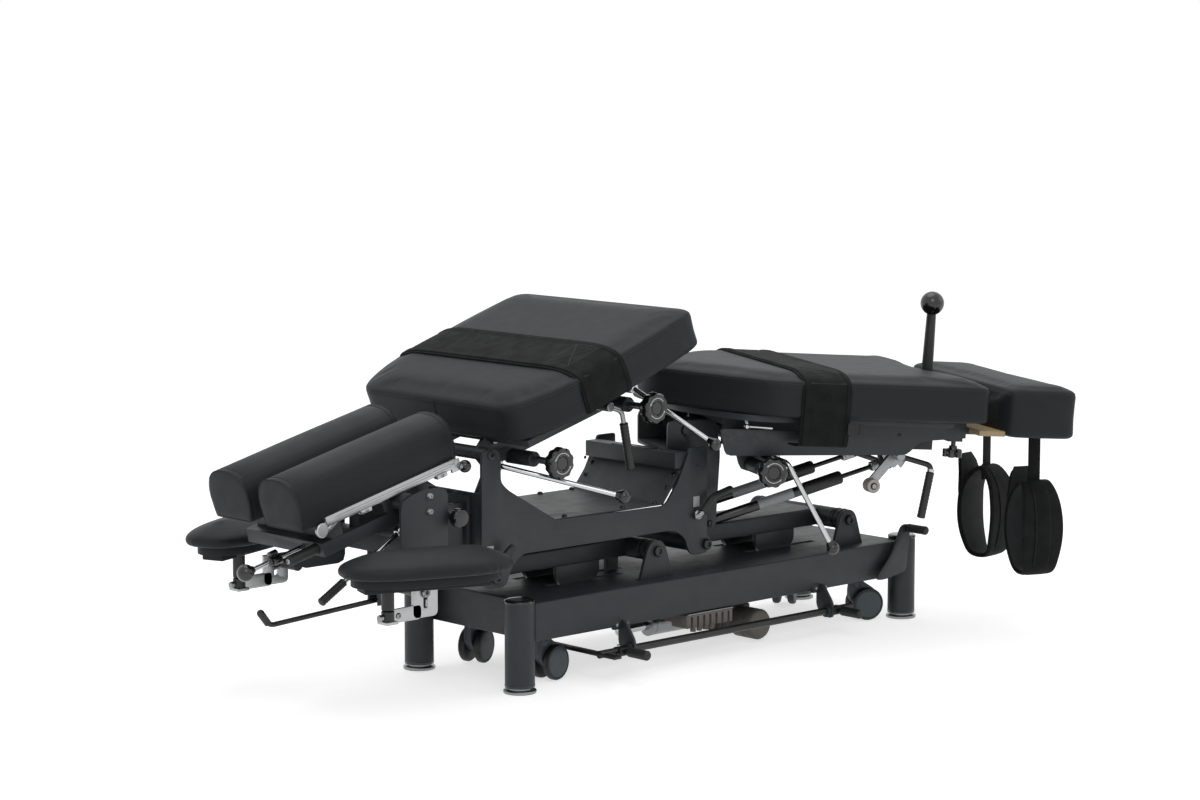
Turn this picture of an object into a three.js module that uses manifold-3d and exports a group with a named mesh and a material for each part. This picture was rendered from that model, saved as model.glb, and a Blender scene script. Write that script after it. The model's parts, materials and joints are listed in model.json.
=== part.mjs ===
import * as THREE from 'three';
import { mergeVertices } from 'three/addons/utils/BufferGeometryUtils.js';
import Module from 'manifold-3d';

// A chiropractic table in millimetres. X runs from the head end to the foot end, the near side
// is towards -Y, Z is up and the floor is z = 0. Sizes are measured from the base's middle, which
// is also the upright swivel axis of the leg section.

const wasm = await Module();
wasm.setup();

// Clearances and cuts that every piece shares
const gap = 0.3;
const overrun = 2;
const mergeLength = 0.002;

// Counts of sides on round pieces
const fineSides = 12;
const sides = 8;
const coarseSides = 6;
const cornerSteps = 2;
const cushionPoints = { thoracic: 36, pelvic: 46, foot: 30, armRest: 26 };
const cornerLimitShare = 0.49;

// The base's middle, measured from the middle of the whole outline
const base = { x: 161, y: 102 };

// Base: folded tray on four welded legs
const leg = { x: 567, y: 156, radius: 30, height: 188, footRadius: 33, footHeight: 7, neckRadius: 22,
  neckTop: 14, soleTop: 9 };
const tray = { halfX: 544, halfY: 177, topZ: 179, bottomZ: 101, sheet: 3 };
const clevis = { y: 135, thickness: 8, halfBase: 47, topRadius: 22, boltRadius: 11, boltHead: 9,
  pinRadius: 8, pinReach: 14 };
const lift = { headBaseX: -174, footBaseX: 409, baseZ: 235, armLength: 444, frameZ: 234 };
const slot = { y: 50, halfWidth: 8, farReach: 226, nearReach: 16, crankFar: 90, crankNear: 26,
  crankHalf: 10 };
const pedalHanger = { headX: -308, footX: 280, thickness: 6, outerY: 216, innerY: 168, bottomZ: 44,
  topZ: 114 };
const guidePin = { x: 466, y: 148, radius: 6, bottomZ: 112 };
const actuatorHanger = { x0: 172, x1: 180, halfY: 30, bottomZ: 26 };

// Actuator under the tray
const motor = { x: 130, z: 40, radius: 33, outerY: -147, innerY: -76 };
const gearbox = { x0: 97, x1: 164, y0: -80, y1: 30, z0: 14, z1: 74 };
const thrustTube = { radius: 22, endX: -70, z: 44, boreDepth: 150 };
const thrustRod = { radius: 9.5, endX: -140, insideX: 78, eyeRadius: 14 };
const controlUnit = { x0: -120, x1: 15, y0: -174, y1: -126, z0: 68, z1: 97, ribs: 7, ribDepth: 4 };
const unitBracket = { x0: -60, x1: -30, z0: 60, z1: 72 };

// Pedal bar along the near side
const pedalBar = { y: -200, z: 58, radius: 8, x0: -394, x1: 350 };
const peg = { headX: -330, footX: 302, radius: 8.5, gripRadius: 10, endY: -276, gripStartY: -222 };
const crossLink = { x0: -398, x1: -378, y0: -250, y1: -44, thickness: 6 };

// Castors and the frame that lowers them
const castor = { x: 466, y: 110, wheelZ: 38, wheelRadius: 36, wheelWidth: 17, forkHalf: 9, trail: 22,
  rimChamfer: 4 };
const castorFork = { stemRadius: 8, stemTop: 145, headRadius: 17, axleRadius: 5, axleBoss: 15,
  hoodRadius: 30 };
const castorHeadings = [10, 21, -24, 34];
const castorFrame = { z0: 130, z1: 150, halfWidth: 20, halfY: 156, barY: 150, barHalf: 6 };
const castorPedal = { pivotX: 505, pivotZ: 121, topX: 535, topZ: 216, lowX: 451, lowZ: 115, footX: 539,
  footZ: 108,
  plate: 5, clearance: 1, rodRadius: 6, gripRadius: 8.5, gripLength: 56, gripX: 545, gripZ: 208,
    shaftRadius: 8, shaftEndY: -104, roundTop: 20, roundLow: 22, roundFoot: 10 };

// Lift arms
const arm = { hubRadius: 22, frameHubRadius: 20, halfY: 60, halfZ: 19, finY: 50, finHalf: 5,
  finDepth: 66, finReachFar: 204, finReachNear: 84, finMid: 150 };
const crank = { halfY: 6, width: 34, depth: 172, lowWidth: 22 };

// Upper frame side plates, outlined in X and Z
const plate = { y: 140, thickness: 6, leftX: -653, uprightX: -603, topZ: 491, bottomZ: 214,
  shoulderZ: 424, flareX: -586,
  flareZ: 407, valleyX: -454, valleyZ: 330, kneeX: -153, kneeZ: 327, inclineX: -119, inclineZ: 371,
    hornBaseX: -88, hornBaseZ: 428,
  hornX: -83, hornZ: 441, rightX: -32, lobeX: -80, cutX: -92, cutZ: 249, bellyX: -121, bellyZ: 274,
    bellyHeadX: -548,
  lobeCutX: -576, lobeCutZ: 250, lobeHeadX: -590, roundBig: 26, round: 12, roundSmall: 6 };
const pan = { z0: 329, z1: 333, x0: -647, x1: -154, sheet: 3, inclineX: -96, inclineZ: 405,
  channelX: -120, channelEndX: -86, channelZ0: 400, channelZ1: 433 };
const seat = { x0: -84, x1: -37, z0: 386, z1: 411, tongueX: 44, tongueHalf: 45, tongueZ0: 396,
  boreRadius: 14 };
const frontPlate = { x0: -650, x1: -644, z0: 262, z1: 404, railX: -656, railInner: 60, railOuter: 82 };

// Lock levers on the near side plate
const lockLever = { hubRadius: 11, rodRadius: 5, gripRadius: 8 };
const headLock = { x: -632, z: 262, y: -163, tipX: -588, tipZ: 297 };
const footLock = { x: -64, z: 300, y: -156, kneeX: -28, kneeZ: 334, tipX: 22, tipZ: 345 };

// Thoracic section, in a frame tilted about its hinge tube
const thoracic = { x: -628, z: 480, rise: 19.5, hubRadius: 13, seamZ: 99, bottomZ: 29, crown: 17,
  length: 502, headX: 6,
  halfWidth: 281, footHalf: 268, headHalf: 226, roundSide: 60, roundFoot: 34, spineHalf: 50 };
const thoracicBoard = { x0: 24, x1: 482, halfY: 236, thickness: 13 };
const thoracicRail = { y: 104, thickness: 7, x0: -12, x1: 432, z0: -22 };
const thoracicBar = { x: [150, 300, 424], half: 11, z0: -12 };
const boss = { radius: 15, innerY: -100, outerY: -178 };
const knob = { radius: 32, thickness: 20, stemRadius: 7, y: -250, lobes: 8, lobeRadius: 5,
  hubRadius: 21, hubDepth: 12 };
const headKnob = { x: 74, z: -40 };
const footKnob = { x: 343, z: -44 };
const cocking = { rodRadius: 5.5, ballRadius: 13.5, hubRadius: 11, hubLength: 16 };
const headCocking = { x: 24, z: -36, hubY: -113, ballX: 175, ballZ: -156, ballY: -290 };
const footCocking = { x: 398, z: -36, hubY: -126, ballX: 431, ballZ: -160, ballY: -300 };
const tiltLever = { x: 285, z: -22, y: -186, kneeX: 313, kneeZ: -44, tipX: 296, tipZ: -166,
  rodRadius: 5, gripRadius: 9, gripStartShare: 0.2, hubY: -112 };
const tiltSpring = { footX: -590, footZ: 352, y: -40, rise: 62, bodyStart: 14, bodyRadius: 10, bodyLength: 80,
  rodRadius: 4, rodEnd: 137, insideStart: 64, boreDepth: 66, eyeRadius: 10, eyeHalf: 6, pinRadius: 5,
    forkRadius: 8,
  forkLength: 8, lugHalf: 6, lugReach: 150 };

// Straps over the cushions
const strap = { thickness: 4, lift: 0.8, hem: 1 };
const thoracicStrap = { x0: 158, x1: 272 };
const pelvicStrap = { x0: 190, x1: 290, dropZ: -8, returnY: 216, tabX: 322, tabZ0: 22, tabZ1: 46 };

// Leg section, swung about the upright axis and flexed about a cross axis
const section = { swing: -25, flexZ: 470, decline: 4, seamZ: 121, bottomZ: 51, crown: 17 };
const swivel = { discRadius: 58, discZ0: 411.3, discZ1: 421, pinBottom: 380, baseZ1: 430, boxX0: -41,
  boxX1: 66, cheekY: 96, cheek: 7, topZ: 490, springX: 54, springZ: 269, springY: 80, earRadius: 12,
  earX0: 30, earX1: 76, pinRadius: 6 };
const pelvic = { headX: -82, headHalf: 55, shoulderX: 104, shoulderHalf: 250, wideX: 150,
  halfWidth: 281, footX: 615, notchHalf: 72, notchX: 578, notchInner: 40, notchFloor: 546,
  roundHead: 40, round: 60, roundFoot: 26, roundNotch: 22 };
const legBoard = { thickness: 13, x0: -20, x1: 556, headHalf: 92, shoulderX: 96, halfY: 240 };
const legPlate = { y: 200, thickness: 6, x0: 36, topHeadZ: 17, headBottomX: 54, headBottomZ: -39,
  footBottomX: 460, footBottomZ: -27, stepX: 490, stepZ: 3, endX: 593, endZ: 12, shelfX: 300,
  round: 10 };
const legBeam = { y: 106, thickness: 7, x1: 560, z0: -26 };
const legBar = { x: [110, 290, 440], half: 11, z0: -20 };
const flexHub = { radius: 14, pinRadius: 9 };
const forkBracket = { x: 463, z: -60, y: 80, half: 5, width: 26 };
const legSpring = { rise: 15.2, bodyRadius: 11, bodyLength: 300, bodyStart: 14, rodRadius: 5,
  rodEnd: 402, boreDepth: 150, insideStart: 206, eyeRadius: 12, eyeHalf: 6, forkRadius: 9,
  forkLength: 22 };
const legKnob = { x: 145, z: -67, y: -240, bossOuterY: -176, plateWidth: 40, plateFootReach: 60 };
const legCocking = { x: 178, z: -46, hubY: -152, elbowY: -236, ballX: 292, ballZ: -223, ballY: -240 };
const flexLever = { x: 466, z: -36, hubY: -118, y: -158, kneeX: 540, kneeZ: -54, tipX: 524, tipZ: -168,
  rodRadius: 6, gripRadius: 9, gripStartShare: 0.12,
  rollerX: 412, rollerZ: -102, rollerY: -112, rollerRadius: 15, rollerLength: 26, armHalf: 3, armWidth: 20 };
const handle = { x: 584, rodRadius: 10, footRadius: 12, bottomZ: 88, topZ: 282, ballRadius: 26,
  socketRadius: 15, plugRadius: 9.2 };
const footRail = { y: 189, half: 7.6, z0: 20, z1: 34, x0: 340, x1: 800 };
const footRest = { x0: 660, x1: 822, halfWidth: 272, seamZ: 118, bottomZ: 35, crown: 13, round: 30,
  boardInset: 22, boardThickness: 13 };
const starKnob = { x: 572, y: -189, z: -14, radius: 17, hubRadius: 8, thickness: 14, stemTop: 19.6,
  stemRadius: 4, arms: 5, armRadius: 5.5, shelfHalf: 16, shelfZ0: 4, shelfZ1: 11 };

// Ankle cuffs, hung on webbing below the foot board
const cuff = { x: 795, y: 120, webWidth: 28, webThickness: 3, hang: 96, width: 62, halfWidth: 60, height: 212,
  wall: 9, tip: 34, tipRise: 18, seamDrop: 20, shoulderShare: 0.22, bellyShare: 0.72, footHalfShare: 0.45 };
const cuffTurns = { near: -18, far: 25 };
const cuffSwing = 15;

// Head section: carriage on the front plate, channel frame on cross pivots, two pads
const carriage = { backX0: -665, backX1: -656.3, halfY: 112, z0: 268, z1: 398, keyX: -650.3,
  beamX: -792, beamY0: 66, beamY1: 98, beamZ0: 292, beamZ1: 372,
  crossX0: -812, crossX1: -772, plateY: 160, plateThickness: 6, plateX0: -872, plateX1: -756,
    plateTopZ: 433, plateBottomZ: 244, outriggerX: -874, outriggerZ: 252, outriggerRadius: 11,
    flangeRadius: 16, flange: 5, round: 18, plateStep: 4 };
const headSlope = 14.2;
const headPivot = { x: -848, z: 412, discRadius: 17, pinRadius: 9 };
const channel = { outerY: 120, innerY: 106, x0: -190, x1: 62, z0: -45, z1: -18, frontX1: -164,
  pivotTopZ: 20, pivotHalf: 24, rackX: [-150, 70], rackHalf: 13, rackTop: 24 };
const headHandle = { y: -98, z: -30, x0: -258, x1: -188, radius: 10 };
const pad = { x0: -238, x1: 148, y: 79, bottomZ: 24.3, height: 100, halfWide: 62, round: 12, seam: 22,
  seamDepth: 1.5, dome: 5 };
const padSectionShares = [[-0.72, 0], [0.72, 0], [0.8, 0.06], [1, 0.42], [0.97, 0.6], [0.84, 0.78],
  [0.6, 0.92], [0.3, 0.985],
  [0, 1], [-0.3, 0.985], [-0.6, 0.92], [-0.84, 0.78], [-0.97, 0.6], [-1, 0.42], [-0.8, 0.06]];
const rail = { x0: -186, x1: 140, y0: -143, y1: -136, z0: 18, z1: 37, endX: -198, endZ: 15,
  endRadius: 14, waist: 7, clipX: [-92, 100], clipHalf: 11, clipY: -84, clipZ: 18,
  ballX: 164, ballY: -136, ballZ: 12, ballRadius: 13, stemRadius: 5 };
const ballLever = { y: -58, z: -31, rodRadius: 5, starX: -262, starRadius: 18, starLength: 20,
  ballX: -330, ballRadius: 14, arms: 4, armRadius: 6 };
const gripLever = { x: -836, z: 350, y: -116, kneeX: -974, kneeZ: 269, tipX: -1031, tipZ: 235,
  rodRadius: 5, gripRadius: 8.5 };
const pedal = { pivotX: -792, z: 196, hubRadius: 9, hubHalf: 12, rodRadius: 5, cornerX: -1064,
  cornerZ: 180, tipX: -1084, tipZ: 206, earLength: 20, ear: 5, pinRadius: 5 };

// Arm rests on sliding brackets
const armBracket = { x0: -904, x1: -844, y0: 230, y1: 236, z0: 205, z1: 266, footX: -963, footZ0: 203,
  footZ1: 229, footHalf: 14, footEnd: 12, pinRadius: 5, pinTop: 262, postY: 233, slotHalf: 5,
  slotZ0: 222, slotZ1: 258, boltRadius: 4.4, boltHead: 9, headDepth: 5 };
const armRest = { turn: 20, backX: -101, frontX: 239, offsetY: -22, halfWidth: 80, tipHalf: 44,
  padBottom: 300, edgeZ: 318, crown: 30, boardZ: 274, boardInset: 26, sleeveRadius: 12,
  sleeveBottom: 229.4, round: 46 };

// Colours of the finishes
const finishes = {
  coat: { color: 0x373c40, roughness: 0.55, metalness: 0.35 },
  upholstery: { color: 0x2a2d30, roughness: 0.6, metalness: 0 },
  webbing: { color: 0x17181a, roughness: 0.9, metalness: 0 },
  rubber: { color: 0x161718, roughness: 0.8, metalness: 0 },
  gloss: { color: 0x101112, roughness: 0.25, metalness: 0 },
  chrome: { color: 0xb9bcbe, roughness: 0.18, metalness: 1 },
  aluminium: { color: 0xb4b5b3, roughness: 0.38, metalness: 0.9 },
  castorGrey: { color: 0x5d6871, roughness: 0.5, metalness: 0 },
  motorGrey: { color: 0x7a7671, roughness: 0.55, metalness: 0 },
  slideBeige: { color: 0xb09a78, roughness: 0.6, metalness: 0 },
  springBlack: { color: 0x121314, roughness: 0.35, metalness: 0.3 },
};

// Shape helpers
const radians = (angle) => THREE.MathUtils.degToRad(angle);
const point = (x, y, z) => new THREE.Vector3(x, y, z);

function block([x0, x1], [y0, y1], [z0, z1]) {
  const geometry = new THREE.BoxGeometry(x1 - x0, y1 - y0, z1 - z0);
  return geometry.translate((x0 + x1) / 2, (y0 + y1) / 2, (z0 + z1) / 2);
}

function around(centre, half) {
  return [centre - half, centre + half];
}

// A round bar between two points, which may taper
function bar(from, to, radius, count = sides, endRadius = radius) {
  const along = to.clone().sub(from);
  const geometry = new THREE.CylinderGeometry(endRadius, radius, along.length(), count);
  const turn = new THREE.Quaternion().setFromUnitVectors(point(0, 1, 0), along.clone().normalize());
  geometry.applyQuaternion(turn);
  const middle = from.clone().add(to).multiplyScalar(0.5);
  return geometry.translate(middle.x, middle.y, middle.z);
}

const crossBar = (x, z, [y0, y1], radius, count = sides) => bar(point(x, y0, z), point(x, y1, z),
  radius, count);
const upright = (x, y, [z0, z1], radius, count = sides) => bar(point(x, y, z0), point(x, y, z1), radius,
  count);

// The radius of a many-sided bore that clears a pin by the gap on every side
const cleared = (radius, count = sides) => (radius + gap) / Math.cos(Math.PI / count);

function ball(centre, radius, count = sides) {
  return new THREE.SphereGeometry(radius, count, Math.ceil(count / 2)).translate(centre.x, centre.y,
    centre.z);
}

// A bent rod: straight bars with a ball in each bend
function bentRod(points, radius, count = coarseSides) {
  const bars = points.slice(1).map((end, index) => bar(points[index], end, radius, count));
  const bends = points.slice(1, -1).map((bend) => ball(bend, radius, count));
  return [...bars, ...bends];
}

// An outline whose corners are [across, up, cut], each cut back by that length and rounded
function outline(corners) {
  const shape = new THREE.Shape();
  corners.forEach(([across, up, cut], index) => {
    const backTo = (neighbour) => {
      const away = Math.hypot(neighbour[0] - across, neighbour[1] - up);
      const share = Math.min(cut / away, cornerLimitShare);
      return [across + (neighbour[0] - across) * share, up + (neighbour[1] - up) * share];
    };
    const before = backTo(corners[(index + corners.length - 1) % corners.length]);
    const after = backTo(corners[(index + 1) % corners.length]);
    if (index === 0) shape.moveTo(...before);
    else shape.lineTo(...before);
    if (cut > 0) shape.quadraticCurveTo(across, up, ...after);
  });
  shape.closePath();
  return shape;
}

// A star with round-ended arms, about a centre
function starOutline(arms, reach, armRadius, across = 0, up = 0) {
  const corners = [];
  for (let arm = 0; arm < arms; arm += 1) {
    const turn = 2 * Math.PI * arm / arms;
    const spread = armRadius / reach;
    const place = (radius, angle, cut) => corners.push([across + radius * Math.cos(angle),
      up + radius * Math.sin(angle), cut]);
    place(reach + armRadius, turn - spread, armRadius / 2);
    place(reach + armRadius, turn + spread, armRadius / 2);
    place(reach / 2, turn + Math.PI / arms, 0);
  }
  return outline(corners);
}

function extruded(shape, depth) {
  return new THREE.ExtrudeGeometry(shape, { depth, bevelEnabled: false, curveSegments: cornerSteps });
}

// Plates cut in X and Z, in X and Y, and in Y and Z
function plateXZ(shape, [y0, y1]) {
  return extruded(shape, y1 - y0).rotateX(Math.PI / 2).translate(0, y1, 0);
}

function plateXY(shape, [z0, z1]) {
  return extruded(shape, z1 - z0).translate(0, 0, z0);
}

const ontoYZ = new THREE.Matrix4().makeBasis(point(0, 1, 0), point(0, 0, 1), point(1, 0, 0));

function plateYZ(shape, [x0, x1]) {
  return extruded(shape, x1 - x0).applyMatrix4(ontoYZ).translate(x0, 0, 0);
}

// The same piece on the other side of the middle plane
function otherSide(geometry) {
  const copy = geometry.index ? geometry.toNonIndexed() : geometry.clone();
  const places = copy.attributes.position;
  for (let corner = 0; corner < places.count; corner += 3) {
    const first = [places.getX(corner), -places.getY(corner), places.getZ(corner)];
    const second = [places.getX(corner + 1), -places.getY(corner + 1), places.getZ(corner + 1)];
    const third = [places.getX(corner + 2), -places.getY(corner + 2), places.getZ(corner + 2)];
    places.setXYZ(corner, ...first);
    places.setXYZ(corner + 1, ...third);
    places.setXYZ(corner + 2, ...second);
  }
  return copy;
}

const bothSides = (pieces) => [pieces].flat(Infinity).flatMap((piece) => [piece, otherSide(piece)]);

// Joining and cutting
function toSolid(geometry) {
  const bare = geometry.clone();
  bare.deleteAttribute('normal');
  bare.deleteAttribute('uv');
  const merged = mergeVertices(bare, mergeLength);
  const vertProperties = new Float32Array(merged.attributes.position.array);
  const triVerts = new Uint32Array(merged.index.array);
  return new wasm.Manifold(new wasm.Mesh({ numProp: 3, vertProperties, triVerts }));
}

function joined(pieces) {
  return [pieces].flat(Infinity).map(toSolid).reduce((whole, next) => whole.add(next));
}

function toGeometry(solid) {
  const { vertProperties, triVerts } = solid.getMesh();
  const geometry = new THREE.BufferGeometry();
  geometry.setAttribute('position', new THREE.BufferAttribute(vertProperties, 3));
  geometry.setIndex(new THREE.BufferAttribute(triVerts, 1));
  return geometry;
}

function named(name, finish, geometry) {
  const mesh = new THREE.Mesh(geometry, new THREE.MeshStandardMaterial(finishes[finish]));
  mesh.name = name;
  return mesh;
}

function part(name, finish, pieces, cuts = []) {
  let solid = joined(pieces);
  if (cuts.length > 0) solid = solid.subtract(joined(cuts));
  return named(name, finish, toGeometry(solid));
}

// Soft forms: rings of points joined by faces, with a fan closing each end
function loft(rings) {
  const count = rings[0].length;
  const places = rings.flat().flatMap((spot) => [spot.x, spot.y, spot.z]);
  const faces = [];
  for (let ring = 0; ring + 1 < rings.length; ring += 1) {
    for (let spot = 0; spot < count; spot += 1) {
      const next = (spot + 1) % count;
      const [a, b] = [ring * count + spot, ring * count + next];
      faces.push(a, b, b + count, a, b + count, a + count);
    }
  }
  const closeEnd = (ring, turned) => {
    const centre = rings[ring].reduce((sum, spot) => sum.add(spot), point(0, 0, 0)).divideScalar(count);
    const middle = places.push(centre.x, centre.y, centre.z) / 3 - 1;
    for (let spot = 0; spot < count; spot += 1) {
      const [a, b] = [ring * count + spot, ring * count + (spot + 1) % count];
      faces.push(middle, turned ? b : a, turned ? a : b);
    }
  };
  closeEnd(0, true);
  closeEnd(rings.length - 1, false);
  const geometry = new THREE.BufferGeometry();
  geometry.setAttribute('position', new THREE.Float32BufferAttribute(places, 3));
  geometry.setIndex(faces);
  return geometry;
}

function evenPoints(shape, count) {
  const points = shape.getSpacedPoints(count).slice(0, count);
  return THREE.ShapeUtils.isClockWise(points) ? points.reverse() : points;
}

// Points of a closed outline moved inwards by a length
function movedIn(points, inset) {
  return points.map((spot, index) => {
    const before = points[(index + points.length - 1) % points.length];
    const after = points[(index + 1) % points.length];
    const along = after.clone().sub(before).normalize();
    return new THREE.Vector2(spot.x - along.y * inset, spot.y + along.x * inset);
  });
}

// How a cushion's edge runs from its bottom to its crown
const edge = { bottomInset: 7, bottomRise: 6, drawIn: 5, seamBelow: 5, seamInset: 1.6, topInset: 3,
  topRise: 6, rollInset: 11, rollRise: 10 };
const crownShares = [0.15, 0.4, 0.75];
const drawnAtShare = 0.45;
const armCrownShares = [0.06, 0.25, 0.65];

// A crowned cushion on an outline, with sides drawn in and a seam; grown makes it larger all round
function cushion(shape, count, size, grown = 0) {
  const { bottomZ, seamZ, crown, spine } = size;
  const points = evenPoints(shape, count);
  const level = (inset, z) => movedIn(points, inset - grown).map((spot) => point(spot.x, spot.y, z));
  const rings = [
    level(edge.bottomInset, bottomZ - grown),
    level(0, bottomZ + edge.bottomRise),
    level(edge.drawIn, bottomZ + (seamZ - bottomZ) * drawnAtShare),
    level(0, seamZ - edge.seamBelow),
    level(edge.seamInset, seamZ),
    level(edge.topInset, seamZ + edge.topRise + grown / 2),
    level(edge.rollInset, seamZ + edge.rollRise + grown),
  ];
  const rim = movedIn(points, edge.rollInset - grown);
  const nearest = (spot) => {
    const line = new THREE.Line3(point(spine[0], spine[1], 0), point(spine[2], spine[3], 0));
    return line.closestPointToPoint(point(spot.x, spot.y, 0), true, point(0, 0, 0));
  };
  for (const share of crownShares) {
    const rise = Math.sin(share * Math.PI / 2) * (crown - edge.rollRise);
    const height = seamZ + edge.rollRise + rise + grown;
    rings.push(rim.map((spot) => {
      const core = nearest(spot);
      return point(spot.x + (core.x - spot.x) * share, spot.y + (core.y - spot.y) * share, height);
    }));
  }
  return loft(rings);
}

// A strap that lies over a cushion's top and sides between two places along it
function strapOver(shape, count, size, { x0, x1 }, extra = []) {
  const outer = toSolid(cushion(shape, count, size, strap.lift + strap.thickness));
  const inner = toSolid(cushion(shape, count, size, strap.lift));
  const reach = size.reach;
  const slab = toSolid(block([x0, x1], [-reach, reach], [size.bottomZ + strap.hem, size.seamZ + reach]));
  const band = outer.subtract(inner).intersect(slab);
  return toGeometry(extra.length > 0 ? band.add(joined(extra)) : band);
}

// The part's frame: the origin on the floor under the middle of the whole outline
const whole = new THREE.Group();
const table = new THREE.Group();
table.position.set(base.x, base.y, 0);
whole.add(table);

// Base
const pairs = [-1, 1];

function clevisPlates(baseX) {
  const shape = outline([
    [baseX - clevis.halfBase, tray.topZ - tray.sheet, 0],
    [baseX + clevis.halfBase, tray.topZ - tray.sheet, 0],
    [baseX + clevis.topRadius, lift.baseZ + clevis.topRadius, clevis.topRadius],
    [baseX - clevis.topRadius, lift.baseZ + clevis.topRadius, clevis.topRadius],
  ]);
  const inner = clevis.y - clevis.thickness / 2;
  const outer = clevis.y + clevis.thickness / 2;
  return bothSides([
    plateXZ(shape, [inner, outer]),
    crossBar(baseX, lift.baseZ, [inner - clevis.pinReach, outer], clevis.pinRadius),
    crossBar(baseX, lift.baseZ, [outer - gap, outer + clevis.boltHead], clevis.boltRadius, coarseSides),
  ]);
}

function chassis() {
  const box = block([-tray.halfX, tray.halfX], [-tray.halfY, tray.halfY], [tray.bottomZ, tray.topZ]);
  const legs = pairs.flatMap((sideX) => pairs.flatMap((sideY) => [
    upright(sideX * leg.x, sideY * leg.y, [leg.soleTop, leg.height], leg.radius, fineSides),
    upright(sideX * leg.x, sideY * leg.y, [leg.footHeight - overrun, leg.neckTop], leg.neckRadius),
    upright(sideX * leg.x, sideY * leg.y, [0, leg.footHeight], leg.footRadius, fineSides),
  ]));
  const hangers = [pedalHanger.headX, pedalHanger.footX].map((x) => block(
    around(x, pedalHanger.thickness / 2),
    [-pedalHanger.outerY, -pedalHanger.innerY],
    [pedalHanger.bottomZ, pedalHanger.topZ],
  ));
  const pins = pairs.flatMap((sideX) => pairs.map((sideY) => (
    upright(sideX * guidePin.x, sideY * guidePin.y, [guidePin.bottomZ, tray.topZ - tray.sheet / 2],
      guidePin.radius, coarseSides))));
  const rear = block([actuatorHanger.x0, actuatorHanger.x1], around(0, actuatorHanger.halfY),
    [actuatorHanger.bottomZ, tray.topZ - tray.sheet / 2]);
  const hollow = toSolid(block(
    around(0, tray.halfX - tray.sheet),
    around(0, tray.halfY - tray.sheet),
    [tray.bottomZ - overrun, tray.topZ - tray.sheet],
  ));
  const shell = toSolid(box).subtract(hollow);
  const added = joined([legs, clevisPlates(lift.headBaseX), clevisPlates(lift.footBaseX), hangers, pins,
    rear]);
  const throughTop = [tray.topZ - tray.sheet - overrun, tray.topZ + overrun];
  const finSlots = [lift.headBaseX, lift.footBaseX].flatMap((baseX) => pairs.map((side) => block(
    [baseX - slot.farReach, baseX - slot.nearReach],
    around(side * slot.y, slot.halfWidth),
    throughTop,
  )));
  const crankSlot = block([lift.headBaseX - slot.crankFar, lift.headBaseX + slot.crankNear],
    around(0, slot.crankHalf), throughTop);
  const pedalBore = bar(
    point(pedalHanger.headX - overrun - pedalHanger.thickness, pedalBar.y, pedalBar.z),
    point(pedalHanger.footX + overrun + pedalHanger.thickness, pedalBar.y, pedalBar.z),
    cleared(pedalBar.radius),
  );
  const shaftBore = crossBar(castorPedal.pivotX, castorPedal.pivotZ,
    [-tray.halfY - overrun, -tray.halfY + tray.sheet + overrun], cleared(castorPedal.shaftRadius));
  const solid = shell.add(added).subtract(joined([finSlots, crankSlot, pedalBore, shaftBore]));
  return named('chassis', 'coat', toGeometry(solid));
}

function actuatorBody() {
  const ribWidth = (controlUnit.x1 - controlUnit.x0) / (2 * controlUnit.ribs + 1);
  const grooves = Array.from({ length: controlUnit.ribs }, (_, rib) => block(
    [controlUnit.x0 + ribWidth * (2 * rib + 1), controlUnit.x0 + ribWidth * (2 * rib + 2)],
    [controlUnit.y0 - overrun, controlUnit.y0 + controlUnit.ribDepth],
    [controlUnit.z0 - overrun, controlUnit.z1 + overrun],
  ));
  const tubeStart = (gearbox.x0 + gearbox.x1) / 2;
  const boreStart = thrustTube.endX + thrustTube.boreDepth;
  return part('actuator_body', 'motorGrey', [
    crossBar(motor.x, motor.z, [motor.outerY, motor.innerY], motor.radius, fineSides),
    block([gearbox.x0, gearbox.x1], [gearbox.y0, gearbox.y1], [gearbox.z0, gearbox.z1]),
    block([gearbox.x1 - overrun, actuatorHanger.x0 - gap], around(0, thrustTube.radius),
      around(thrustTube.z, thrustRod.radius)),
    bar(point(tubeStart, 0, thrustTube.z), point(thrustTube.endX, 0, thrustTube.z), thrustTube.radius),
    block([controlUnit.x0, controlUnit.x1], [controlUnit.y0, controlUnit.y1],
      [controlUnit.z0, controlUnit.z1]),
    block([unitBracket.x0, unitBracket.x1], [controlUnit.y1 - overrun, 0], [unitBracket.z0, unitBracket.z1]),
  ], [
    bar(point(boreStart, 0, thrustTube.z), point(thrustTube.endX - overrun, 0, thrustTube.z),
      thrustRod.radius + gap),
    ...grooves,
  ]);
}

function actuatorRod() {
  return part('actuator_rod', 'chrome', [
    bar(point(thrustRod.insideX, 0, thrustTube.z), point(thrustRod.endX, 0, thrustTube.z), thrustRod.radius),
    crossBar(thrustRod.endX, thrustTube.z, around(0, thrustRod.radius), thrustRod.eyeRadius),
  ]);
}

function footBar() {
  const pegs = [peg.headX, peg.footX].flatMap((x) => [
    bar(point(x, pedalBar.y, pedalBar.z), point(x, peg.endY + overrun, pedalBar.z), peg.radius),
    bar(point(x, peg.gripStartY, pedalBar.z), point(x, peg.endY, pedalBar.z), peg.gripRadius),
  ]);
  const link = block([crossLink.x0, crossLink.x1], [crossLink.y0, crossLink.y1],
    around(pedalBar.z, crossLink.thickness / 2));
  const tube = bar(point(pedalBar.x0, pedalBar.y, pedalBar.z),
    point(pedalBar.x1, pedalBar.y, pedalBar.z), pedalBar.radius);
  return part('foot_bar', 'coat', [tube, link, ...pegs]);
}

const pedalPlateY = leg.y + leg.radius + castorPedal.clearance;

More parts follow.
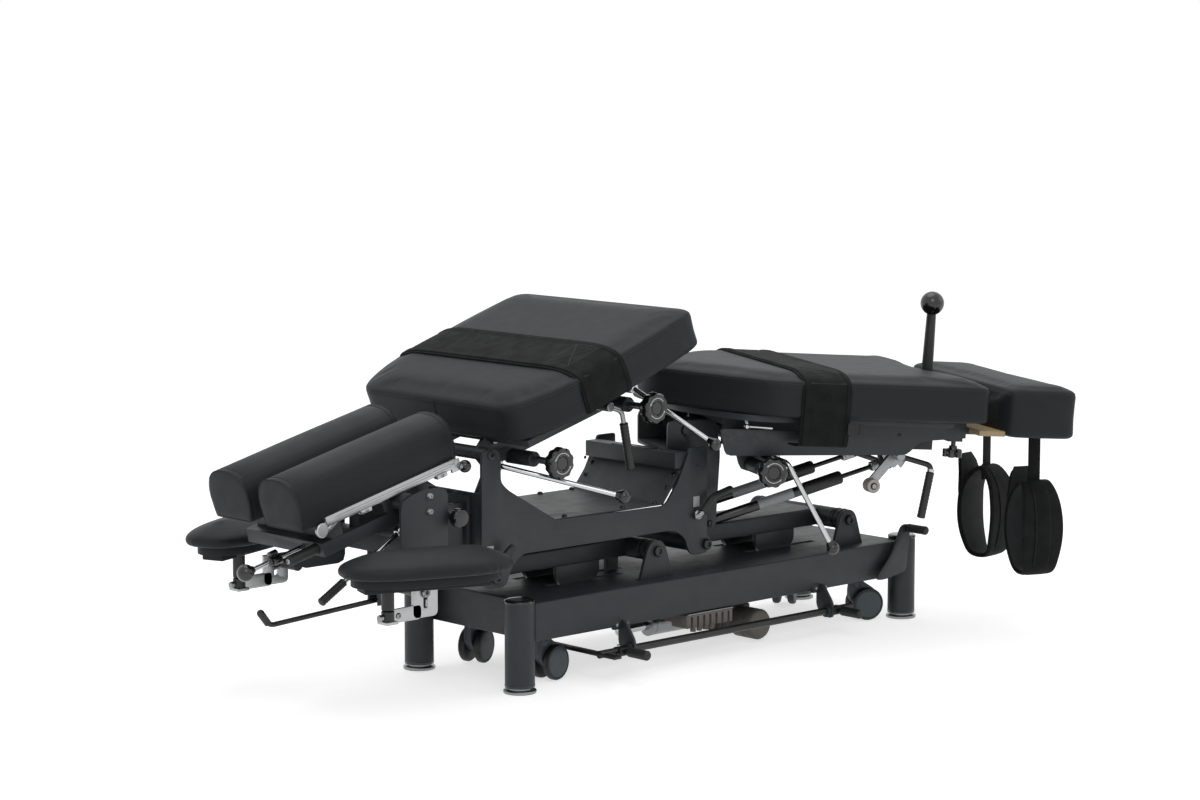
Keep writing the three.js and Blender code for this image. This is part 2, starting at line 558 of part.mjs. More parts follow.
function castorLever() {
  const shape = outline([
    [castorPedal.lowX - castorPedal.roundLow / 2, castorPedal.lowZ - castorPedal.roundLow / 2,
      castorPedal.roundLow],
    [castorPedal.footX, castorPedal.footZ, castorPedal.roundFoot],
    [castorPedal.topX + castorPedal.roundTop, castorPedal.topZ, castorPedal.roundTop],
    [castorPedal.topX - castorPedal.roundTop / 2, castorPedal.topZ, castorPedal.roundTop],
  ]);
  const outerY = -pedalPlateY - castorPedal.plate;
  const gripEnd = outerY - castorPedal.gripLength;
  return part('castor_lever', 'coat', [
    plateXZ(shape, [outerY, -pedalPlateY]),
    crossBar(castorPedal.gripX, castorPedal.gripZ, [gripEnd + overrun, -pedalPlateY], castorPedal.rodRadius),
    crossBar(castorPedal.gripX, castorPedal.gripZ, [gripEnd, outerY - overrun], castorPedal.gripRadius),
    crossBar(castorPedal.pivotX, castorPedal.pivotZ, [outerY - overrun, castorPedal.shaftEndY],
      castorPedal.shaftRadius),
  ]);
}

function castorCarrier() {
  const beams = pairs.map((side) => block(
    around(side * castor.x, castorFrame.halfWidth),
    around(0, castorFrame.halfY),
    [castorFrame.z0, castorFrame.z1],
  ));
  const bars = pairs.map((side) => block(
    around(0, castor.x),
    around(side * castorFrame.barY, castorFrame.barHalf),
    [castorFrame.z0, castorFrame.z1],
  ));
  const through = [castorFrame.z0 - overrun, castorFrame.z1 + overrun];
  const bores = pairs.flatMap((sideX) => pairs.flatMap((sideY) => [
    upright(sideX * castor.x, sideY * castor.y, through, cleared(castorFork.stemRadius)),
    upright(sideX * guidePin.x, sideY * guidePin.y, through, guidePin.radius + gap, coarseSides),
  ]));
  return part('castor_frame', 'coat', [...beams, ...bars], bores);
}

// One castor in its own frame: the stem on the axis, the wheels trailing towards +X
function castorGroup(number, sideX, sideY, heading) {
  const forkShape = outline([
    [-castorFork.headRadius, castor.wheelZ + castorFork.hoodRadius, castorFork.headRadius / 2],
    [-castorFork.headRadius, castor.wheelZ + castorFork.headRadius, castorFork.headRadius / 2],
    [castor.trail - castorFork.axleBoss, castor.wheelZ - castorFork.axleBoss, castorFork.axleBoss],
    [castor.trail + castorFork.axleBoss, castor.wheelZ - castorFork.axleBoss, castorFork.axleBoss],
    [castor.trail + castorFork.hoodRadius, castor.wheelZ + castorFork.axleBoss, castorFork.hoodRadius / 2],
    [castor.trail, castor.wheelZ + castor.wheelRadius + castorFork.axleRadius, castorFork.hoodRadius / 2],
    [castorFork.headRadius, castor.wheelZ + castor.wheelRadius + castorFork.headRadius / 2,
      castorFork.axleRadius],
    [-castorFork.headRadius, castor.wheelZ + castor.wheelRadius + castorFork.headRadius / 2,
      castorFork.axleRadius],
  ]);
  const fork = part(`castor_fork_${number}`, 'castorGrey', [
    plateXZ(forkShape, around(0, castor.forkHalf)),
    upright(0, 0, [castor.wheelZ + castorFork.hoodRadius, castorFork.stemTop], castorFork.stemRadius),
    upright(0, 0, [castor.wheelZ + castor.wheelRadius,
      castor.wheelZ + castor.wheelRadius + castorFork.headRadius],
      castorFork.headRadius - castor.rimChamfer),
  ], [crossBar(castor.trail, castor.wheelZ, around(0, castor.forkHalf + overrun),
    cleared(castorFork.axleRadius))]);
  const inner = castor.forkHalf + gap;
  const outer = inner + castor.wheelWidth;
  const rim = [[0, 0], [castor.wheelRadius - castor.rimChamfer, 0],
    [castor.wheelRadius, castor.rimChamfer / 2],
    [castor.wheelRadius, castor.wheelWidth - castor.rimChamfer],
      [castor.wheelRadius - castor.rimChamfer, castor.wheelWidth], [0, castor.wheelWidth]];
  const tyre = new THREE.LatheGeometry(rim.map(([across, up]) => new THREE.Vector2(across, up)), fineSides);
  tyre.translate(castor.trail, inner, 0).translate(0, 0, castor.wheelZ);
  const axle = crossBar(castor.trail, castor.wheelZ, around(0, outer - castor.rimChamfer),
    castorFork.axleRadius);
  const wheels = part(`castor_wheels_${number}`, 'castorGrey', [...bothSides(tyre), axle]);
  const group = new THREE.Group();
  group.position.set(sideX * castor.x, sideY * castor.y, 0);
  group.rotation.z = radians(heading);
  group.add(fork, wheels);
  return group;
}

table.add(chassis(), actuatorBody(), actuatorRod(), footBar(), castorLever(), castorCarrier());
pairs.forEach((sideX, row) => pairs.forEach((sideY, column) => {
  const number = 2 * row + column + 1;
  table.add(castorGroup(number, sideX, sideY, castorHeadings[number - 1]));
}));

// Lift arms
function liftArm(name, baseX, extra = []) {
  const frameX = baseX - lift.armLength;
  const baseHalf = clevis.y - clevis.thickness / 2 - gap;
  const frameHalf = plate.y - plate.thickness / 2 - gap;
  const finShape = outline([
    [baseX - arm.finReachFar, lift.baseZ, 0],
    [baseX - arm.finReachFar, lift.baseZ - arm.halfZ - arm.finDepth / 2, arm.finDepth / 2],
    [baseX - arm.finMid, lift.baseZ - arm.halfZ - arm.finDepth, arm.finDepth / 2],
    [baseX - arm.finReachNear, lift.baseZ - arm.halfZ - arm.finDepth / 2, arm.finDepth / 2],
    [baseX - arm.finReachNear, lift.baseZ, 0],
  ]);
  const fins = bothSides(plateXZ(finShape, around(arm.finY, arm.finHalf)));
  const beam = block([frameX, baseX], around(0, arm.halfY), around(lift.baseZ, arm.halfZ));
  const bores = [[baseX, baseHalf, lift.baseZ],
    [frameX, frameHalf, lift.frameZ]].flatMap(([x, half, z]) => bothSides(
    crossBar(x, z, [half - clevis.pinReach, half + overrun], cleared(clevis.pinRadius)),
  ));
  return part(name, 'coat', [
    beam,
    crossBar(baseX, lift.baseZ, around(0, baseHalf), arm.hubRadius, fineSides),
    crossBar(frameX, lift.frameZ, around(0, frameHalf), arm.frameHubRadius, fineSides),
    ...fins,
    ...extra,
  ], bores);
}

const crankShape = outline([
  [lift.headBaseX - crank.width / 2, lift.baseZ, 0],
  [lift.headBaseX - crank.lowWidth / 2, lift.baseZ - crank.depth, crank.lowWidth / 4],
  [lift.headBaseX + crank.lowWidth / 2, lift.baseZ - crank.depth, crank.lowWidth / 4],
  [lift.headBaseX + crank.width / 2, lift.baseZ, 0],
]);
table.add(liftArm('lift_arm_head', lift.headBaseX, [plateXZ(crankShape, around(0, crank.halfY))]));
table.add(liftArm('lift_arm_foot', lift.footBaseX));

// Upper frame
const headHubX = lift.headBaseX - lift.armLength;
const footHubX = lift.footBaseX - lift.armLength;

function sidePlate(name, side) {
  const shape = outline([
    [plate.leftX, plate.bottomZ, plate.roundBig],
    [plate.lobeHeadX, plate.bottomZ, plate.round],
    [plate.lobeCutX, plate.lobeCutZ, plate.round],
    [plate.bellyHeadX, plate.bellyZ, plate.round],
    [plate.bellyX, plate.bellyZ, plate.round],
    [plate.cutX, plate.cutZ, plate.round],
    [plate.lobeX, plate.bottomZ, plate.round],
    [plate.rightX, plate.bottomZ, plate.roundBig],
    [plate.rightX, plate.hornZ, plate.roundSmall],
    [plate.hornX, plate.hornZ, plate.roundSmall],
    [plate.hornBaseX, plate.hornBaseZ, plate.roundSmall],
    [plate.inclineX, plate.inclineZ, plate.roundSmall],
    [plate.kneeX, plate.kneeZ, plate.round],
    [plate.valleyX, plate.valleyZ, plate.round],
    [plate.flareX, plate.flareZ, plate.round],
    [plate.uprightX, plate.shoulderZ, plate.roundSmall],
    [plate.uprightX, plate.topZ, plate.roundBig],
    [plate.leftX, plate.topZ, plate.roundBig],
  ]);
  const inner = plate.y - plate.thickness / 2;
  const outer = plate.y + plate.thickness / 2;
  const pivots = [[headHubX, lift.frameZ], [footHubX, lift.frameZ]].flatMap(([x, z]) => [
    crossBar(x, z, [inner - clevis.pinReach, outer], clevis.pinRadius),
    crossBar(x, z, [outer - gap, outer + clevis.boltHead], clevis.boltRadius, coarseSides),
  ]);
  const hinge = crossBar(thoracic.x, thoracic.z, [inner - clevis.pinReach, outer], clevis.pinRadius);
  const pieces = [plateXZ(shape, [inner, outer]), ...pivots, hinge];
  return part(name, 'coat', side > 0 ? pieces : pieces.map(otherSide));
}

function frameCover() {
  const half = plate.y - plate.thickness / 2 - gap;
  const incline = outline([
    [pan.x1 - pan.sheet, pan.z0, 0],
    [pan.x1, pan.z0, 0],
    [pan.inclineX + pan.sheet, pan.inclineZ, 0],
    [pan.inclineX, pan.inclineZ + pan.sheet, 0],
    [pan.x1 - pan.sheet, pan.z1, 0],
  ]);
  const tongue = block([seat.x0, seat.tongueX], around(0, seat.tongueHalf), [seat.tongueZ0, seat.z1]);
  const rails = bothSides(block([frontPlate.railX, frontPlate.x0 + gap],
    [frontPlate.railInner, frontPlate.railOuter], [frontPlate.z0, frontPlate.z1]));
  const lugY = around(tiltSpring.y, tiltSpring.lugHalf * 2);
  const springLug = block(around(tiltSpring.footX, tiltSpring.eyeRadius), lugY,
    [pan.z0, tiltSpring.footZ + tiltSpring.eyeRadius]);
  const springSlot = block(
    around(tiltSpring.footX, tiltSpring.eyeRadius * 2),
    around(tiltSpring.y, tiltSpring.eyeHalf + gap),
    [pan.z1, tiltSpring.footZ + tiltSpring.eyeRadius * 2],
  );
  const springPin = crossBar(tiltSpring.footX, tiltSpring.footZ, lugY, tiltSpring.pinRadius, coarseSides);
  const lugs = toGeometry(toSolid(springLug).subtract(toSolid(springSlot)).add(toSolid(springPin)));
  return part('frame_cover', 'coat', [
    lugs,
    block([pan.x0, pan.x1], around(0, half), [pan.z0, pan.z1]),
    plateXZ(incline, around(0, half)),
    block([pan.channelX, pan.channelEndX], around(0, half), [pan.channelZ0, pan.channelZ1]),
    block([pan.channelEndX - overrun, seat.x1], around(0, half), [seat.z0 + pan.sheet, seat.z1]),
    block([seat.x0, seat.x1], around(0, half), [seat.z0, seat.z1]),
    tongue,
    block([frontPlate.x0, frontPlate.x1], around(0, half), [frontPlate.z0, frontPlate.z1]),
    ...rails,
  ], [upright(0, 0, [seat.tongueZ0 - overrun, seat.z1 + overrun], cleared(seat.boreRadius))]);
}

table.add(sidePlate('side_plate_near', -1), sidePlate('side_plate_far', 1), frameCover());

// Lock levers on the near plate
function lockHandle(name, { x, z, y }, bends) {
  const face = -(plate.y + plate.thickness / 2 + gap);
  const path = [point(x, y, z), ...bends.map(([bendX, bendZ]) => point(bendX, y, bendZ))];
  const last = path[path.length - 1];
  const start = path[path.length - 2].clone().lerp(last, bends.length > 1 ? 0 : cornerLimitShare / 2);
  return part(name, 'rubber', [
    crossBar(x, z, [y - lockLever.rodRadius, face], lockLever.hubRadius),
    ...bentRod(path, lockLever.rodRadius),
    bar(start, last, lockLever.gripRadius),
    ball(last, lockLever.gripRadius),
  ]);
}

table.add(lockHandle('grip_lever_head', headLock, [[headLock.tipX, headLock.tipZ]]));
table.add(lockHandle('grip_lever_foot', footLock,
  [[footLock.kneeX, footLock.kneeZ], [footLock.tipX, footLock.tipZ]]));

// Levers and knobs that several sections use
function tensionKnob(name, { x, z }, faceY, outerY = knob.y) {
  const back = outerY + knob.thickness / 2;
  const front = outerY - knob.thickness / 2;
  const lobes = Array.from({ length: knob.lobes }, (_, index) => {
    const turn = 2 * Math.PI * index / knob.lobes;
    const reach = knob.radius;
    return crossBar(x + reach * Math.cos(turn), z + reach * Math.sin(turn),
      [front - overrun, back + overrun], knob.lobeRadius, coarseSides);
  });
  return part(name, 'gloss', [
    crossBar(x, z, [front, back], knob.radius, fineSides),
    crossBar(x, z, [back - overrun, back + knob.hubDepth], knob.hubRadius),
    crossBar(x, z, [back, faceY - gap], knob.stemRadius),
  ], lobes);
}

function cockingLever(name, { x, z, hubY, ballX, ballZ, ballY }, faceY) {
  const tip = point(ballX, ballY, ballZ);
  return part(name, 'chrome', [
    crossBar(x, z, [hubY - cocking.hubLength, faceY - gap], cocking.hubRadius),
    bar(point(x, hubY - cocking.hubLength / 2, z), tip, cocking.rodRadius, coarseSides),
    ball(tip, cocking.ballRadius),
  ]);
}

// Thoracic section
const thoracicGroup = new THREE.Group();
thoracicGroup.position.set(thoracic.x, 0, thoracic.z);
thoracicGroup.rotation.y = -radians(thoracic.rise);
table.add(thoracicGroup);

const thoracicShape = outline([
  [thoracic.headX, -thoracic.headHalf, thoracic.roundSide],
  [thoracic.headX + thoracic.headHalf / 2, -thoracic.halfWidth, thoracic.roundSide],
  [thoracic.length - thoracic.headHalf / 2, -thoracic.halfWidth, thoracic.roundSide],
  [thoracic.length, -thoracic.footHalf, thoracic.roundFoot],
  [thoracic.length, thoracic.footHalf, thoracic.roundFoot],
  [thoracic.length - thoracic.headHalf / 2, thoracic.halfWidth, thoracic.roundSide],
  [thoracic.headX + thoracic.headHalf / 2, thoracic.halfWidth, thoracic.roundSide],
  [thoracic.headX, thoracic.headHalf, thoracic.roundSide],
]);
const thoracicSize = {
  bottomZ: thoracic.bottomZ,
  seamZ: thoracic.seamZ,
  crown: thoracic.crown,
  reach: thoracic.length,
  spine: [thoracic.length / 2 - thoracic.spineHalf, 0, thoracic.length / 2 + thoracic.spineHalf, 0],
};

function thoracicFrame() {
  const boardTop = thoracic.bottomZ - gap;
  const railInner = thoracicRail.y;
  const railOuter = thoracicRail.y + thoracicRail.thickness;
  const half = plate.y - plate.thickness / 2 - gap;
  const board = block([thoracicBoard.x0, thoracicBoard.x1], around(0, thoracicBoard.halfY),
    [boardTop - thoracicBoard.thickness, boardTop]);
  const railShape = outline([
    [thoracicRail.x0, -thoracic.hubRadius / 2, 0],
    [thoracicRail.x0 + thoracic.hubRadius, thoracicRail.z0 - boss.radius, boss.radius],
    [footKnob.x + boss.radius, footKnob.z - boss.radius, boss.radius],
    [thoracicRail.x1, thoracicRail.z0, boss.radius],
    [thoracicRail.x1, boardTop - overrun, 0],
    [thoracicRail.x0 + thoracic.hubRadius * 2, boardTop - overrun, boss.radius],
    [thoracicRail.x0, thoracic.hubRadius / 2, 0],
  ]);
  const rails = bothSides(plateXZ(railShape, [railInner, railOuter]));
  const crossBars = thoracicBar.x.map((x) => block(around(x, thoracicBar.half),
    around(0, railOuter - overrun / 2), [thoracicBar.z0, boardTop - overrun]));
  const bosses = [headKnob, footKnob].map(({ x, z }) => crossBar(x, z, [boss.outerY, boss.innerY],
    boss.radius));
  const hubs = [[footCocking, footCocking.hubY], [tiltLever, tiltLever.hubY]];
  const pads = hubs.map(([{ x, z }, y]) => crossBar(x, z, [y - overrun, -railInner], cocking.hubRadius));
  const lug = crossBar(tiltLug.x, tiltLug.z, around(tiltSpring.y, tiltSpring.lugHalf * 3),
    tiltSpring.eyeRadius);
  const lugWeb = block(around(tiltLug.x, tiltSpring.eyeRadius),
    around(tiltSpring.y, tiltSpring.lugHalf * 3), [tiltLug.z, boardTop - overrun]);
  const lugGap = crossBar(tiltLug.x, tiltLug.z, around(tiltSpring.y, tiltSpring.lugHalf + gap),
    tiltSpring.eyeRadius * 2);
  const tube = crossBar(0, 0, around(0, half), thoracic.hubRadius, fineSides);
  const bores = bothSides(crossBar(0, 0, [half - clevis.pinReach, half + overrun],
    cleared(clevis.pinRadius)));
  return part('thoracic_frame', 'coat',
    [board, ...rails, ...crossBars, ...bosses, ...pads, lug, lugWeb, tube], [...bores, lugGap]);
}

// The gas spring behind the near plate leans from the frame to this lug, in the tilted frame
const tiltLug = (() => {
  const rise = radians(tiltSpring.rise);
  const dx = tiltSpring.footX + tiltSpring.lugReach * Math.cos(rise) - thoracic.x;
  const dz = tiltSpring.footZ + tiltSpring.lugReach * Math.sin(rise) - thoracic.z;
  const turn = radians(thoracic.rise);
  return { x: dx * Math.cos(turn) + dz * Math.sin(turn), z: dz * Math.cos(turn) - dx * Math.sin(turn) };
})();

const railFaceY = -(thoracicRail.y + thoracicRail.thickness);
const tiltKnee = point(tiltLever.kneeX, tiltLever.y, tiltLever.kneeZ);
const tiltTip = point(tiltLever.tipX, tiltLever.y, tiltLever.tipZ);
const tiltGrip = part('tilt_lever', 'rubber', [
  crossBar(tiltLever.x, tiltLever.z,
    [tiltLever.y - tiltLever.rodRadius, tiltLever.hubY - overrun - gap], tiltLever.gripRadius),
  ...bentRod([point(tiltLever.x, tiltLever.y, tiltLever.z), tiltKnee, tiltTip], tiltLever.rodRadius),
  bar(tiltKnee.clone().lerp(tiltTip, tiltLever.gripStartShare), tiltTip, tiltLever.gripRadius),
]);
thoracicGroup.add(
  thoracicFrame(),
  named('thoracic_cushion', 'upholstery', cushion(thoracicShape, cushionPoints.thoracic, thoracicSize)),
  named('thoracic_strap', 'webbing',
    strapOver(thoracicShape, cushionPoints.thoracic, thoracicSize, thoracicStrap)),
  tensionKnob('tension_knob_head', headKnob, boss.outerY),
  tensionKnob('tension_knob_foot', footKnob, boss.outerY),
  cockingLever('cocking_lever_head', headCocking, railFaceY),
  cockingLever('cocking_lever_foot', footCocking, footCocking.hubY - overrun),
  tiltGrip,
);

// A gas spring in its own frame: the foot eye on the origin, the rod towards +X
function gasSpring(name, size, place) {
  const bodyEnd = size.bodyStart + size.bodyLength;
  const eye = crossBar(0, 0, around(0, size.eyeHalf), size.eyeRadius);
  const body = part(`${name}_body_${place}`, 'springBlack', [
    eye,
    bar(point(0, 0, 0), point(size.bodyStart + overrun, 0, 0), size.rodRadius),
    bar(point(size.bodyStart, 0, 0), point(bodyEnd, 0, 0), size.bodyRadius, fineSides),
  ], [
    crossBar(0, 0, around(0, size.eyeHalf + overrun), cleared(size.pinRadius, coarseSides), coarseSides),
    bar(point(bodyEnd - size.boreDepth, 0, 0), point(bodyEnd + overrun, 0, 0),
      cleared(size.rodRadius, coarseSides), coarseSides),
  ]);
  const rod = part(`${name}_rod_${place}`, 'chrome', [
    bar(point(size.insideStart, 0, 0), point(size.rodEnd, 0, 0), size.rodRadius, coarseSides),
    bar(point(size.rodEnd - size.forkLength, 0, 0), point(size.rodEnd, 0, 0), size.forkRadius, coarseSides),
  ]);
  return [body, rod];
}

// The thoracic gas spring stands on a bracket in the upper frame
const tiltSpringGroup = new THREE.Group();
tiltSpringGroup.position.set(tiltSpring.footX, tiltSpring.y, tiltSpring.footZ);
tiltSpringGroup.rotation.y = -radians(tiltSpring.rise);
tiltSpringGroup.add(...gasSpring('tilt_spring', tiltSpring, 'thoracic'));
table.add(tiltSpringGroup);

// Leg section: the swing group turns about the upright axis, the flex group about the cross axis
const swingGroup = new THREE.Group();
swingGroup.rotation.z = radians(section.swing);
const flexGroup = new THREE.Group();
flexGroup.position.z = section.flexZ;
flexGroup.rotation.y = radians(section.decline);
swingGroup.add(flexGroup);
table.add(swingGroup);

function legSwivel() {
  const cheekShape = outline([
    [swivel.boxX0, swivel.discZ1, 0],
    [swivel.earX0, swivel.discZ1, swivel.earRadius],
    [swivel.earX0 + swivel.earRadius, swivel.springZ - swivel.earRadius, swivel.earRadius],
    [swivel.springX + swivel.earRadius, swivel.springZ - swivel.earRadius, swivel.earRadius],
    [swivel.earX1, swivel.discZ1, swivel.earRadius],
    [swivel.boxX1, swivel.topZ, swivel.earRadius],
    [swivel.boxX0, swivel.topZ, swivel.earRadius],
  ]);
  const inner = swivel.cheekY - swivel.cheek / 2;
  const outer = swivel.cheekY + swivel.cheek / 2;
  const springInner = swivel.springY - legSpring.eyeHalf;
  return part('leg_swivel', 'coat', [
    upright(0, 0, [swivel.discZ0, swivel.discZ1], swivel.discRadius, fineSides),
    upright(0, 0, [swivel.pinBottom, swivel.discZ1], seat.boreRadius),
    block([swivel.boxX0, swivel.boxX1], around(0, inner + overrun), [swivel.discZ1 - overrun, swivel.baseZ1]),
    ...bothSides([
      plateXZ(cheekShape, [inner, outer]),
      crossBar(swivel.springX, swivel.springZ, [springInner, inner + overrun], swivel.pinRadius, coarseSides),
      crossBar(0, section.flexZ, [inner - clevis.pinReach, inner + overrun], flexHub.pinRadius),
      crossBar(0, section.flexZ, [outer - gap, outer + clevis.boltHead], clevis.boltRadius, coarseSides),
    ]),
  ]);
}

const pelvicShape = outline([
  [pelvic.headX, -pelvic.headHalf, pelvic.roundHead],
  [pelvic.shoulderX, -pelvic.shoulderHalf, pelvic.round],
  [pelvic.wideX, -pelvic.halfWidth, pelvic.roundHead],
  [pelvic.footX, -pelvic.halfWidth, pelvic.roundFoot],
  [pelvic.footX, -pelvic.notchHalf, pelvic.roundNotch],
  [pelvic.notchX, -pelvic.notchInner, pelvic.roundNotch],
  [pelvic.notchFloor, 0, pelvic.roundNotch],
  [pelvic.notchX, pelvic.notchInner, pelvic.roundNotch],
  [pelvic.footX, pelvic.notchHalf, pelvic.roundNotch],
  [pelvic.footX, pelvic.halfWidth, pelvic.roundFoot],
  [pelvic.wideX, pelvic.halfWidth, pelvic.roundHead],
  [pelvic.shoulderX, pelvic.shoulderHalf, pelvic.round],
  [pelvic.headX, pelvic.headHalf, pelvic.roundHead],
]);
const pelvicSize = {
  bottomZ: section.bottomZ,
  seamZ: section.seamZ,
  crown: section.crown,
  reach: pelvic.footX,
  spine: [pelvic.shoulderX + pelvic.roundHead, 0, pelvic.footX / 2 + pelvic.round, 0],
};

// The pelvic strap also hangs below the cushion and turns in under the frame
function pelvicStrapTails() {
  const outer = pelvic.halfWidth + strap.lift + strap.thickness;
  const inner = pelvic.halfWidth + strap.lift;
  const shoulder = section.seamZ - edge.seamBelow;
  return bothSides([
    block([pelvicStrap.x0, pelvicStrap.x1], [inner, outer], [pelvicStrap.dropZ, shoulder]),
    block([pelvicStrap.x0, pelvicStrap.x1], [pelvicStrap.returnY, outer],
      around(pelvicStrap.dropZ, strap.thickness / 2)),
    block([pelvicStrap.x1 - overrun, pelvicStrap.tabX], [inner, outer],
      [pelvicStrap.tabZ0, pelvicStrap.tabZ1]),
  ]);
}

function legFrame() {
  const boardTop = section.bottomZ - gap;
  const boardShape = outline([
    [legBoard.x0, -legBoard.headHalf, pelvic.roundHead],
    [legBoard.shoulderX, -legBoard.halfY, pelvic.roundHead],
    [legBoard.x1, -legBoard.halfY, pelvic.roundFoot],
    [legBoard.x1, legBoard.halfY, pelvic.roundFoot],
    [legBoard.shoulderX, legBoard.halfY, pelvic.roundHead],
    [legBoard.x0, legBoard.headHalf, pelvic.roundHead],
  ]);
  const sideShape = outline([
    [legPlate.x0, legPlate.topHeadZ, legPlate.round],
    [legPlate.headBottomX, legPlate.headBottomZ, legPlate.round],
    [legPlate.footBottomX, legPlate.footBottomZ, legPlate.round],
    [legPlate.stepX, legPlate.stepZ, legPlate.round],
    [legPlate.endX, legPlate.endZ, 0],
    [legPlate.endX, boardTop, 0],
    [legPlate.shelfX, boardTop, 0],
    [legPlate.shelfX, legPlate.topHeadZ, legPlate.round],
  ]);
  const inner = legPlate.y - legPlate.thickness / 2;
  const outer = legPlate.y + legPlate.thickness / 2;
  const beamOuter = legBeam.y + legBeam.thickness / 2;
  const beamInner = legBeam.y - legBeam.thickness / 2;
  const hubHalf = swivel.cheekY - swivel.cheek / 2 - gap;
  const hubX1 = legBar.x[0];
  const cheekClear = swivel.boxX1 + legBar.half;
  const underBoard = boardTop - legBoard.thickness;
  const forkShape = outline([
    [forkBracket.x - forkBracket.width, legBeam.z0 + overrun, 0],
    [forkBracket.x - forkBracket.width / 2, forkBracket.z - swivel.earRadius, swivel.earRadius],
    [forkBracket.x + forkBracket.width / 2, forkBracket.z - swivel.earRadius, swivel.earRadius],
    [forkBracket.x + forkBracket.width / 2, legBeam.z0 + overrun, 0],
  ]);
  const knobPlate = outline([
    [legKnob.x - legKnob.plateWidth, legBeam.z0 + overrun, 0],
    [legKnob.x - legKnob.plateWidth / 2, legKnob.z - boss.radius, boss.radius],
    [legKnob.x + legKnob.plateWidth / 2, legKnob.z - boss.radius, boss.radius],
    [legKnob.x + legKnob.plateFootReach, legBeam.z0 + overrun, 0],
  ]);
  const beamY = [beamInner, beamOuter];
  const hubWeb = block([0, hubX1], [hubHalf - legBeam.thickness * 2, hubHalf],
    [-flexHub.radius / 2, flexHub.radius / 2]);
  const hubStep = block([cheekClear, hubX1], [hubHalf - legBeam.thickness * 2, beamOuter],
    [-flexHub.radius / 2, flexHub.radius / 2]);
  return part('leg_frame', 'coat', [
    plateXY(boardShape, [underBoard, boardTop]),
    ...bothSides([
      plateXZ(sideShape, [inner, outer]),
      block([cheekClear, legBeam.x1], beamY, [legBeam.z0, underBoard + overrun]),
      crossBar(0, 0, [hubHalf - legBeam.thickness * 2, hubHalf], flexHub.radius),
      hubWeb,
      hubStep,
    ]),
    ...legBar.x.map((x) => block(around(x, legBar.half), around(0, inner + overrun),
      [legBar.z0, legBar.z0 + legBar.half * 2])),
    ...bothSides(plateXZ(forkShape,
      around(forkBracket.y + legSpring.forkRadius + forkBracket.half, forkBracket.half))),
    crossBar(forkBracket.x, forkBracket.z,
      around(0, forkBracket.y + legSpring.forkRadius + forkBracket.half), swivel.pinRadius,
      coarseSides),
    ...bothSides(block(around(forkBracket.x - forkBracket.width / 4, forkBracket.half),
      [forkBracket.y, beamInner + overrun], [legBar.z0 - overrun * 2, legBeam.z0 + legBar.half])),
    plateXZ(knobPlate, [-beamOuter, -beamInner]),
    crossBar(legKnob.x, legKnob.z, [legKnob.bossOuterY, -beamInner], boss.radius),
    crossBar(legCocking.x, legCocking.z, [legCocking.hubY - overrun, -beamInner], cocking.hubRadius),
    crossBar(flexLever.x, flexLever.z, [flexLever.hubY, -beamInner], flexLever.rollerRadius),
    bar(point(handle.x, 0, boardTop - legBoard.thickness), point(handle.x, 0, handle.bottomZ),
      handle.socketRadius),
    block([legBoard.x1 - overrun, handle.x], around(0, handle.socketRadius), [underBoard, boardTop]),
    block(around(starKnob.x, starKnob.shelfHalf), [-inner - overrun, starKnob.y + starKnob.shelfHalf],
      [starKnob.shelfZ0, starKnob.shelfZ1]),
  ], [
    upright(starKnob.x, starKnob.y, [starKnob.shelfZ0 - overrun, starKnob.shelfZ1 + overrun],
      cleared(starKnob.stemRadius, coarseSides), coarseSides),
    ...bothSides(crossBar(0, 0, [hubHalf - clevis.pinReach - overrun, hubHalf + overrun],
      cleared(flexHub.pinRadius))),
    bar(point(handle.x, 0, underBoard + legBoard.thickness / 2),
      point(handle.x, 0, handle.bottomZ + overrun), cleared(handle.plugRadius)),
  ]);
}

function legCockingLever() {
  const start = point(legCocking.x, legCocking.hubY - cocking.hubLength / 2, legCocking.z);
  const elbow = point(legCocking.x, legCocking.elbowY, legCocking.z);
  const tip = point(legCocking.ballX, legCocking.ballY, legCocking.ballZ);
  return part('pelvic_cocking_lever', 'chrome', [
    crossBar(legCocking.x, legCocking.z,
      [legCocking.hubY - cocking.hubLength, legCocking.hubY - overrun - gap], cocking.hubRadius),
    ...bentRod([start, elbow, tip], cocking.rodRadius),
    ball(tip, cocking.ballRadius),
  ]);
}

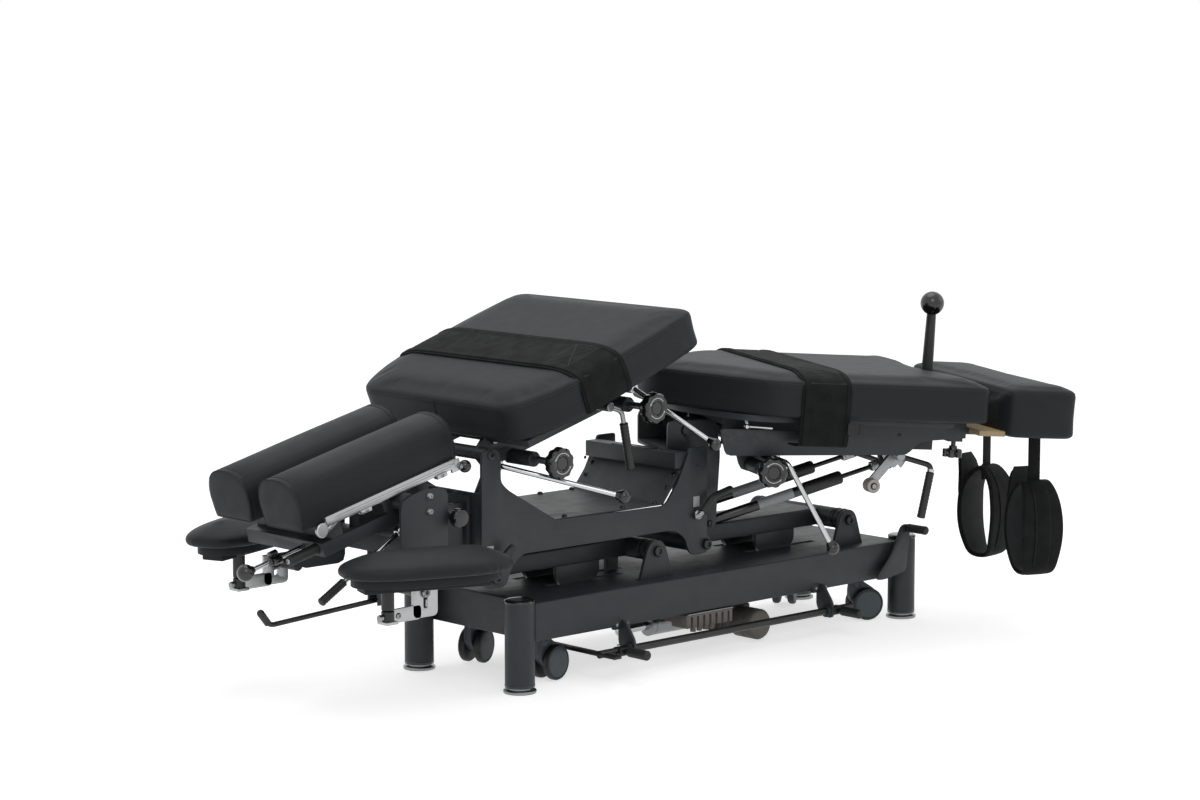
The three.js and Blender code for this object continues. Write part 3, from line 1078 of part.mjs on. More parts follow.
function flexionLever() {
  const knee = point(flexLever.kneeX, flexLever.y, flexLever.kneeZ);
  const tip = point(flexLever.tipX, flexLever.y, flexLever.tipZ);
  const roller = point(flexLever.rollerX, flexLever.rollerY, flexLever.rollerZ);
  const armShape = outline([
    [flexLever.x - flexLever.armWidth / 2, flexLever.z + flexLever.armWidth / 2, flexLever.armWidth / 3],
    [flexLever.rollerX - flexLever.armWidth / 2, flexLever.rollerZ, flexLever.armWidth / 3],
    [flexLever.rollerX, flexLever.rollerZ - flexLever.armWidth / 2, flexLever.armWidth / 3],
    [flexLever.rollerX + flexLever.armWidth / 2, flexLever.rollerZ, flexLever.armWidth / 3],
    [flexLever.x + flexLever.armWidth / 2, flexLever.z - flexLever.armWidth / 2, flexLever.armWidth / 3],
  ]);
  const armY = flexLever.hubY - flexLever.armWidth / 2;
  return part('flexion_lever', 'chrome', [
    crossBar(flexLever.x, flexLever.z, [flexLever.y - flexLever.rodRadius, flexLever.hubY - gap],
      flexLever.gripRadius),
    plateXZ(armShape, around(armY, flexLever.armHalf)),
    bar(point(flexLever.rollerX, armY + overrun, flexLever.rollerZ),
      point(flexLever.rollerX, armY - flexLever.rollerLength, flexLever.rollerZ),
      flexLever.rollerRadius),
    ...bentRod([point(flexLever.x, flexLever.y, flexLever.z), knee, tip], flexLever.rodRadius),
    bar(knee.clone().lerp(tip, flexLever.gripStartShare), tip, flexLever.gripRadius),
  ]);
}

function distractionHandle() {
  const top = point(handle.x, 0, handle.topZ);
  return part('distraction_handle', 'gloss', [
    bar(point(handle.x, 0, section.bottomZ), point(handle.x, 0, handle.bottomZ + overrun * 2),
      handle.plugRadius),
    bar(point(handle.x, 0, handle.bottomZ + gap), top, handle.footRadius, sides, handle.rodRadius),
    ball(top, handle.ballRadius, fineSides),
  ]);
}

const footShape = outline([
  [footRest.x0, -footRest.halfWidth, footRest.round],
  [footRest.x1, -footRest.halfWidth, footRest.round],
  [footRest.x1, footRest.halfWidth, footRest.round],
  [footRest.x0, footRest.halfWidth, footRest.round],
]);
const footMiddle = (footRest.x0 + footRest.x1) / 2;
const footSize = {
  bottomZ: footRest.bottomZ,
  seamZ: footRest.seamZ,
  crown: footRest.crown,
  spine: [footMiddle, -footRest.halfWidth / 2, footMiddle, footRest.halfWidth / 2],
};

function footSlide() {
  const boardTop = footRest.bottomZ - gap;
  const boardX = [footRest.x0 + footRest.boardInset, footRest.x1 - footRest.boardInset];
  const board = block(boardX, around(0, footRest.halfWidth - footRest.boardInset),
    [boardTop - footRest.boardThickness, boardTop]);
  const rails = bothSides(block([footRail.x0, footRail.x1], around(footRail.y, footRail.half),
    [footRail.z0, footRail.z1]));
  const webZ = [boardTop - footRest.boardThickness - cuff.webThickness, boardTop - overrun];
  const hooks = bothSides(block(around(cuff.x, cuff.webWidth / 2 + overrun),
    around(cuff.y, cuff.webThickness * 2), webZ));
  return part('foot_slide', 'slideBeige', [board, ...rails, ...hooks]);
}

function starHandle(name) {
  const bottom = starKnob.z - starKnob.thickness;
  const star = starOutline(starKnob.arms, starKnob.radius, starKnob.armRadius, starKnob.x, starKnob.y);
  return part(name, 'rubber', [
    plateXY(star, [bottom, starKnob.z]),
    upright(starKnob.x, starKnob.y, [starKnob.z - overrun, starKnob.z + starKnob.hubRadius],
      starKnob.hubRadius),
    upright(starKnob.x, starKnob.y, [starKnob.z, starKnob.stemTop], starKnob.stemRadius, coarseSides),
  ]);
}

// One ankle cuff: a padded band closed in a loop, below its webbing
function ankleCuff(name, side, turn) {
  const bottom = -cuff.hang - cuff.height;
  const shoulderZ = -cuff.hang - cuff.height * cuff.shoulderShare;
  const bellyZ = -cuff.hang - cuff.height * cuff.bellyShare;
  const corner = cuff.halfWidth / 2;
  const loop = (inset) => outline([
    [0, -cuff.hang - inset, corner],
    [cuff.halfWidth - inset, shoulderZ - inset / 2, corner],
    [cuff.halfWidth - inset, bellyZ, corner],
    [cuff.halfWidth * cuff.footHalfShare - inset / 2, bottom + inset, corner],
    [-cuff.halfWidth * cuff.footHalfShare + inset / 2, bottom + inset, corner],
    [-cuff.halfWidth + inset, bellyZ, corner],
    [-cuff.halfWidth + inset, shoulderZ - inset / 2, corner],
  ]);
  const flap = outline([
    [0, -cuff.hang - cuff.wall, 0],
    [-cuff.tip, -cuff.hang + cuff.tipRise, cuff.wall / 2],
    [-cuff.tip - cuff.wall, -cuff.hang + cuff.tipRise - cuff.wall, cuff.wall / 2],
    [-cuff.wall, -cuff.hang - cuff.seamDrop, 0],
  ]);
  const band = around(0, cuff.width / 2);
  const slopeRoom = Math.sin(radians(section.decline)) * cuff.webWidth / 2;
  const swingRoom = Math.sin(radians(cuffSwing)) * cuff.webThickness / 2;
  const webTop = -gap - slopeRoom - swingRoom;
  const web = block(around(0, cuff.webWidth / 2), around(0, cuff.webThickness / 2),
    [-cuff.hang - cuff.seamDrop, webTop]);
  const mesh = part(name, 'webbing', [plateYZ(loop(0), band), plateYZ(flap, band), web],
    [plateYZ(loop(cuff.wall), around(0, cuff.width))]);
  const group = new THREE.Group();
  group.position.set(cuff.x, side * cuff.y, cuffTopZ);
  group.rotation.order = 'YZX';
  group.rotation.set(0, -radians(section.decline), radians(turn));
  group.add(mesh);
  return group;
}

const cuffTopZ = footRest.bottomZ - gap - footRest.boardThickness - cuff.webThickness;

const legSpringGroups = pairs.map((side) => {
  const group = new THREE.Group();
  group.position.set(swivel.springX, side * swivel.springY, swivel.springZ);
  group.rotation.y = -radians(legSpring.rise);
  group.add(...gasSpring('leg_spring', { ...legSpring, pinRadius: swivel.pinRadius },
    side < 0 ? 'near' : 'far'));
  return group;
});
swingGroup.add(legSwivel(), ...legSpringGroups);
flexGroup.add(
  legFrame(),
  named('pelvic_cushion', 'upholstery', cushion(pelvicShape, cushionPoints.pelvic, pelvicSize)),
  named('pelvic_strap', 'webbing',
    strapOver(pelvicShape, cushionPoints.pelvic, pelvicSize, pelvicStrap, pelvicStrapTails())),
  tensionKnob('pelvic_knob', legKnob, legKnob.bossOuterY, legKnob.y),
  legCockingLever(),
  flexionLever(),
  distractionHandle(),
  footSlide(),
  named('foot_cushion', 'upholstery', cushion(footShape, cushionPoints.foot, footSize)),
  starHandle('star_knob'),
  ankleCuff('ankle_cuff_near', -1, cuffTurns.near),
  ankleCuff('ankle_cuff_far', 1, cuffTurns.far),
);

// Head section: the carriage slides on the front plate
function headCarriage() {
  const inner = carriage.plateY - carriage.plateThickness / 2;
  const outer = carriage.plateY + carriage.plateThickness / 2;
  const shape = outline([
    [carriage.plateX0, carriage.plateBottomZ, carriage.round],
    [carriage.plateX1, carriage.plateBottomZ, carriage.round],
    [carriage.plateX1, carriage.plateTopZ, carriage.round],
    [(carriage.plateX0 + carriage.plateX1) / 2, carriage.plateTopZ, carriage.round],
    [carriage.plateX0, headPivot.z + carriage.plateStep, carriage.round],
  ]);
  const bracketFace = armBracket.y0 - gap;
  const railGap = block(
    [carriage.backX1 - overrun, carriage.keyX + overrun],
    [frontPlate.railInner - gap, frontPlate.railOuter + gap],
    [carriage.z0 - overrun, carriage.z1 + overrun],
  );
  return part('head_carriage', 'coat', [
    block([carriage.backX0, carriage.backX1], around(0, carriage.halfY), [carriage.z0, carriage.z1]),
    block([carriage.backX1 - overrun, carriage.keyX], around(0, frontPlate.railInner - gap),
      [carriage.z0, carriage.z1]),
    ...bothSides([
      block([carriage.beamX, carriage.backX0 + overrun], [carriage.beamY0, carriage.beamY1],
        [carriage.beamZ0, carriage.beamZ1]),
      plateXZ(shape, [inner, outer]),
      crossBar(carriage.outriggerX, carriage.outriggerZ,
        [inner, bracketFace - carriage.flange + overrun], carriage.outriggerRadius),
      crossBar(carriage.outriggerX, carriage.outriggerZ, [bracketFace - carriage.flange, bracketFace],
        carriage.flangeRadius),
      crossBar(carriage.outriggerX, carriage.outriggerZ,
        [bracketFace - overrun, armBracket.y1 + gap + armBracket.headDepth], armBracket.boltRadius,
        coarseSides),
      crossBar(carriage.outriggerX, carriage.outriggerZ,
        [armBracket.y1 + gap, armBracket.y1 + gap + armBracket.headDepth], armBracket.boltHead,
        coarseSides),
      crossBar(headPivot.x, headPivot.z, [channel.outerY - clevis.pinReach, inner + overrun],
        headPivot.pinRadius),
      block([carriage.crossX0, carriage.crossX0 + pedal.earLength],
        [pedal.hubHalf + gap, pedal.hubHalf + gap + pedal.ear],
        [pedal.z - pedal.hubRadius, carriage.beamZ0 + overrun]),
      crossBar(pedal.pivotX, pedal.z, [pedal.hubHalf - pedal.ear, pedal.hubHalf + gap + overrun],
        pedal.pinRadius, coarseSides),
    ]),
    block([carriage.crossX0, carriage.crossX1], around(0, inner + overrun),
      [carriage.beamZ0, carriage.beamZ0 + carriage.round * 2]),
    crossBar(gripLever.x, gripLever.z, [-inner - overrun, gripLever.y + cocking.hubLength / 2],
      gripLever.rodRadius, coarseSides),
  ], bothSides(railGap));
}

const headGroup = new THREE.Group();
headGroup.position.set(headPivot.x, 0, headPivot.z);
headGroup.rotation.y = -radians(headSlope);
table.add(headGroup);

function headFrame() {
  const sideBars = bothSides(block([channel.x0, channel.x1], [channel.innerY, channel.outerY],
    [channel.z0, channel.z1]));
  const front = block([channel.x0, channel.frontX1], around(0, channel.outerY), [channel.z0, channel.z1]);
  const ears = bothSides(block(around(0, channel.pivotHalf), [channel.innerY, channel.outerY],
    [channel.z1 - overrun, channel.pivotTopZ]));
  const discInner = channel.outerY - overrun;
  const discOuter = carriage.plateY - carriage.plateThickness / 2 - gap;
  const discs = bothSides(crossBar(0, 0, [discInner, discOuter], headPivot.discRadius, fineSides));
  const racks = channel.rackX.map((x) => block(around(x, channel.rackHalf),
    around(0, channel.outerY - overrun), [channel.z1 - overrun * 2, channel.rackTop - gap]));
  const grip = bar(point(headHandle.x0, headHandle.y, headHandle.z),
    point(headHandle.x1, headHandle.y, headHandle.z), headHandle.radius);
  const bores = bothSides(crossBar(0, 0, [channel.innerY - overrun, discOuter + overrun],
    cleared(headPivot.pinRadius)));
  const leverBore = bar(
    point(channel.x0 - overrun, ballLever.y, ballLever.z),
    point(channel.frontX1 - overrun * 2, ballLever.y, ballLever.z),
    cleared(ballLever.rodRadius, coarseSides),
    coarseSides,
  );
  return part('head_frame', 'coat', [front, ...sideBars, ...ears, ...discs, ...racks, grip],
    [...bores, leverBore]);
}

// A head pad: a D section on a narrow foot, with a seam near each domed end
function headPad(name, side) {
  const sectionAt = (inset) => {
    const points = padSectionShares.map(([across, up]) => new THREE.Vector2(across * pad.halfWide,
      up * pad.height));
    return movedIn(points, inset);
  };
  const at = (x, inset) => sectionAt(inset).map((spot) => point(x, spot.x + side * pad.y,
    spot.y + pad.bottomZ));
  const rings = [
    at(pad.x0 - pad.dome / 2, pad.round),
    at(pad.x0, pad.dome),
    at(pad.x0 + pad.dome, 0),
    at(pad.x0 + pad.seam - pad.seamDepth, 0),
    at(pad.x0 + pad.seam, pad.seamDepth),
    at(pad.x0 + pad.seam + pad.seamDepth, 0),
    at(pad.x1 - pad.seam - pad.seamDepth, 0),
    at(pad.x1 - pad.seam, pad.seamDepth),
    at(pad.x1 - pad.seam + pad.seamDepth, 0),
    at(pad.x1 - pad.dome, 0),
    at(pad.x1, pad.dome),
    at(pad.x1 + pad.dome / 2, pad.round),
  ];
  return named(name, 'upholstery', loft(rings));
}

function headRail() {
  const end = outline([
    [rail.x0 + overrun, rail.z0 + overrun, 0],
    [rail.x0 + overrun, rail.z1 - overrun, 0],
    [rail.endX, rail.endZ + rail.waist, rail.waist / 2],
    [rail.endX, rail.endZ - rail.waist, rail.waist / 2],
  ]);
  const middleY = (rail.y0 + rail.y1) / 2;
  const clips = rail.clipX.map((x) => block(around(x, rail.clipHalf), [rail.y0 + overrun, rail.clipY],
    [rail.clipZ, pad.bottomZ - gap]));
  const tip = point(rail.ballX, rail.ballY, rail.ballZ);
  return part('head_rail', 'aluminium', [
    block([rail.x0, rail.x1], [rail.y0, rail.y1], [rail.z0, rail.z1]),
    plateXZ(end, [rail.y0, rail.y1]),
    crossBar(rail.endX, rail.endZ, [rail.y0, rail.y1], rail.endRadius),
    ...clips,
    bar(point(rail.x1 - overrun * 2, middleY, rail.z0 + rail.stemRadius), tip, rail.stemRadius, coarseSides),
    ball(tip, rail.ballRadius),
  ]);
}

function headBallLever() {
  const line = (x0, x1, radius, count) => bar(point(x0, ballLever.y, ballLever.z),
    point(x1, ballLever.y, ballLever.z), radius, count);
  const starFront = ballLever.starX - ballLever.starLength / 2;
  const starBack = ballLever.starX + ballLever.starLength / 2;
  const star = starOutline(ballLever.arms, ballLever.starRadius, ballLever.armRadius, ballLever.y,
    ballLever.z);
  return part('head_ball_lever', 'gloss', [
    line(ballLever.ballX, channel.frontX1 - overrun * 3, ballLever.rodRadius, coarseSides),
    plateYZ(star, [starFront, starBack]),
    ball(point(ballLever.ballX, ballLever.y, ballLever.z), ballLever.ballRadius),
  ]);
}

headGroup.add(headFrame(), headPad('head_pad_near', -1), headPad('head_pad_far', 1), headRail(),
  headBallLever());

function headGripLever() {
  const y = gripLever.y;
  const knee = point(gripLever.kneeX, y, gripLever.kneeZ);
  const tip = point(gripLever.tipX, y, gripLever.tipZ);
  const eyeZ = gripLever.z;
  return part('head_grip_lever', 'rubber', [
    crossBar(gripLever.x, eyeZ, around(y, cocking.hubLength / 2), cocking.hubRadius),
    bar(point(gripLever.x, y, eyeZ), tip, gripLever.rodRadius, coarseSides),
    bar(knee, tip, gripLever.gripRadius),
  ], [crossBar(gripLever.x, eyeZ, around(y, cocking.hubLength),
    cleared(gripLever.rodRadius, coarseSides), coarseSides)]);
}

function headPedal() {
  const start = point(pedal.pivotX, 0, pedal.z);
  return part('head_pedal', 'rubber', [
    crossBar(pedal.pivotX, pedal.z, around(0, pedal.hubHalf), pedal.hubRadius),
    ...bentRod([start, point(pedal.cornerX, 0, pedal.cornerZ), point(pedal.tipX, 0, pedal.tipZ)],
      pedal.rodRadius),
  ], bothSides(crossBar(pedal.pivotX, pedal.z,
    [pedal.hubHalf - pedal.ear - gap, pedal.hubHalf + overrun], cleared(pedal.pinRadius, coarseSides),
    coarseSides)));
}

// One arm rest: the bracket slides on the outrigger, the rest swivels on the bracket's pin
function armPost(name, side) {
  const slotted = outline([
    [armBracket.x0, armBracket.z0, armBracket.footEnd],
    [armBracket.x1, armBracket.z0, armBracket.footEnd],
    [armBracket.x1, armBracket.z1, 0],
    [armBracket.x0, armBracket.z1, 0],
  ]);
  const foot = [
    block([armBracket.footX, armBracket.x0 + armBracket.footEnd], [armBracket.y0, armBracket.y1],
      [armBracket.footZ0, armBracket.footZ1]),
    block(around(armBracket.footX, armBracket.footHalf),
      [armBracket.y0 - armBracket.footEnd, armBracket.y1 + armBracket.footEnd],
      [armBracket.footZ0, armBracket.footZ1]),
  ];
  const pieces = [
    plateXZ(slotted, [armBracket.y0, armBracket.y1]),
    ...foot,
    upright(armBracket.footX, armBracket.postY, [armBracket.footZ0 + overrun, armBracket.pinTop],
      armBracket.pinRadius, coarseSides),
  ];
  const slotCut = block(
    around((armBracket.x0 + armBracket.x1) / 2, armBracket.slotHalf),
    [armBracket.y0 - overrun, armBracket.y1 + overrun],
    [armBracket.slotZ0, armBracket.slotZ1],
  );
  const place = (piece) => (side > 0 ? piece : otherSide(piece));
  return part(name, 'aluminium', pieces.map(place), [place(slotCut)]);
}

function armRestMesh(name, side) {
  const shape = outline([
    [armRest.backX, -armRest.tipHalf, armRest.round],
    [armRest.backX + armRest.halfWidth, -armRest.halfWidth, armRest.round],
    [armRest.frontX - armRest.halfWidth, -armRest.halfWidth, armRest.round],
    [armRest.frontX, -armRest.tipHalf, armRest.round],
    [armRest.frontX, armRest.tipHalf, armRest.round],
    [armRest.frontX - armRest.halfWidth, armRest.halfWidth, armRest.round],
    [armRest.backX + armRest.halfWidth, armRest.halfWidth, armRest.round],
    [armRest.backX, armRest.tipHalf, armRest.round],
  ]);
  const points = evenPoints(shape, cushionPoints.armRest);
  const lower = armRest.padBottom;
  const level = (inset, z) => movedIn(points, inset).map((spot) => point(spot.x, spot.y, z));
  const spineX0 = armRest.backX + armRest.halfWidth;
  const spineX1 = armRest.frontX - armRest.halfWidth;
  const crownRing = (share) => points.map((spot) => {
    const coreX = THREE.MathUtils.clamp(spot.x, spineX0, spineX1);
    const rise = Math.sin(Math.acos(1 - share)) * armRest.crown;
    return point(spot.x + (coreX - spot.x) * share, spot.y * (1 - share), armRest.edgeZ + rise);
  });
  const padRings = [level(armRest.boardInset / 3, lower), level(0, armRest.edgeZ - edge.seamBelow),
    level(0, armRest.edgeZ), ...armCrownShares.map(crownRing)];
  const boardRings = [level(armRest.boardInset, armRest.boardZ), level(armRest.boardInset, lower + overrun)];
  const turned = (geometry) => geometry.translate(0, side * -armRest.offsetY,
    0).rotateZ(side * radians(armRest.turn)).translate(armBracket.footX, side * armBracket.postY, 0);
  const sleeve = upright(armBracket.footX, side * armBracket.postY,
    [armRest.sleeveBottom, armRest.boardZ + overrun], armRest.sleeveRadius);
  const bore = upright(armBracket.footX, side * armBracket.postY,
    [armRest.sleeveBottom - overrun, armBracket.pinTop + overrun],
    cleared(armBracket.pinRadius, coarseSides), coarseSides);
  return part(name, 'upholstery', [turned(loft(padRings)), turned(loft(boardRings)), sleeve], [bore]);
}

table.add(
  headCarriage(),
  headGripLever(),
  headPedal(),
  armPost('arm_post_near', -1),
  armPost('arm_post_far', 1),
  armRestMesh('arm_rest_near', -1),
  armRestMesh('arm_rest_far', 1),
);

export default whole;
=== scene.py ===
import json
import math

import bpy
from mathutils import Matrix, Vector
from mathutils.bvhtree import BVHTree


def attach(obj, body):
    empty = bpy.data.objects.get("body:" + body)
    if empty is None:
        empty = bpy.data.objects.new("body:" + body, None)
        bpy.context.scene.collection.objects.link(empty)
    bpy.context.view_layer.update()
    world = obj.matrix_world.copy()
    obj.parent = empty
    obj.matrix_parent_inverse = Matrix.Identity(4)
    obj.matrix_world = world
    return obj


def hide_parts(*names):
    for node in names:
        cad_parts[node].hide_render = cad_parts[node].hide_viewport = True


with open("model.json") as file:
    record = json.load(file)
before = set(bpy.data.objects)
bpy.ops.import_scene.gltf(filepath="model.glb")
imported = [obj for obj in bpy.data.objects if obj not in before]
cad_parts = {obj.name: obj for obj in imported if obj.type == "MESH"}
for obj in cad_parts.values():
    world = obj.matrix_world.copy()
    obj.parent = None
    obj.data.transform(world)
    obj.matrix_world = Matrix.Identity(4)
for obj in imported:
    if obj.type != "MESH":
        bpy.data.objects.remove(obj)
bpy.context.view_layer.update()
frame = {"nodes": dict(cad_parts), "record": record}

bl_info = {
    "name": "Chiropractic Table",
    "version": (1, 0, 0),
    "blender": (4, 5, 0),
    "location": "View3D > Sidebar > Table",
    "description": "Dresses the packed model of a chiropractic table",
    "category": "Object",
}

# Lengths of the forms below are in millimetres, and each form is made in metres
MM = 0.001
JOINTS = {joint["name"]: joint for joint in frame["record"]["behaviour"]["joints"]}


# Frames that the sections are modelled in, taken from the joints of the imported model
def joint_place(name):
    return Vector(JOINTS[name]["pos_m"])


def joint_axis(name):
    return Vector(JOINTS[name]["axis"]).normalized()


def section_frame(origin, across, up):
    """A matrix whose Y runs across, Z up and X along, at that origin."""
    turn = Matrix((across.cross(up), across, up)).transposed().to_4x4()
    return Matrix.Translation(origin) @ turn


ACROSS = Vector((0, 1, 0))
UP = Vector((0, 0, 1))
FLOOR_PLACE = Vector((joint_place("leg_swing").x, joint_place("leg_swing").y, 0))
BASE = Matrix.Translation(FLOOR_PLACE)
THORACIC = section_frame(joint_place("thoracic_tilt"), ACROSS, joint_axis("thoracic_drop"))
HEAD = section_frame(joint_place("head_tilt"), ACROSS, joint_axis("head_ball_turn").cross(ACROSS))
SWING = section_frame(FLOOR_PLACE, joint_axis("leg_flex"), UP)
FLEX = section_frame(joint_place("leg_flex"), joint_axis("leg_flex"), joint_axis("pelvic_drop"))
SIDES = {-1: "near", 1: "far"}

# Counts of sides and steps on round forms
ROUND = 48
SMALL_ROUND = 20
BALL_RINGS = 24
CORNER_STEPS = 7
BEND_STEPS = 10
SMOOTH_ANGLE = math.radians(35)
BEVEL_ANGLE = math.radians(40)
MERGE = 0.00001


def at(along=0, across=0, up=0):
    return Matrix.Translation(Vector((along, across, up)) * MM)


def about_axis(degrees, axis):
    return Matrix.Rotation(math.radians(degrees), 4, axis)


# Selecting
def deselect():
    if bpy.context.mode != "OBJECT":
        bpy.ops.object.mode_set(mode="OBJECT")
    bpy.ops.object.select_all(action="DESELECT")


def only(obj):
    deselect()
    obj.select_set(True)
    bpy.context.view_layer.objects.active = obj
    return obj


def edit(obj):
    only(obj)
    bpy.ops.object.mode_set(mode="EDIT")
    bpy.ops.mesh.select_all(action="SELECT")


def flat_list(parts):
    if isinstance(parts, (list, tuple)):
        return [one for part in parts for one in flat_list(part)]
    return [parts]


# Finishing
def apply_modifier(obj, kind, **values):
    """Adds a modifier with those values and applies it."""
    only(obj)
    modifier = obj.modifiers.new(kind.title(), kind)
    for name, value in values.items():
        setattr(modifier, name, value)
    bpy.ops.object.modifier_apply(modifier=modifier.name)
    return obj


def outwards(obj):
    """Merges doubles and turns every face outwards."""
    edit(obj)
    bpy.ops.mesh.remove_doubles(threshold=MERGE)
    bpy.ops.mesh.normals_make_consistent(inside=False)
    bpy.ops.object.mode_set(mode="OBJECT")
    return obj


def settled(obj, matrix=Matrix()):
    """The form moved by a matrix, with its place kept in its mesh."""
    only(obj)
    obj.matrix_world = matrix @ obj.matrix_world
    bpy.ops.object.transform_apply(location=True, rotation=True, scale=True)
    return obj


def joined(parts):
    parts = flat_list(parts)
    deselect()
    for part in parts:
        part.select_set(True)
    bpy.context.view_layer.objects.active = parts[0]
    if len(parts) > 1:
        bpy.ops.object.join()
    return bpy.context.view_layer.objects.active


def rounded_edges(parts, width, segments=2):
    """Rounds the sharp edges of forms that aren't joined yet."""
    for part in flat_list(parts):
        apply_modifier(
            part, "BEVEL", width=width * MM, segments=segments, limit_method="ANGLE", angle_limit=BEVEL_ANGLE
        )
    return parts


def piece(name, parts, body, finish, where=BASE, replaces=()):
    """Joins forms into one named piece in that frame, with its finish."""
    obj = settled(joined(parts), where)
    only(obj)
    bpy.ops.object.shade_smooth_by_angle(angle=SMOOTH_ANGLE)
    obj.name = name
    obj.data.name = name
    obj.data.materials.clear()
    obj.data.materials.append(FINISHES[finish]())
    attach(obj, body)
    if replaces:
        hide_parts(*replaces)
    return obj


# Forms
def new_mesh(points, faces):
    mesh = bpy.data.meshes.new("form")
    mesh.from_pydata([Vector(spot) * MM for spot in points], [], faces)
    mesh.update()
    obj = bpy.data.objects.new("form", mesh)
    bpy.context.scene.collection.objects.link(obj)
    return obj


def block(along, across, up):
    """A box between the limits along, across and up."""
    limits = (along, across, up)
    deselect()
    bpy.ops.mesh.primitive_cube_add(size=1, location=[(low + high) / 2 * MM for low, high in limits])
    box = bpy.context.active_object
    box.scale = [(high - low) * MM for low, high in limits]
    return settled(box)


def about(centre, half):
    return (centre - half, centre + half)


def rod(start, end, radius, end_radius=None, sides=ROUND):
    """A round bar between two points, which may taper."""
    start, end = Vector(start) * MM, Vector(end) * MM
    along = end - start
    deselect()
    bpy.ops.mesh.primitive_cone_add(
        vertices=sides,
        radius1=radius * MM,
        radius2=(radius if end_radius is None else end_radius) * MM,
        depth=along.length,
        location=(start + end) / 2,
        rotation=along.to_track_quat("Z", "Y").to_euler(),
    )
    return settled(bpy.context.active_object)


def cross_rod(along, up, across, radius, sides=ROUND):
    return rod((along, across[0], up), (along, across[1], up), radius, sides=sides)


def post(along, across, up, radius, sides=ROUND):
    return rod((along, across, up[0]), (along, across, up[1]), radius, sides=sides)


def ball(centre, radius):
    deselect()
    bpy.ops.mesh.primitive_uv_sphere_add(
        segments=ROUND, ring_count=BALL_RINGS, radius=radius * MM, location=Vector(centre) * MM
    )
    return settled(bpy.context.active_object)


def turned(profile, start, end, sides=ROUND):
    """A form turned about the line from start to end; its profile is (length along it, radius)."""
    start, end = Vector(start), Vector(end)
    line = new_mesh([Vector((radius, 0, along)) for along, radius in profile], [])
    line.data.edges.add(len(profile) - 1)
    for index, made in enumerate(line.data.edges):
        made.vertices = (index, index + 1)
    edit(line)
    bpy.ops.mesh.spin(
        steps=sides, angle=2 * math.pi, center=(0, 0, 0), axis=(0, 0, 1), use_auto_merge=False, dupli=False
    )
    outwards(line)
    turn = (end - start).to_track_quat("Z", "Y").to_matrix().to_4x4()
    return settled(line, Matrix.Translation(start * MM) @ turn)


def lofted(rings):
    """A skin through rings of points, with a face on each end."""
    count = len(rings[0])
    points = [spot for ring in rings for spot in ring]
    faces = []
    for row in range(len(rings) - 1):
        for column in range(count):
            after = (column + 1) % count
            faces.append([
                row * count + column, row * count + after, (row + 1) * count + after, (row + 1) * count + column
            ])
    faces.append(list(range(count))[::-1])
    faces.append([(len(rings) - 1) * count + column for column in range(count)])
    return outwards(new_mesh(points, faces))


def rounded(corners, steps=CORNER_STEPS):
    """Points of an outline whose corners are (across, up, cut), each cut back and rounded."""
    points = []
    count = len(corners)
    for index, (across, up, cut) in enumerate(corners):
        corner = Vector((across, up))
        if cut <= 0:
            points.append(corner)
            continue
        before = Vector(corners[index - 1][:2])
        after = Vector(corners[(index + 1) % count][:2])
        start = corner.lerp(before, min(cut / (before - corner).length, 0.49))
        end = corner.lerp(after, min(cut / (after - corner).length, 0.49))
        for step in range(steps + 1):
            share = step / steps
            points.append(start.lerp(corner, share).lerp(corner.lerp(end, share), share))
    return points


def evenly(points, spacing):
    """The same closed outline with its points an even length apart, turning left."""
    area = sum(a.x * b.y - b.x * a.y for a, b in zip(points, points[1:] + points[:1]))
    if area < 0:
        points = points[::-1]
    closed = points + [points[0]]
    lengths = [0]
    for a, b in zip(closed, closed[1:]):
        lengths.append(lengths[-1] + (b - a).length)
    count = max(int(lengths[-1] / spacing), 8)
    even = []
    row = 0
    for step in range(count):
        target = lengths[-1] * step / count
        while lengths[row + 1] < target:
            row += 1
        share = (target - lengths[row]) / max(lengths[row + 1] - lengths[row], 1e-9)
        even.append(closed[row].lerp(closed[row + 1], share))
    return even


INSET_STEP = 3


def moved_in(points, inset):
    """A closed outline that turns left, moved inwards in small eased steps, so that it never crosses itself."""
    moved = list(points)
    count = len(points)
    steps = max(1, math.ceil(abs(inset) / INSET_STEP))
    for _ in range(steps):
        stepped = []
        for index, spot in enumerate(moved):
            along = (moved[(index + 1) % count] - moved[index - 1]).normalized()
            stepped.append(Vector((spot.x - along.y * inset / steps, spot.y + along.x * inset / steps)))
        moved = stepped
        if steps > 1:
            for _ in range(3):
                moved = [
                    (moved[index - 1] + 2 * moved[index] + moved[(index + 1) % count]) / 4 for index in range(count)
                ]
    return moved


PLANES = {
    "XZ": lambda first, second, depth: (first, depth, second),
    "XY": lambda first, second, depth: (first, second, depth),
    "YZ": lambda first, second, depth: (depth, first, second),
}


def plate(corners, plane, limits, steps=CORNER_STEPS):
    """A flat plate cut to an outline in that plane and extruded between two limits."""
    place = PLANES[plane]
    points = rounded(corners, steps)
    sheet = new_mesh([place(spot.x, spot.y, limits[0]) for spot in points], [list(range(len(points)))])
    edit(sheet)
    move = {"value": Vector(place(0, 0, limits[1] - limits[0])) * MM}
    bpy.ops.mesh.extrude_region_move(TRANSFORM_OT_translate=move)
    return outwards(sheet)


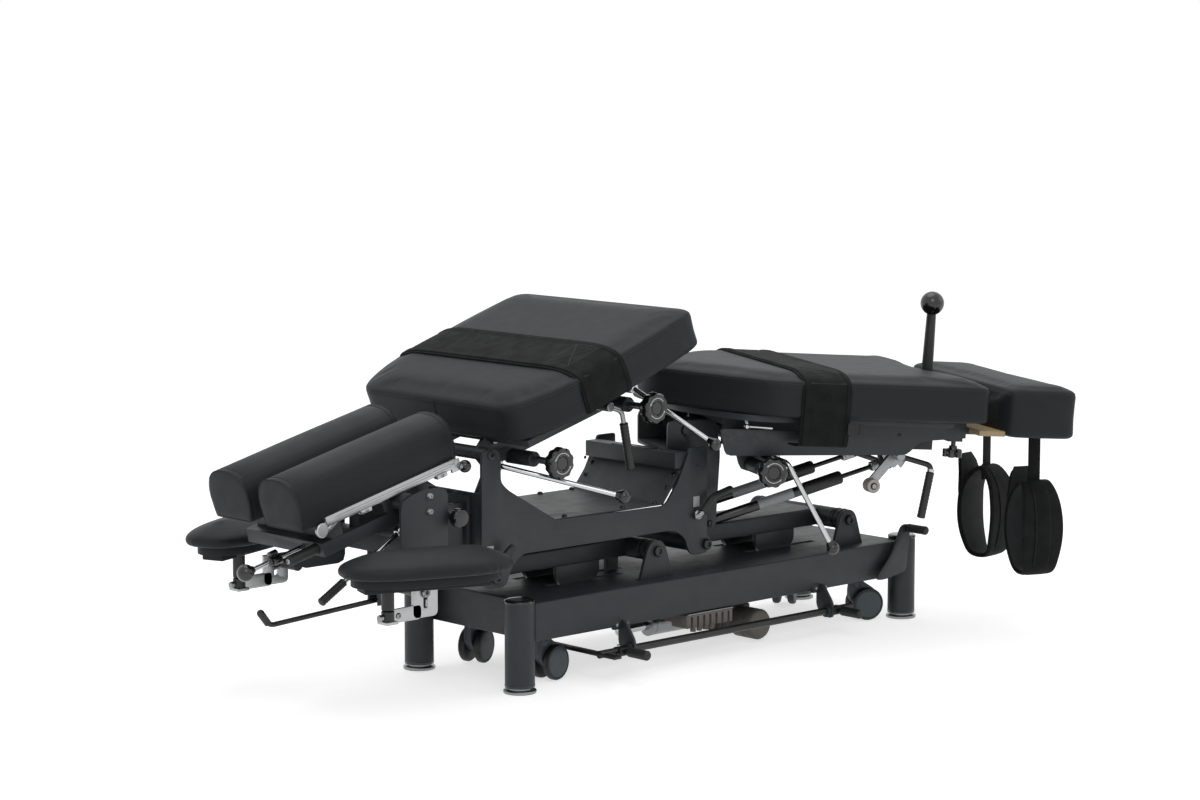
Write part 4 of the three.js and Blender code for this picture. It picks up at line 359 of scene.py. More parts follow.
def bend_path(points, bend):
    """Points along a line whose inner corners are bent over that length."""
    points = [Vector(spot) for spot in points]
    path = [points[0]]
    for before, corner, after in zip(points, points[1:], points[2:]):
        start = corner.lerp(before, min(bend / (before - corner).length, 0.49))
        end = corner.lerp(after, min(bend / (after - corner).length, 0.49))
        for step in range(BEND_STEPS + 1):
            share = step / BEND_STEPS
            path.append(start.lerp(corner, share).lerp(corner.lerp(end, share), share))
    return path + [points[-1]]


def swept(path, radius, sides=SMALL_ROUND, closed=False):
    """A round tube along a path of points."""
    curve = bpy.data.curves.new("path", "CURVE")
    curve.dimensions = "3D"
    curve.bevel_depth = radius * MM
    curve.bevel_resolution = max(sides // 4 - 1, 1)
    curve.use_fill_caps = not closed
    line = curve.splines.new("POLY")
    line.points.add(len(path) - 1)
    line.use_cyclic_u = closed
    for spot, place in zip(line.points, path):
        spot.co = (*(Vector(place) * MM), 1)
    obj = bpy.data.objects.new("path", curve)
    bpy.context.scene.collection.objects.link(obj)
    only(obj)
    bpy.ops.object.convert(target="MESH")
    return outwards(bpy.context.active_object)


def bent_rod(points, radius, bend, sides=SMALL_ROUND):
    return swept(bend_path(points, bend), radius, sides)


def cut(obj, cutters):
    """Cuts forms out of obj and deletes them."""
    for cutter in flat_list(cutters):
        only(obj)
        knife = obj.modifiers.new("Cut", "BOOLEAN")
        knife.operation = "DIFFERENCE"
        knife.solver = "EXACT"
        knife.object = cutter
        bpy.ops.object.modifier_apply(modifier=knife.name)
        bpy.data.objects.remove(cutter)
    return obj


def copied(obj, matrix):
    """A copy with its own mesh, moved by a matrix."""
    copy = obj.copy()
    copy.data = obj.data.copy()
    bpy.context.scene.collection.objects.link(copy)
    settled(copy, matrix)
    return outwards(copy) if matrix.determinant() < 0 else copy


FLIP = Matrix.Diagonal((1, -1, 1, 1))


def both_sides(parts):
    """The forms and their mirror images on the other side."""
    parts = flat_list(parts)
    return parts + [copied(part, FLIP) for part in parts]


def flipped(parts, side):
    """Forms modelled on the far side, moved to the near side if side is -1."""
    if side > 0:
        return parts
    made = [copied(part, FLIP) for part in flat_list(parts)]
    for part in flat_list(parts):
        bpy.data.objects.remove(part)
    return made


def screw(centre, normal, radius, height=None):
    """A button screw with a round socket in its head."""
    height = radius * 0.55 if height is None else height
    centre, normal = Vector(centre), Vector(normal).normalized()
    profile = [
        (0, 0), (0, radius), (height * 0.35, radius), (height * 0.75, radius * 0.86), (height, radius * 0.55),
        (height, radius * 0.42), (height * 0.4, radius * 0.38), (height * 0.4, 0),
    ]
    return turned(profile, centre, centre + normal, SMALL_ROUND + 4)


def refined(node, edge=0.8):
    """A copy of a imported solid, merged and flat again, whose edges can be rounded."""
    source = frame["nodes"][node]
    obj = bpy.data.objects.new("copy", source.data.copy())
    bpy.context.scene.collection.objects.link(obj)
    obj.matrix_world = source.matrix_world
    edit(obj)
    bpy.ops.mesh.remove_doubles(threshold=MERGE)
    bpy.ops.mesh.dissolve_limited(angle_limit=math.radians(1))
    bpy.ops.object.mode_set(mode="OBJECT")
    settled(obj)
    if edge:
        rounded_edges(obj, edge)
    return obj


def carried(node, name, body, finish, edge=0.8):
    """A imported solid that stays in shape, as a piece with rounded edges."""
    return piece(name, [refined(node, edge)], body, finish, where=Matrix(), replaces=[node])


# Colours and sizes that a user would change
def shade(code):
    """The linear colour of a six-figure screen colour."""
    parts = [((code >> shift) & 255) / 255 for shift in (16, 8, 0)]
    return tuple(one / 12.92 if one <= 0.04045 else ((one + 0.055) / 1.055) ** 2.4 for one in parts)


def colour_property(name, description, code):
    return bpy.props.FloatVectorProperty(
        name=name, description=description, subtype="COLOR", size=3, min=0, max=1, default=shade(code)
    )


def length_property(name, description, millimetres, most):
    return bpy.props.FloatProperty(
        name=name, description=description, default=millimetres * MM, min=0, max=most * MM,
        subtype="DISTANCE", unit="LENGTH", precision=4,
    )


class TableColours(bpy.types.PropertyGroup):
    """Colours of the finishes."""

    coat: colour_property("Powder coat", "Colour of the coated steel", 0x2B3033)
    vinyl: colour_property("Upholstery", "Colour of the vinyl covers", 0x202426)
    webbing: colour_property("Webbing", "Colour of the straps and cuffs", 0x101112)
    rubber: colour_property("Rubber", "Colour of the grips and pegs", 0x141516)
    plastic: colour_property("Plastic", "Colour of the knobs and balls", 0x0C0D0E)
    castor: colour_property("Castor plastic", "Colour of the castor housings", 0x404A50)
    motor: colour_property("Motor housing", "Colour of the lift motor and its control unit", 0x6F6B66)
    board: colour_property("Slide board", "Colour of the board under the foot cushion", 0xB39C78)


class TableSizes(bpy.types.PropertyGroup):
    """Sizes of the soft pieces."""

    cushion_swell: length_property("Cushion swell", "Most that a cushion swells under its cover", 5, 20)
    voxel: length_property("Remesh size", "Size of the faces that the cushions are remeshed to", 6, 20)
    seam_depth: length_property("Seam depth", "Depth of the sewn seams of the cushions", 1.1, 4)
    pressure: bpy.props.FloatProperty(
        name="Cushion pressure", description="Pressure that swells the cushions", default=4, min=0, max=20
    )


# Node groups shared by the finishes
def add(tree, kind, inputs=None, **settings):
    """Adds a node whose inputs are values or the outputs of other nodes."""
    node = tree.nodes.new(kind)
    for name, value in settings.items():
        setattr(node, name, value)
    for name, value in (inputs or {}).items():
        if isinstance(value, bpy.types.NodeSocket):
            tree.links.new(value, node.inputs[name])
        else:
            node.inputs[name].default_value = value
    return node


def calculated(tree, operation, *values):
    return add(tree, "ShaderNodeMath", dict(enumerate(values)), operation=operation).outputs[0]


def mixed(tree, factor, first, second):
    return add(tree, "ShaderNodeMix", {0: factor, 6: first, 7: second}, data_type="RGBA").outputs[2]


def shared_group(name, inputs, outputs, build):
    """A node group made once; build gets its tree and its inputs, and gives its outputs."""
    if name in bpy.data.node_groups:
        return bpy.data.node_groups[name]
    tree = bpy.data.node_groups.new(name, "ShaderNodeTree")
    for socket, kind, default in inputs:
        made = tree.interface.new_socket(socket, in_out="INPUT", socket_type=kind)
        made.default_value = default
    for socket, kind in outputs:
        tree.interface.new_socket(socket, in_out="OUTPUT", socket_type=kind)
    start = tree.nodes.new("NodeGroupInput")
    end = tree.nodes.new("NodeGroupOutput")
    for name_out, value in build(tree, start.outputs).items():
        tree.links.new(value, end.inputs[name_out])
    return tree


def noise(tree, vector, scale, detail=3, roughness=0.5):
    inputs = {"Vector": vector, "Scale": scale, "Detail": detail, "Roughness": roughness}
    return add(tree, "ShaderNodeTexNoise", inputs).outputs["Fac"]


def stretched(tree, vector, scale):
    return add(tree, "ShaderNodeMapping", {"Vector": vector, "Scale": scale}).outputs["Vector"]


def ramped(tree, value, low, high, out_low=0.0, out_high=1.0):
    inputs = {0: value, 1: low, 2: high, 3: out_low, 4: out_high}
    return add(tree, "ShaderNodeMapRange", inputs).outputs[0]


def mottle_group():
    """Slow and fine changes of a colour."""
    def build(tree, given):
        broad = noise(tree, given["Vector"], 5, 2)
        fine = noise(tree, given["Vector"], 420, 3)
        both = calculated(
            tree, "ADD", calculated(tree, "MULTIPLY", broad, 0.65), calculated(tree, "MULTIPLY", fine, 0.35)
        )
        centred = calculated(tree, "SUBTRACT", both, 0.5)
        factor = calculated(tree, "MULTIPLY_ADD", centred, given["Amount"], 1)
        colour = add(tree, "ShaderNodeVectorMath", {0: given["Colour"], "Scale": factor}, operation="SCALE")
        return {"Colour": colour.outputs[0]}

    inputs = [
        ("Vector", "NodeSocketVector", (0, 0, 0)), ("Colour", "NodeSocketColor", (0, 0, 0, 1)),
        ("Amount", "NodeSocketFloat", 0.3),
    ]
    return shared_group("Colour mottle", inputs, [("Colour", "NodeSocketColor")], build)


def dust_group():
    """A pale film on faces that look up, broken by noise."""
    def build(tree, given):
        normal = add(tree, "ShaderNodeNewGeometry").outputs["Normal"]
        up = add(tree, "ShaderNodeSeparateXYZ", {0: normal}).outputs["Z"]
        facing = ramped(tree, up, 0.2, 1.0)
        patches = ramped(tree, noise(tree, given["Vector"], 26, 5, 0.6), 0.4, 0.75)
        mask = calculated(tree, "MULTIPLY", calculated(tree, "MULTIPLY", facing, patches), given["Amount"])
        return {"Colour": mixed(tree, mask, given["Colour"], (0.32, 0.31, 0.29, 1)), "Mask": mask}

    inputs = [
        ("Vector", "NodeSocketVector", (0, 0, 0)), ("Colour", "NodeSocketColor", (0, 0, 0, 1)),
        ("Amount", "NodeSocketFloat", 0.05),
    ]
    outputs = [("Colour", "NodeSocketColor"), ("Mask", "NodeSocketFloat")]
    return shared_group("Dust", inputs, outputs, build)


def wear_group():
    """A mask of rubbed edges, broken by noise."""
    def build(tree, given):
        edges = add(tree, "ShaderNodeNewGeometry").outputs["Pointiness"]
        sharp = ramped(tree, edges, 0.58, 0.7)
        broken = ramped(tree, noise(tree, given["Vector"], 60, 5, 0.65), 0.45, 0.6)
        mask = calculated(tree, "MULTIPLY", calculated(tree, "MULTIPLY", sharp, broken), given["Amount"])
        return {"Mask": mask}

    inputs = [("Vector", "NodeSocketVector", (0, 0, 0)), ("Amount", "NodeSocketFloat", 0.3)]
    return shared_group("Edge wear", inputs, [("Mask", "NodeSocketFloat")], build)


def grain_group():
    """The height of a pebbled grain."""
    def build(tree, given):
        cells = add(tree, "ShaderNodeTexVoronoi", {"Vector": given["Vector"], "Scale": given["Scale"]})
        pebbles = ramped(tree, cells.outputs["Distance"], 0.0, 0.7, 1.0, 0.0)
        rough = noise(tree, given["Vector"], calculated(tree, "MULTIPLY", given["Scale"], 2.2), 3)
        height = calculated(
            tree, "ADD", calculated(tree, "MULTIPLY", pebbles, 0.65), calculated(tree, "MULTIPLY", rough, 0.35)
        )
        return {"Height": height}

    inputs = [("Vector", "NodeSocketVector", (0, 0, 0)), ("Scale", "NodeSocketFloat", 800.0)]
    return shared_group("Pebble grain", inputs, [("Height", "NodeSocketFloat")], build)


def weave_group():
    """The height of a plain weave whose threads run along X and round the strap."""
    def build(tree, given):
        split = add(tree, "ShaderNodeSeparateXYZ", {0: given["Vector"]}).outputs
        round_strap = calculated(tree, "ADD", split["Y"], split["Z"])
        warp = calculated(tree, "SINE", calculated(tree, "MULTIPLY", split["X"], given["Scale"]))
        weft = calculated(tree, "SINE", calculated(tree, "MULTIPLY", round_strap, given["Scale"]))
        crossed = calculated(tree, "MULTIPLY", warp, weft)
        fuzz = noise(tree, given["Vector"], 1500, 2)
        height = calculated(tree, "MULTIPLY_ADD", crossed, 0.35, calculated(tree, "MULTIPLY", fuzz, 0.6))
        return {"Height": height}

    inputs = [("Vector", "NodeSocketVector", (0, 0, 0)), ("Scale", "NodeSocketFloat", 2200.0)]
    return shared_group("Plain weave", inputs, [("Height", "NodeSocketFloat")], build)


# Finishes
WORN_COLOUR = (0.2, 0.2, 0.2)


def finished(name, colour, roughness, height, depth, mottle=0.3, dust=0.03, wear=0.0, **constant):
    """A material with mottled colour, dust, worn edges and a fine relief, made once."""
    if name in bpy.data.materials:
        return bpy.data.materials[name]
    material = bpy.data.materials.new(name)
    material.use_nodes = True
    tree = material.node_tree
    shader = tree.nodes["Principled BSDF"]
    vector = add(tree, "ShaderNodeTexCoord").outputs["Object"]
    base = add(
        tree, "ShaderNodeGroup", {"Vector": vector, "Colour": (*colour, 1), "Amount": mottle},
        node_tree=mottle_group(),
    ).outputs["Colour"]
    if wear:
        worn = add(
            tree, "ShaderNodeGroup", {"Vector": vector, "Amount": wear}, node_tree=wear_group()
        ).outputs["Mask"]
        base = mixed(tree, worn, base, (*WORN_COLOUR, 1))
    dusty = add(
        tree, "ShaderNodeGroup", {"Vector": vector, "Colour": base, "Amount": dust}, node_tree=dust_group()
    )
    tree.links.new(dusty.outputs["Colour"], shader.inputs["Base Color"])
    patches = noise(tree, vector, 34, 4)
    tree.links.new(ramped(tree, patches, 0.3, 0.7, *roughness), shader.inputs["Roughness"])
    relief = height(tree, vector)
    bump = add(tree, "ShaderNodeBump", {"Strength": 1.0, "Distance": depth, "Height": relief})
    tree.links.new(bump.outputs["Normal"], shader.inputs["Normal"])
    for socket, value in constant.items():
        shader.inputs[socket.replace("_", " ").title().replace("Ior", "IOR")].default_value = value
    return material


def grain_height(scale):
    return lambda tree, vector: add(
        tree, "ShaderNodeGroup", {"Vector": vector, "Scale": scale}, node_tree=grain_group()
    ).outputs["Height"]


def noise_height(scale, along=(1, 1, 1)):
    return lambda tree, vector: noise(tree, stretched(tree, vector, along), scale, 4)


def weave_height(scale):
    return lambda tree, vector: add(
        tree, "ShaderNodeGroup", {"Vector": vector, "Scale": scale}, node_tree=weave_group()
    ).outputs["Height"]


def colours():
    return bpy.context.scene.table_colours


FINISHES = {
    "coat": lambda: finished(
        "Powder coat", colours().coat, (0.44, 0.54), grain_height(1300), 0.00004, mottle=0.1, dust=0.008, wear=0.1,
        specular_ior_level=0.4,
    ),
    "vinyl": lambda: finished(
        "Vinyl", colours().vinyl, (0.5, 0.54), grain_height(1500), 0.00004, mottle=0.05, dust=0.004,
        specular_ior_level=0.2,
    ),
    # The pad ends use the vinyl made 1.12 times lighter: painted light on the end faces
    "vinyl lit end": lambda: finished(
        "Vinyl lit end", tuple(one * 1.12 for one in colours().vinyl), (0.5, 0.6), grain_height(1500), 0.00004,
        mottle=0.05, dust=0.004, specular_ior_level=0.2,
    ),
    "stitching": lambda: finished(
        "Stitching", tuple(one * 0.5 for one in colours().vinyl), (0.6, 0.75), noise_height(3000), 0.0001
    ),
    "webbing": lambda: finished(
        "Webbing", colours().webbing, (0.72, 0.88), weave_height(2300), 0.0002, mottle=0.12, dust=0.004,
        specular_ior_level=0.2,
    ),
    "binding": lambda: finished(
        "Binding tape", tuple(one * 0.8 for one in colours().webbing), (0.6, 0.75), weave_height(3400), 0.00014
    ),
    # Strap thread is 2.6 times the webbing colour: partly the thread's own colour, partly a painted highlight on the
    # raised X-box stitching
    "thread": lambda: finished(
        "Strap thread with painted highlight", tuple(one * 2.6 for one in colours().webbing), (0.6, 0.75), noise_height(3000), 0.0001
    ),
    "lining": lambda: finished(
        "Cuff lining", tuple(one * 4 for one in colours().webbing), (0.9, 1.0), noise_height(700), 0.0009,
        mottle=1.4, sheen_weight=0.15, sheen_roughness=0.5,
    ),
    "rubber": lambda: finished(
        "Rubber", colours().rubber, (0.45, 0.62), noise_height(900), 0.00008, mottle=0.3, wear=0.15,
    ),
    "plastic": lambda: finished(
        "Gloss plastic", colours().plastic, (0.16, 0.26), noise_height(120), 0.00003, mottle=0.2,
        coat_weight=0.3, coat_roughness=0.12,
    ),
    "satin black": lambda: finished(
        "Satin black", colours().plastic, (0.34, 0.5), grain_height(1500), 0.00004, mottle=0.3, wear=0.2
    ),
    "chrome": lambda: finished(
        "Chrome", (0.5, 0.51, 0.52), (0.08, 0.16), noise_height(160), 0.00002, mottle=0.08, metallic=1.0
    ),
    "zinc": lambda: finished(
        "Zinc", (0.28, 0.285, 0.29), (0.26, 0.4), noise_height(700), 0.00005, mottle=0.3, metallic=1.0
    ),
    "aluminium": lambda: finished(
        "Brushed aluminium", (0.42, 0.425, 0.43), (0.3, 0.42), noise_height(900, (0.03, 1, 1)), 0.00004,
        mottle=0.16, metallic=1.0,
    ),
    "castor": lambda: finished(
        "Castor plastic", colours().castor, (0.4, 0.55), noise_height(900), 0.00005, mottle=0.2, dust=0.03
    ),
    "motor": lambda: finished(
        "Motor plastic", colours().motor, (0.5, 0.62), grain_height(1100), 0.00005, mottle=0.2, dust=0.03
    ),
    "board": lambda: finished(
        "Laminated board", colours().board, (0.4, 0.55), noise_height(60, (1, 8, 8)), 0.0001, mottle=0.5
    ),
    "roller": lambda: finished(
        "Roller plastic", shade(0xBDB7AE), (0.4, 0.5), noise_height(500), 0.00005, mottle=0.15
    ),
    "label plate": lambda: finished(
        "Bare label", shade(0xA4A8AA), (0.4, 0.55), noise_height(400), 0.00003, mottle=0.2
    ),
    "white paint": lambda: finished(
        "White paint", shade(0xDADCDD), (0.45, 0.55), noise_height(400), 0.00003, mottle=0.1
    ),
    "spring black": lambda: finished(
        "Spring tube paint", shade(0x101112), (0.2, 0.32), noise_height(300), 0.00003, mottle=0.2,
        coat_weight=0.2, coat_roughness=0.2,
    ),
}


# Padded pieces
def soft_form(outline, levels, spacing=9):
    """A closed form through copies of an outline, each moved in and set at a height."""
    ring = evenly(rounded(outline, 9), spacing)
    rings = [[(spot.x, spot.y, up) for spot in moved_in(ring, inset)] for inset, up in levels]
    return lofted(rings)


def cushion_levels(bottom, seam, crown):
    """Levels of a boxed cushion with a crowned top; the last ones close the crown."""
    height = seam - bottom
    edge = [
        (9, bottom), (3, bottom + 3), (1, bottom + 8), (2, bottom + height * 0.3), (2.6, bottom + height * 0.5),
        (2.2, bottom + height * 0.75), (1.4, seam - 6), (1.2, seam), (2.4, seam + 4), (6, seam + 8),
    ]
    top = [(6 + 12 * step, seam + 8 + (crown - 8) * (1 - (1 - step / 6) ** 2.2)) for step in range(1, 7)]
    return edge + top


# The most that a cushion moves inwards, and how high over its board it is held
INWARD_CAP = 0.8
HELD_HEIGHT = 6 * MM


def swelled(obj, board_level, cap):
    """Lets a remeshed form swell as a cushion by cloth simulation, no point moving past the cap."""
    size = bpy.context.scene.table_sizes
    only(obj)
    remesh = obj.modifiers.new("Remesh", "REMESH")
    remesh.mode = "VOXEL"
    remesh.voxel_size = size.voxel
    remesh.use_smooth_shade = True
    bpy.ops.object.modifier_apply(modifier=remesh.name)
    rest = [spot.co.copy() for spot in obj.data.vertices]
    held = obj.vertex_groups.new(name="held")
    held.add(
        [spot.index for spot in obj.data.vertices if spot.co.z < board_level * MM + HELD_HEIGHT], 1.0, "REPLACE"
    )
    cloth = obj.modifiers.new("Cloth", "CLOTH")
    settings = cloth.settings
    settings.quality = 4
    settings.use_pressure = True
    settings.uniform_pressure_force = size.pressure
    settings.tension_stiffness = 25
    settings.compression_stiffness = 25
    settings.bending_stiffness = 3
    settings.effector_weights.gravity = 0
    settings.vertex_group_mass = held.name
    cloth.point_cache.frame_start = 1
    cloth.point_cache.frame_end = 20
    for step in range(1, 21):
        bpy.context.scene.frame_set(step)
    shown = obj.evaluated_get(bpy.context.evaluated_depsgraph_get())
    moved = [spot.co.copy() for spot in shown.data.vertices]
    obj.modifiers.remove(cloth)
    obj.vertex_groups.clear()
    bpy.context.scene.frame_set(1)
    out = [spot.normal.copy() for spot in obj.data.vertices]
    for spot, start, end, normal in zip(obj.data.vertices, rest, moved, out):
        step = end - start
        most = cap if step.dot(normal) > 0 else INWARD_CAP * MM
        spot.co = start + step * min(1, most / max(step.length, 1e-9))
    obj.data.update()
    apply_modifier(obj, "SMOOTH", factor=0.5, iterations=3)
    apply_modifier(obj, "SUBSURF", levels=1, render_levels=1)
    return obj


SEAM_HALF_WIDTH = 2.6


def seamed(obj, level):
    """Presses a sewn seam round a cushion at a height in its own frame."""
    depth = bpy.context.scene.table_sizes.seam_depth
    obj.data.update()
    for spot in obj.data.vertices:
        away = abs(spot.co.z / MM - level) / SEAM_HALF_WIDTH
        if away < 1:
            side = Vector((spot.normal.x, spot.normal.y, 0))
            spot.co -= side * depth * (1 - away * away)
    obj.data.update()
    return obj


def surface_of(obj):
    """The surface of a form, to lay threads and straps on."""
    return BVHTree.FromPolygons(
        [spot.co.copy() for spot in obj.data.vertices], [list(face.vertices) for face in obj.data.polygons]
    )


WELT_RADIUS = 0.8
WELT_SEARCH = 30


def welt(form, outline, level):
    """The raised thread line of a seam, laid on a cushion all the way round."""
    surface = surface_of(form)
    ring = evenly(rounded(outline, 9), 5)
    path = []
    for start, end in zip(moved_in(ring, -WELT_SEARCH), moved_in(ring, WELT_SEARCH)):
        aim = Vector((end.x - start.x, end.y - start.y, 0)).normalized()
        hit = surface.ray_cast(Vector((start.x, start.y, level)) * MM, aim)[0]
        if hit:
            path.append(hit / MM - aim * 0.1)
    return swept(path, WELT_RADIUS, 8, closed=True)


def padded_piece(name, obj, body, finish, where, replaces):
    made = piece(name, [obj], body, finish, where=where, replaces=replaces)
    only(made)
    bpy.ops.object.shade_smooth()
    return made


# Base
PIVOTS = {"head": -174, "foot": 409}
CASTOR_HEADINGS = {1: 10, 2: 21, 3: -24, 4: 34}


def build_chassis():
    shell = block((-544, 544), (-177, 177), (101, 179))
    rounded_edges(shell, 4, 3)
    hollow = [block((-541, 541), (-174, 174), (90, 176))]
    for pivot in PIVOTS.values():
        hollow += [block((pivot - 226, pivot - 16), about(side * 50, 8), (170, 190)) for side in SIDES]
    hollow.append(block((-264, -148), about(0, 10), (170, 190)))
    hollow += [rod((-560, across, up), (-530, across, up), 2.6, sides=12) for across, up in ((-120, 128), (-120, 152))]
    piece("chassis_tray", [cut(shell, hollow)], "base", "coat", replaces=["chassis"])

    legs, caps, feet = [], [], []
    for along in (-567, 567):
        for side in SIDES:
            low, high = (along, side * 156, 0), (along, side * 156, 1)
            legs.append(turned(
                [(12, 0), (12, 28.5), (13.5, 30), (181.5, 30), (181.5, 0)], low, high
            ))
            caps.append(turned(
                [
                    (181, 0), (181, 30.8), (182.4, 31.4), (184.6, 31.2), (186.4, 29.8), (187.8, 26.5), (188, 20),
                    (188, 0)
                ],
                low, high,
            ))
            caps.append(turned([(12.2, 0), (12.2, 30.6), (17, 30.6), (18, 29.5), (18, 0)], low, high))
            feet.append(turned(
                [
                    (0, 0), (0, 31.5), (1, 33), (5.4, 33.4), (6.4, 32.4), (7.2, 27), (8, 24), (12.5, 24), (12.5, 0)
                ], low, high
            ))
    piece("chassis_legs", legs, "base", "coat")
    piece("leg_caps", caps, "base", "plastic")
    piece("levelling_feet", feet, "base", "zinc")

    clevises, pins, hangers = [], [], []
    for pivot in PIVOTS.values():
        corners = [(pivot - 47, 177, 0), (pivot + 47, 177, 0), (pivot + 21, 257, 26), (pivot - 21, 257, 26)]
        foot = block((pivot - 50, pivot + 50), (127, 131.5), (176.5, 181))
        clevises += both_sides(rounded_edges([plate(corners, "XZ", (131, 139), 12), foot], 0.8))
        head = turned(
            [(0, 0), (0, 11.4), (3, 11.6), (7.5, 11), (9, 9), (9, 6), (6.5, 5.2), (6.5, 0)],
            (pivot, 138.8, 235), (pivot, 148, 235), 32,
        )
        washer = turned([(0, 0), (0, 14), (1.4, 14), (1.8, 13), (1.8, 0)], (pivot, 138.6, 235), (pivot, 148, 235), 32)
        pins += both_sides([head, washer, cross_rod(pivot, 235, (117, 139), 8)])
    piece("clevis_plates", clevises, "base", "coat")
    piece("clevis_bolts", pins, "base", "satin black")

    for along in (-308, 280):
        corners = [(-168, 114, 0), (-168, 66, 10), (-186, 44, 10), (-216, 44, 10), (-216, 76, 10), (-188, 114, 8)]
        hangers.append(plate(corners, "YZ", (along - 3, along + 3)))
        hangers.append(rod((along - 9, -200, 58), (along + 9, -200, 58), 13, sides=32))
        hangers.append(block((along - 22, along + 22), (-177.5, -168), (96, 114)))
    hangers.append(plate([(-30, 26, 8), (30, 26, 8), (30, 177, 0), (-30, 177, 0)], "YZ", (172, 180)))
    hangers += [post(466 * end, 148 * side, (112, 177.5), 6, sides=24) for end in (-1, 1) for side in SIDES]
    rounded_edges(hangers, 0.8)
    hangers.append(turned([(0, 8.3), (0, 14), (8, 14), (9, 13), (9, 8.3)], (505, -177, 121), (505, -188, 121), 32))
    piece("chassis_brackets", hangers, "base", "coat")
    screws = [screw((-544.2, across, up), (-1, 0, 0), 3.6) for across, up in ((140, 128), (140, 152))]
    screws += [screw((along, -177.6, 105), (0, -1, 0), 4.2) for along in (-322, -296, 268, 296)]
    piece("chassis_screws", screws, "base", "zinc")


def build_actuator():
    motor = turned(
        [
            (0, 0), (0, 24), (3, 30), (8, 33), (30, 33), (31, 31.5), (33, 31.5), (34, 33), (64, 33), (69, 30),
            (71, 26), (71, 0)
        ],
        (130, -147, 40), (130, -76, 40),
    )
    box = rounded_edges([block((97, 164), (-80, 30), (14, 74)), block((162, 171.7), (-22, 22), (34.5, 53.5))], 4, 3)
    ribs = [block((92, 170), (across - 1.2, across + 1.2), (20, 68)) for across in (-60, -44, -28, -12)]
    piece("lift_motor", [motor, box, rounded_edges(ribs, 0.6)], "base", "motor", replaces=["actuator_body"])
    tube = turned(
        [(0, 0), (0, 22), (186, 22), (187, 20.5), (190, 20.5), (191, 22.6), (199, 22.6), (200, 21), (200, 0)],
        (130, 0, 44), (-70, 0, 44),
    )
    piece("lift_tube", [tube], "base", "zinc")
    unit = block((-120, 15), (-174, -126), (68, 97))
    rounded_edges(unit, 3, 3)
    grooves = [block((along - 3, along + 3), (-180, -166), (60, 92)) for along in range(-106, 14, 18)]
    cut(unit, grooves)
    ports = [rod((along, -168, 70), (along, -168, 60), 6, sides=24) for along in (-97, -79, -61, -43)]
    piece("control_unit", [unit, ports, rounded_edges(block((-60, -30), (-128, 0), (60, 72)), 1)], "base", "motor")
    edge_strip = rounded_edges(block((-118, 13), (-176.4, -172), (97, 99)), 0.5)
    piece("control_unit_edge", [edge_strip], "base", "zinc")
    rod_parts = [
        rod((78, 0, 44), (-132, 0, 44), 9.5), rounded_edges(cross_rod(-140, 44, (-9.5, 9.5), 14), 1),
        cross_rod(-140, 44, (-13, 13), 6.5, sides=24),
    ]
    piece("actuator_rod_bar", rod_parts, "actuator_rod", "chrome", replaces=["actuator_rod"])


def build_lift_arms():
    for name, pivot in PIVOTS.items():
        beam = block((pivot - 440, pivot - 4), (-60, 60), (216, 254))
        rounded_edges(beam, 4, 3)
        fins = []
        for side in SIDES:
            corners = [
                (pivot - 204, 218, 0), (pivot - 204, 183, 33), (pivot - 150, 150, 33), (pivot - 84, 183, 33),
                (pivot - 84, 218, 0)
            ]
            fins.append(plate(corners, "XZ", about(side * 50, 5), 10))
        if name == "head":
            fins.append(plate([(-191, 235, 0), (-185, 63, 5.5), (-163, 63, 5.5), (-157, 235, 0)], "XZ", (-6, 6)))
        rounded_edges(fins, 0.8)
        hubs = [
            turned([(0, 0), (0, 20.5), (1.5, 22), (24, 22), (24.5, 21), (28, 21), (28.5, 22), (233, 22),
                    (233.5, 21), (237, 21), (237.5, 22), (260, 22), (261.4, 20.5), (261.4, 0)],
                   (pivot, -130.7, 235), (pivot, 130.7, 235)),
            turned([(0, 0), (0, 18.5), (1.5, 20), (272, 20), (273.4, 18.5), (273.4, 0)],
                   (pivot - 444, -136.7, 234), (pivot - 444, 136.7, 234)),
        ]
        body = f"lift_arm_{name}"
        piece(f"{body}_beam", [beam, fins, hubs], body, "coat", replaces=[body])
        rings = []
        for side in SIDES:
            for across in (108, 124):
                rings.append(turned(
                    [
                        (0, 21), (0, 23.2), (3, 23.2), (3, 21)
                    ], (pivot, side * across, 235), (pivot, side * (across + 3), 235)
                ))
        piece(f"{body}_bushes", rings, body, "satin black")


def build_foot_bar():
    bar = [
        rod((-394, -200, 58), (350, -200, 58), 8), rounded_edges(block((-398, -378), (-250, -44), (55, 61)), 1.2),
    ]
    for along in (-330, 302):
        bar.append(rod((along, -200, 58), (along, -274, 58), 6.5))
        bar.append(rounded_edges(plate(
            [(along - 26, -212, 6), (along + 26, -212, 6), (along + 9, -186, 4), (along - 9, -186, 4)], "XY", (53, 57)
        ), 0.8))
        bar.append(rounded_edges(block((along - 17, along + 17), (-214, -190), (49, 66)), 3, 2))
    piece("pedal_bar", bar, "foot_bar", "satin black", replaces=["foot_bar"])
    grips = []
    for along in (-330, 302):
        profile = [(0, 0), (0, 9.4), (1.5, 10.2)]
        for ridge in range(9):
            profile += [(4 + ridge * 5, 10.2), (5.5 + ridge * 5, 9.4), (7 + ridge * 5, 9.4), (8 + ridge * 5, 10.2)]
        profile += [(51, 10.2), (53, 9), (54, 6), (54, 0)]
        grips.append(turned(profile, (along, -222, 58), (along, -276, 58), 32))
    piece("pedal_grips", grips, "foot_bar", "rubber")
    screws = [screw((along, -190, 66.6), (0, 0, 1), 4) for along in (-330, 302)]
    screws += [screw((along + 12, -214.4, 57), (0, -1, 0), 3.6) for along in (-330, 302)]
    piece("pedal_screws", screws, "foot_bar", "zinc")


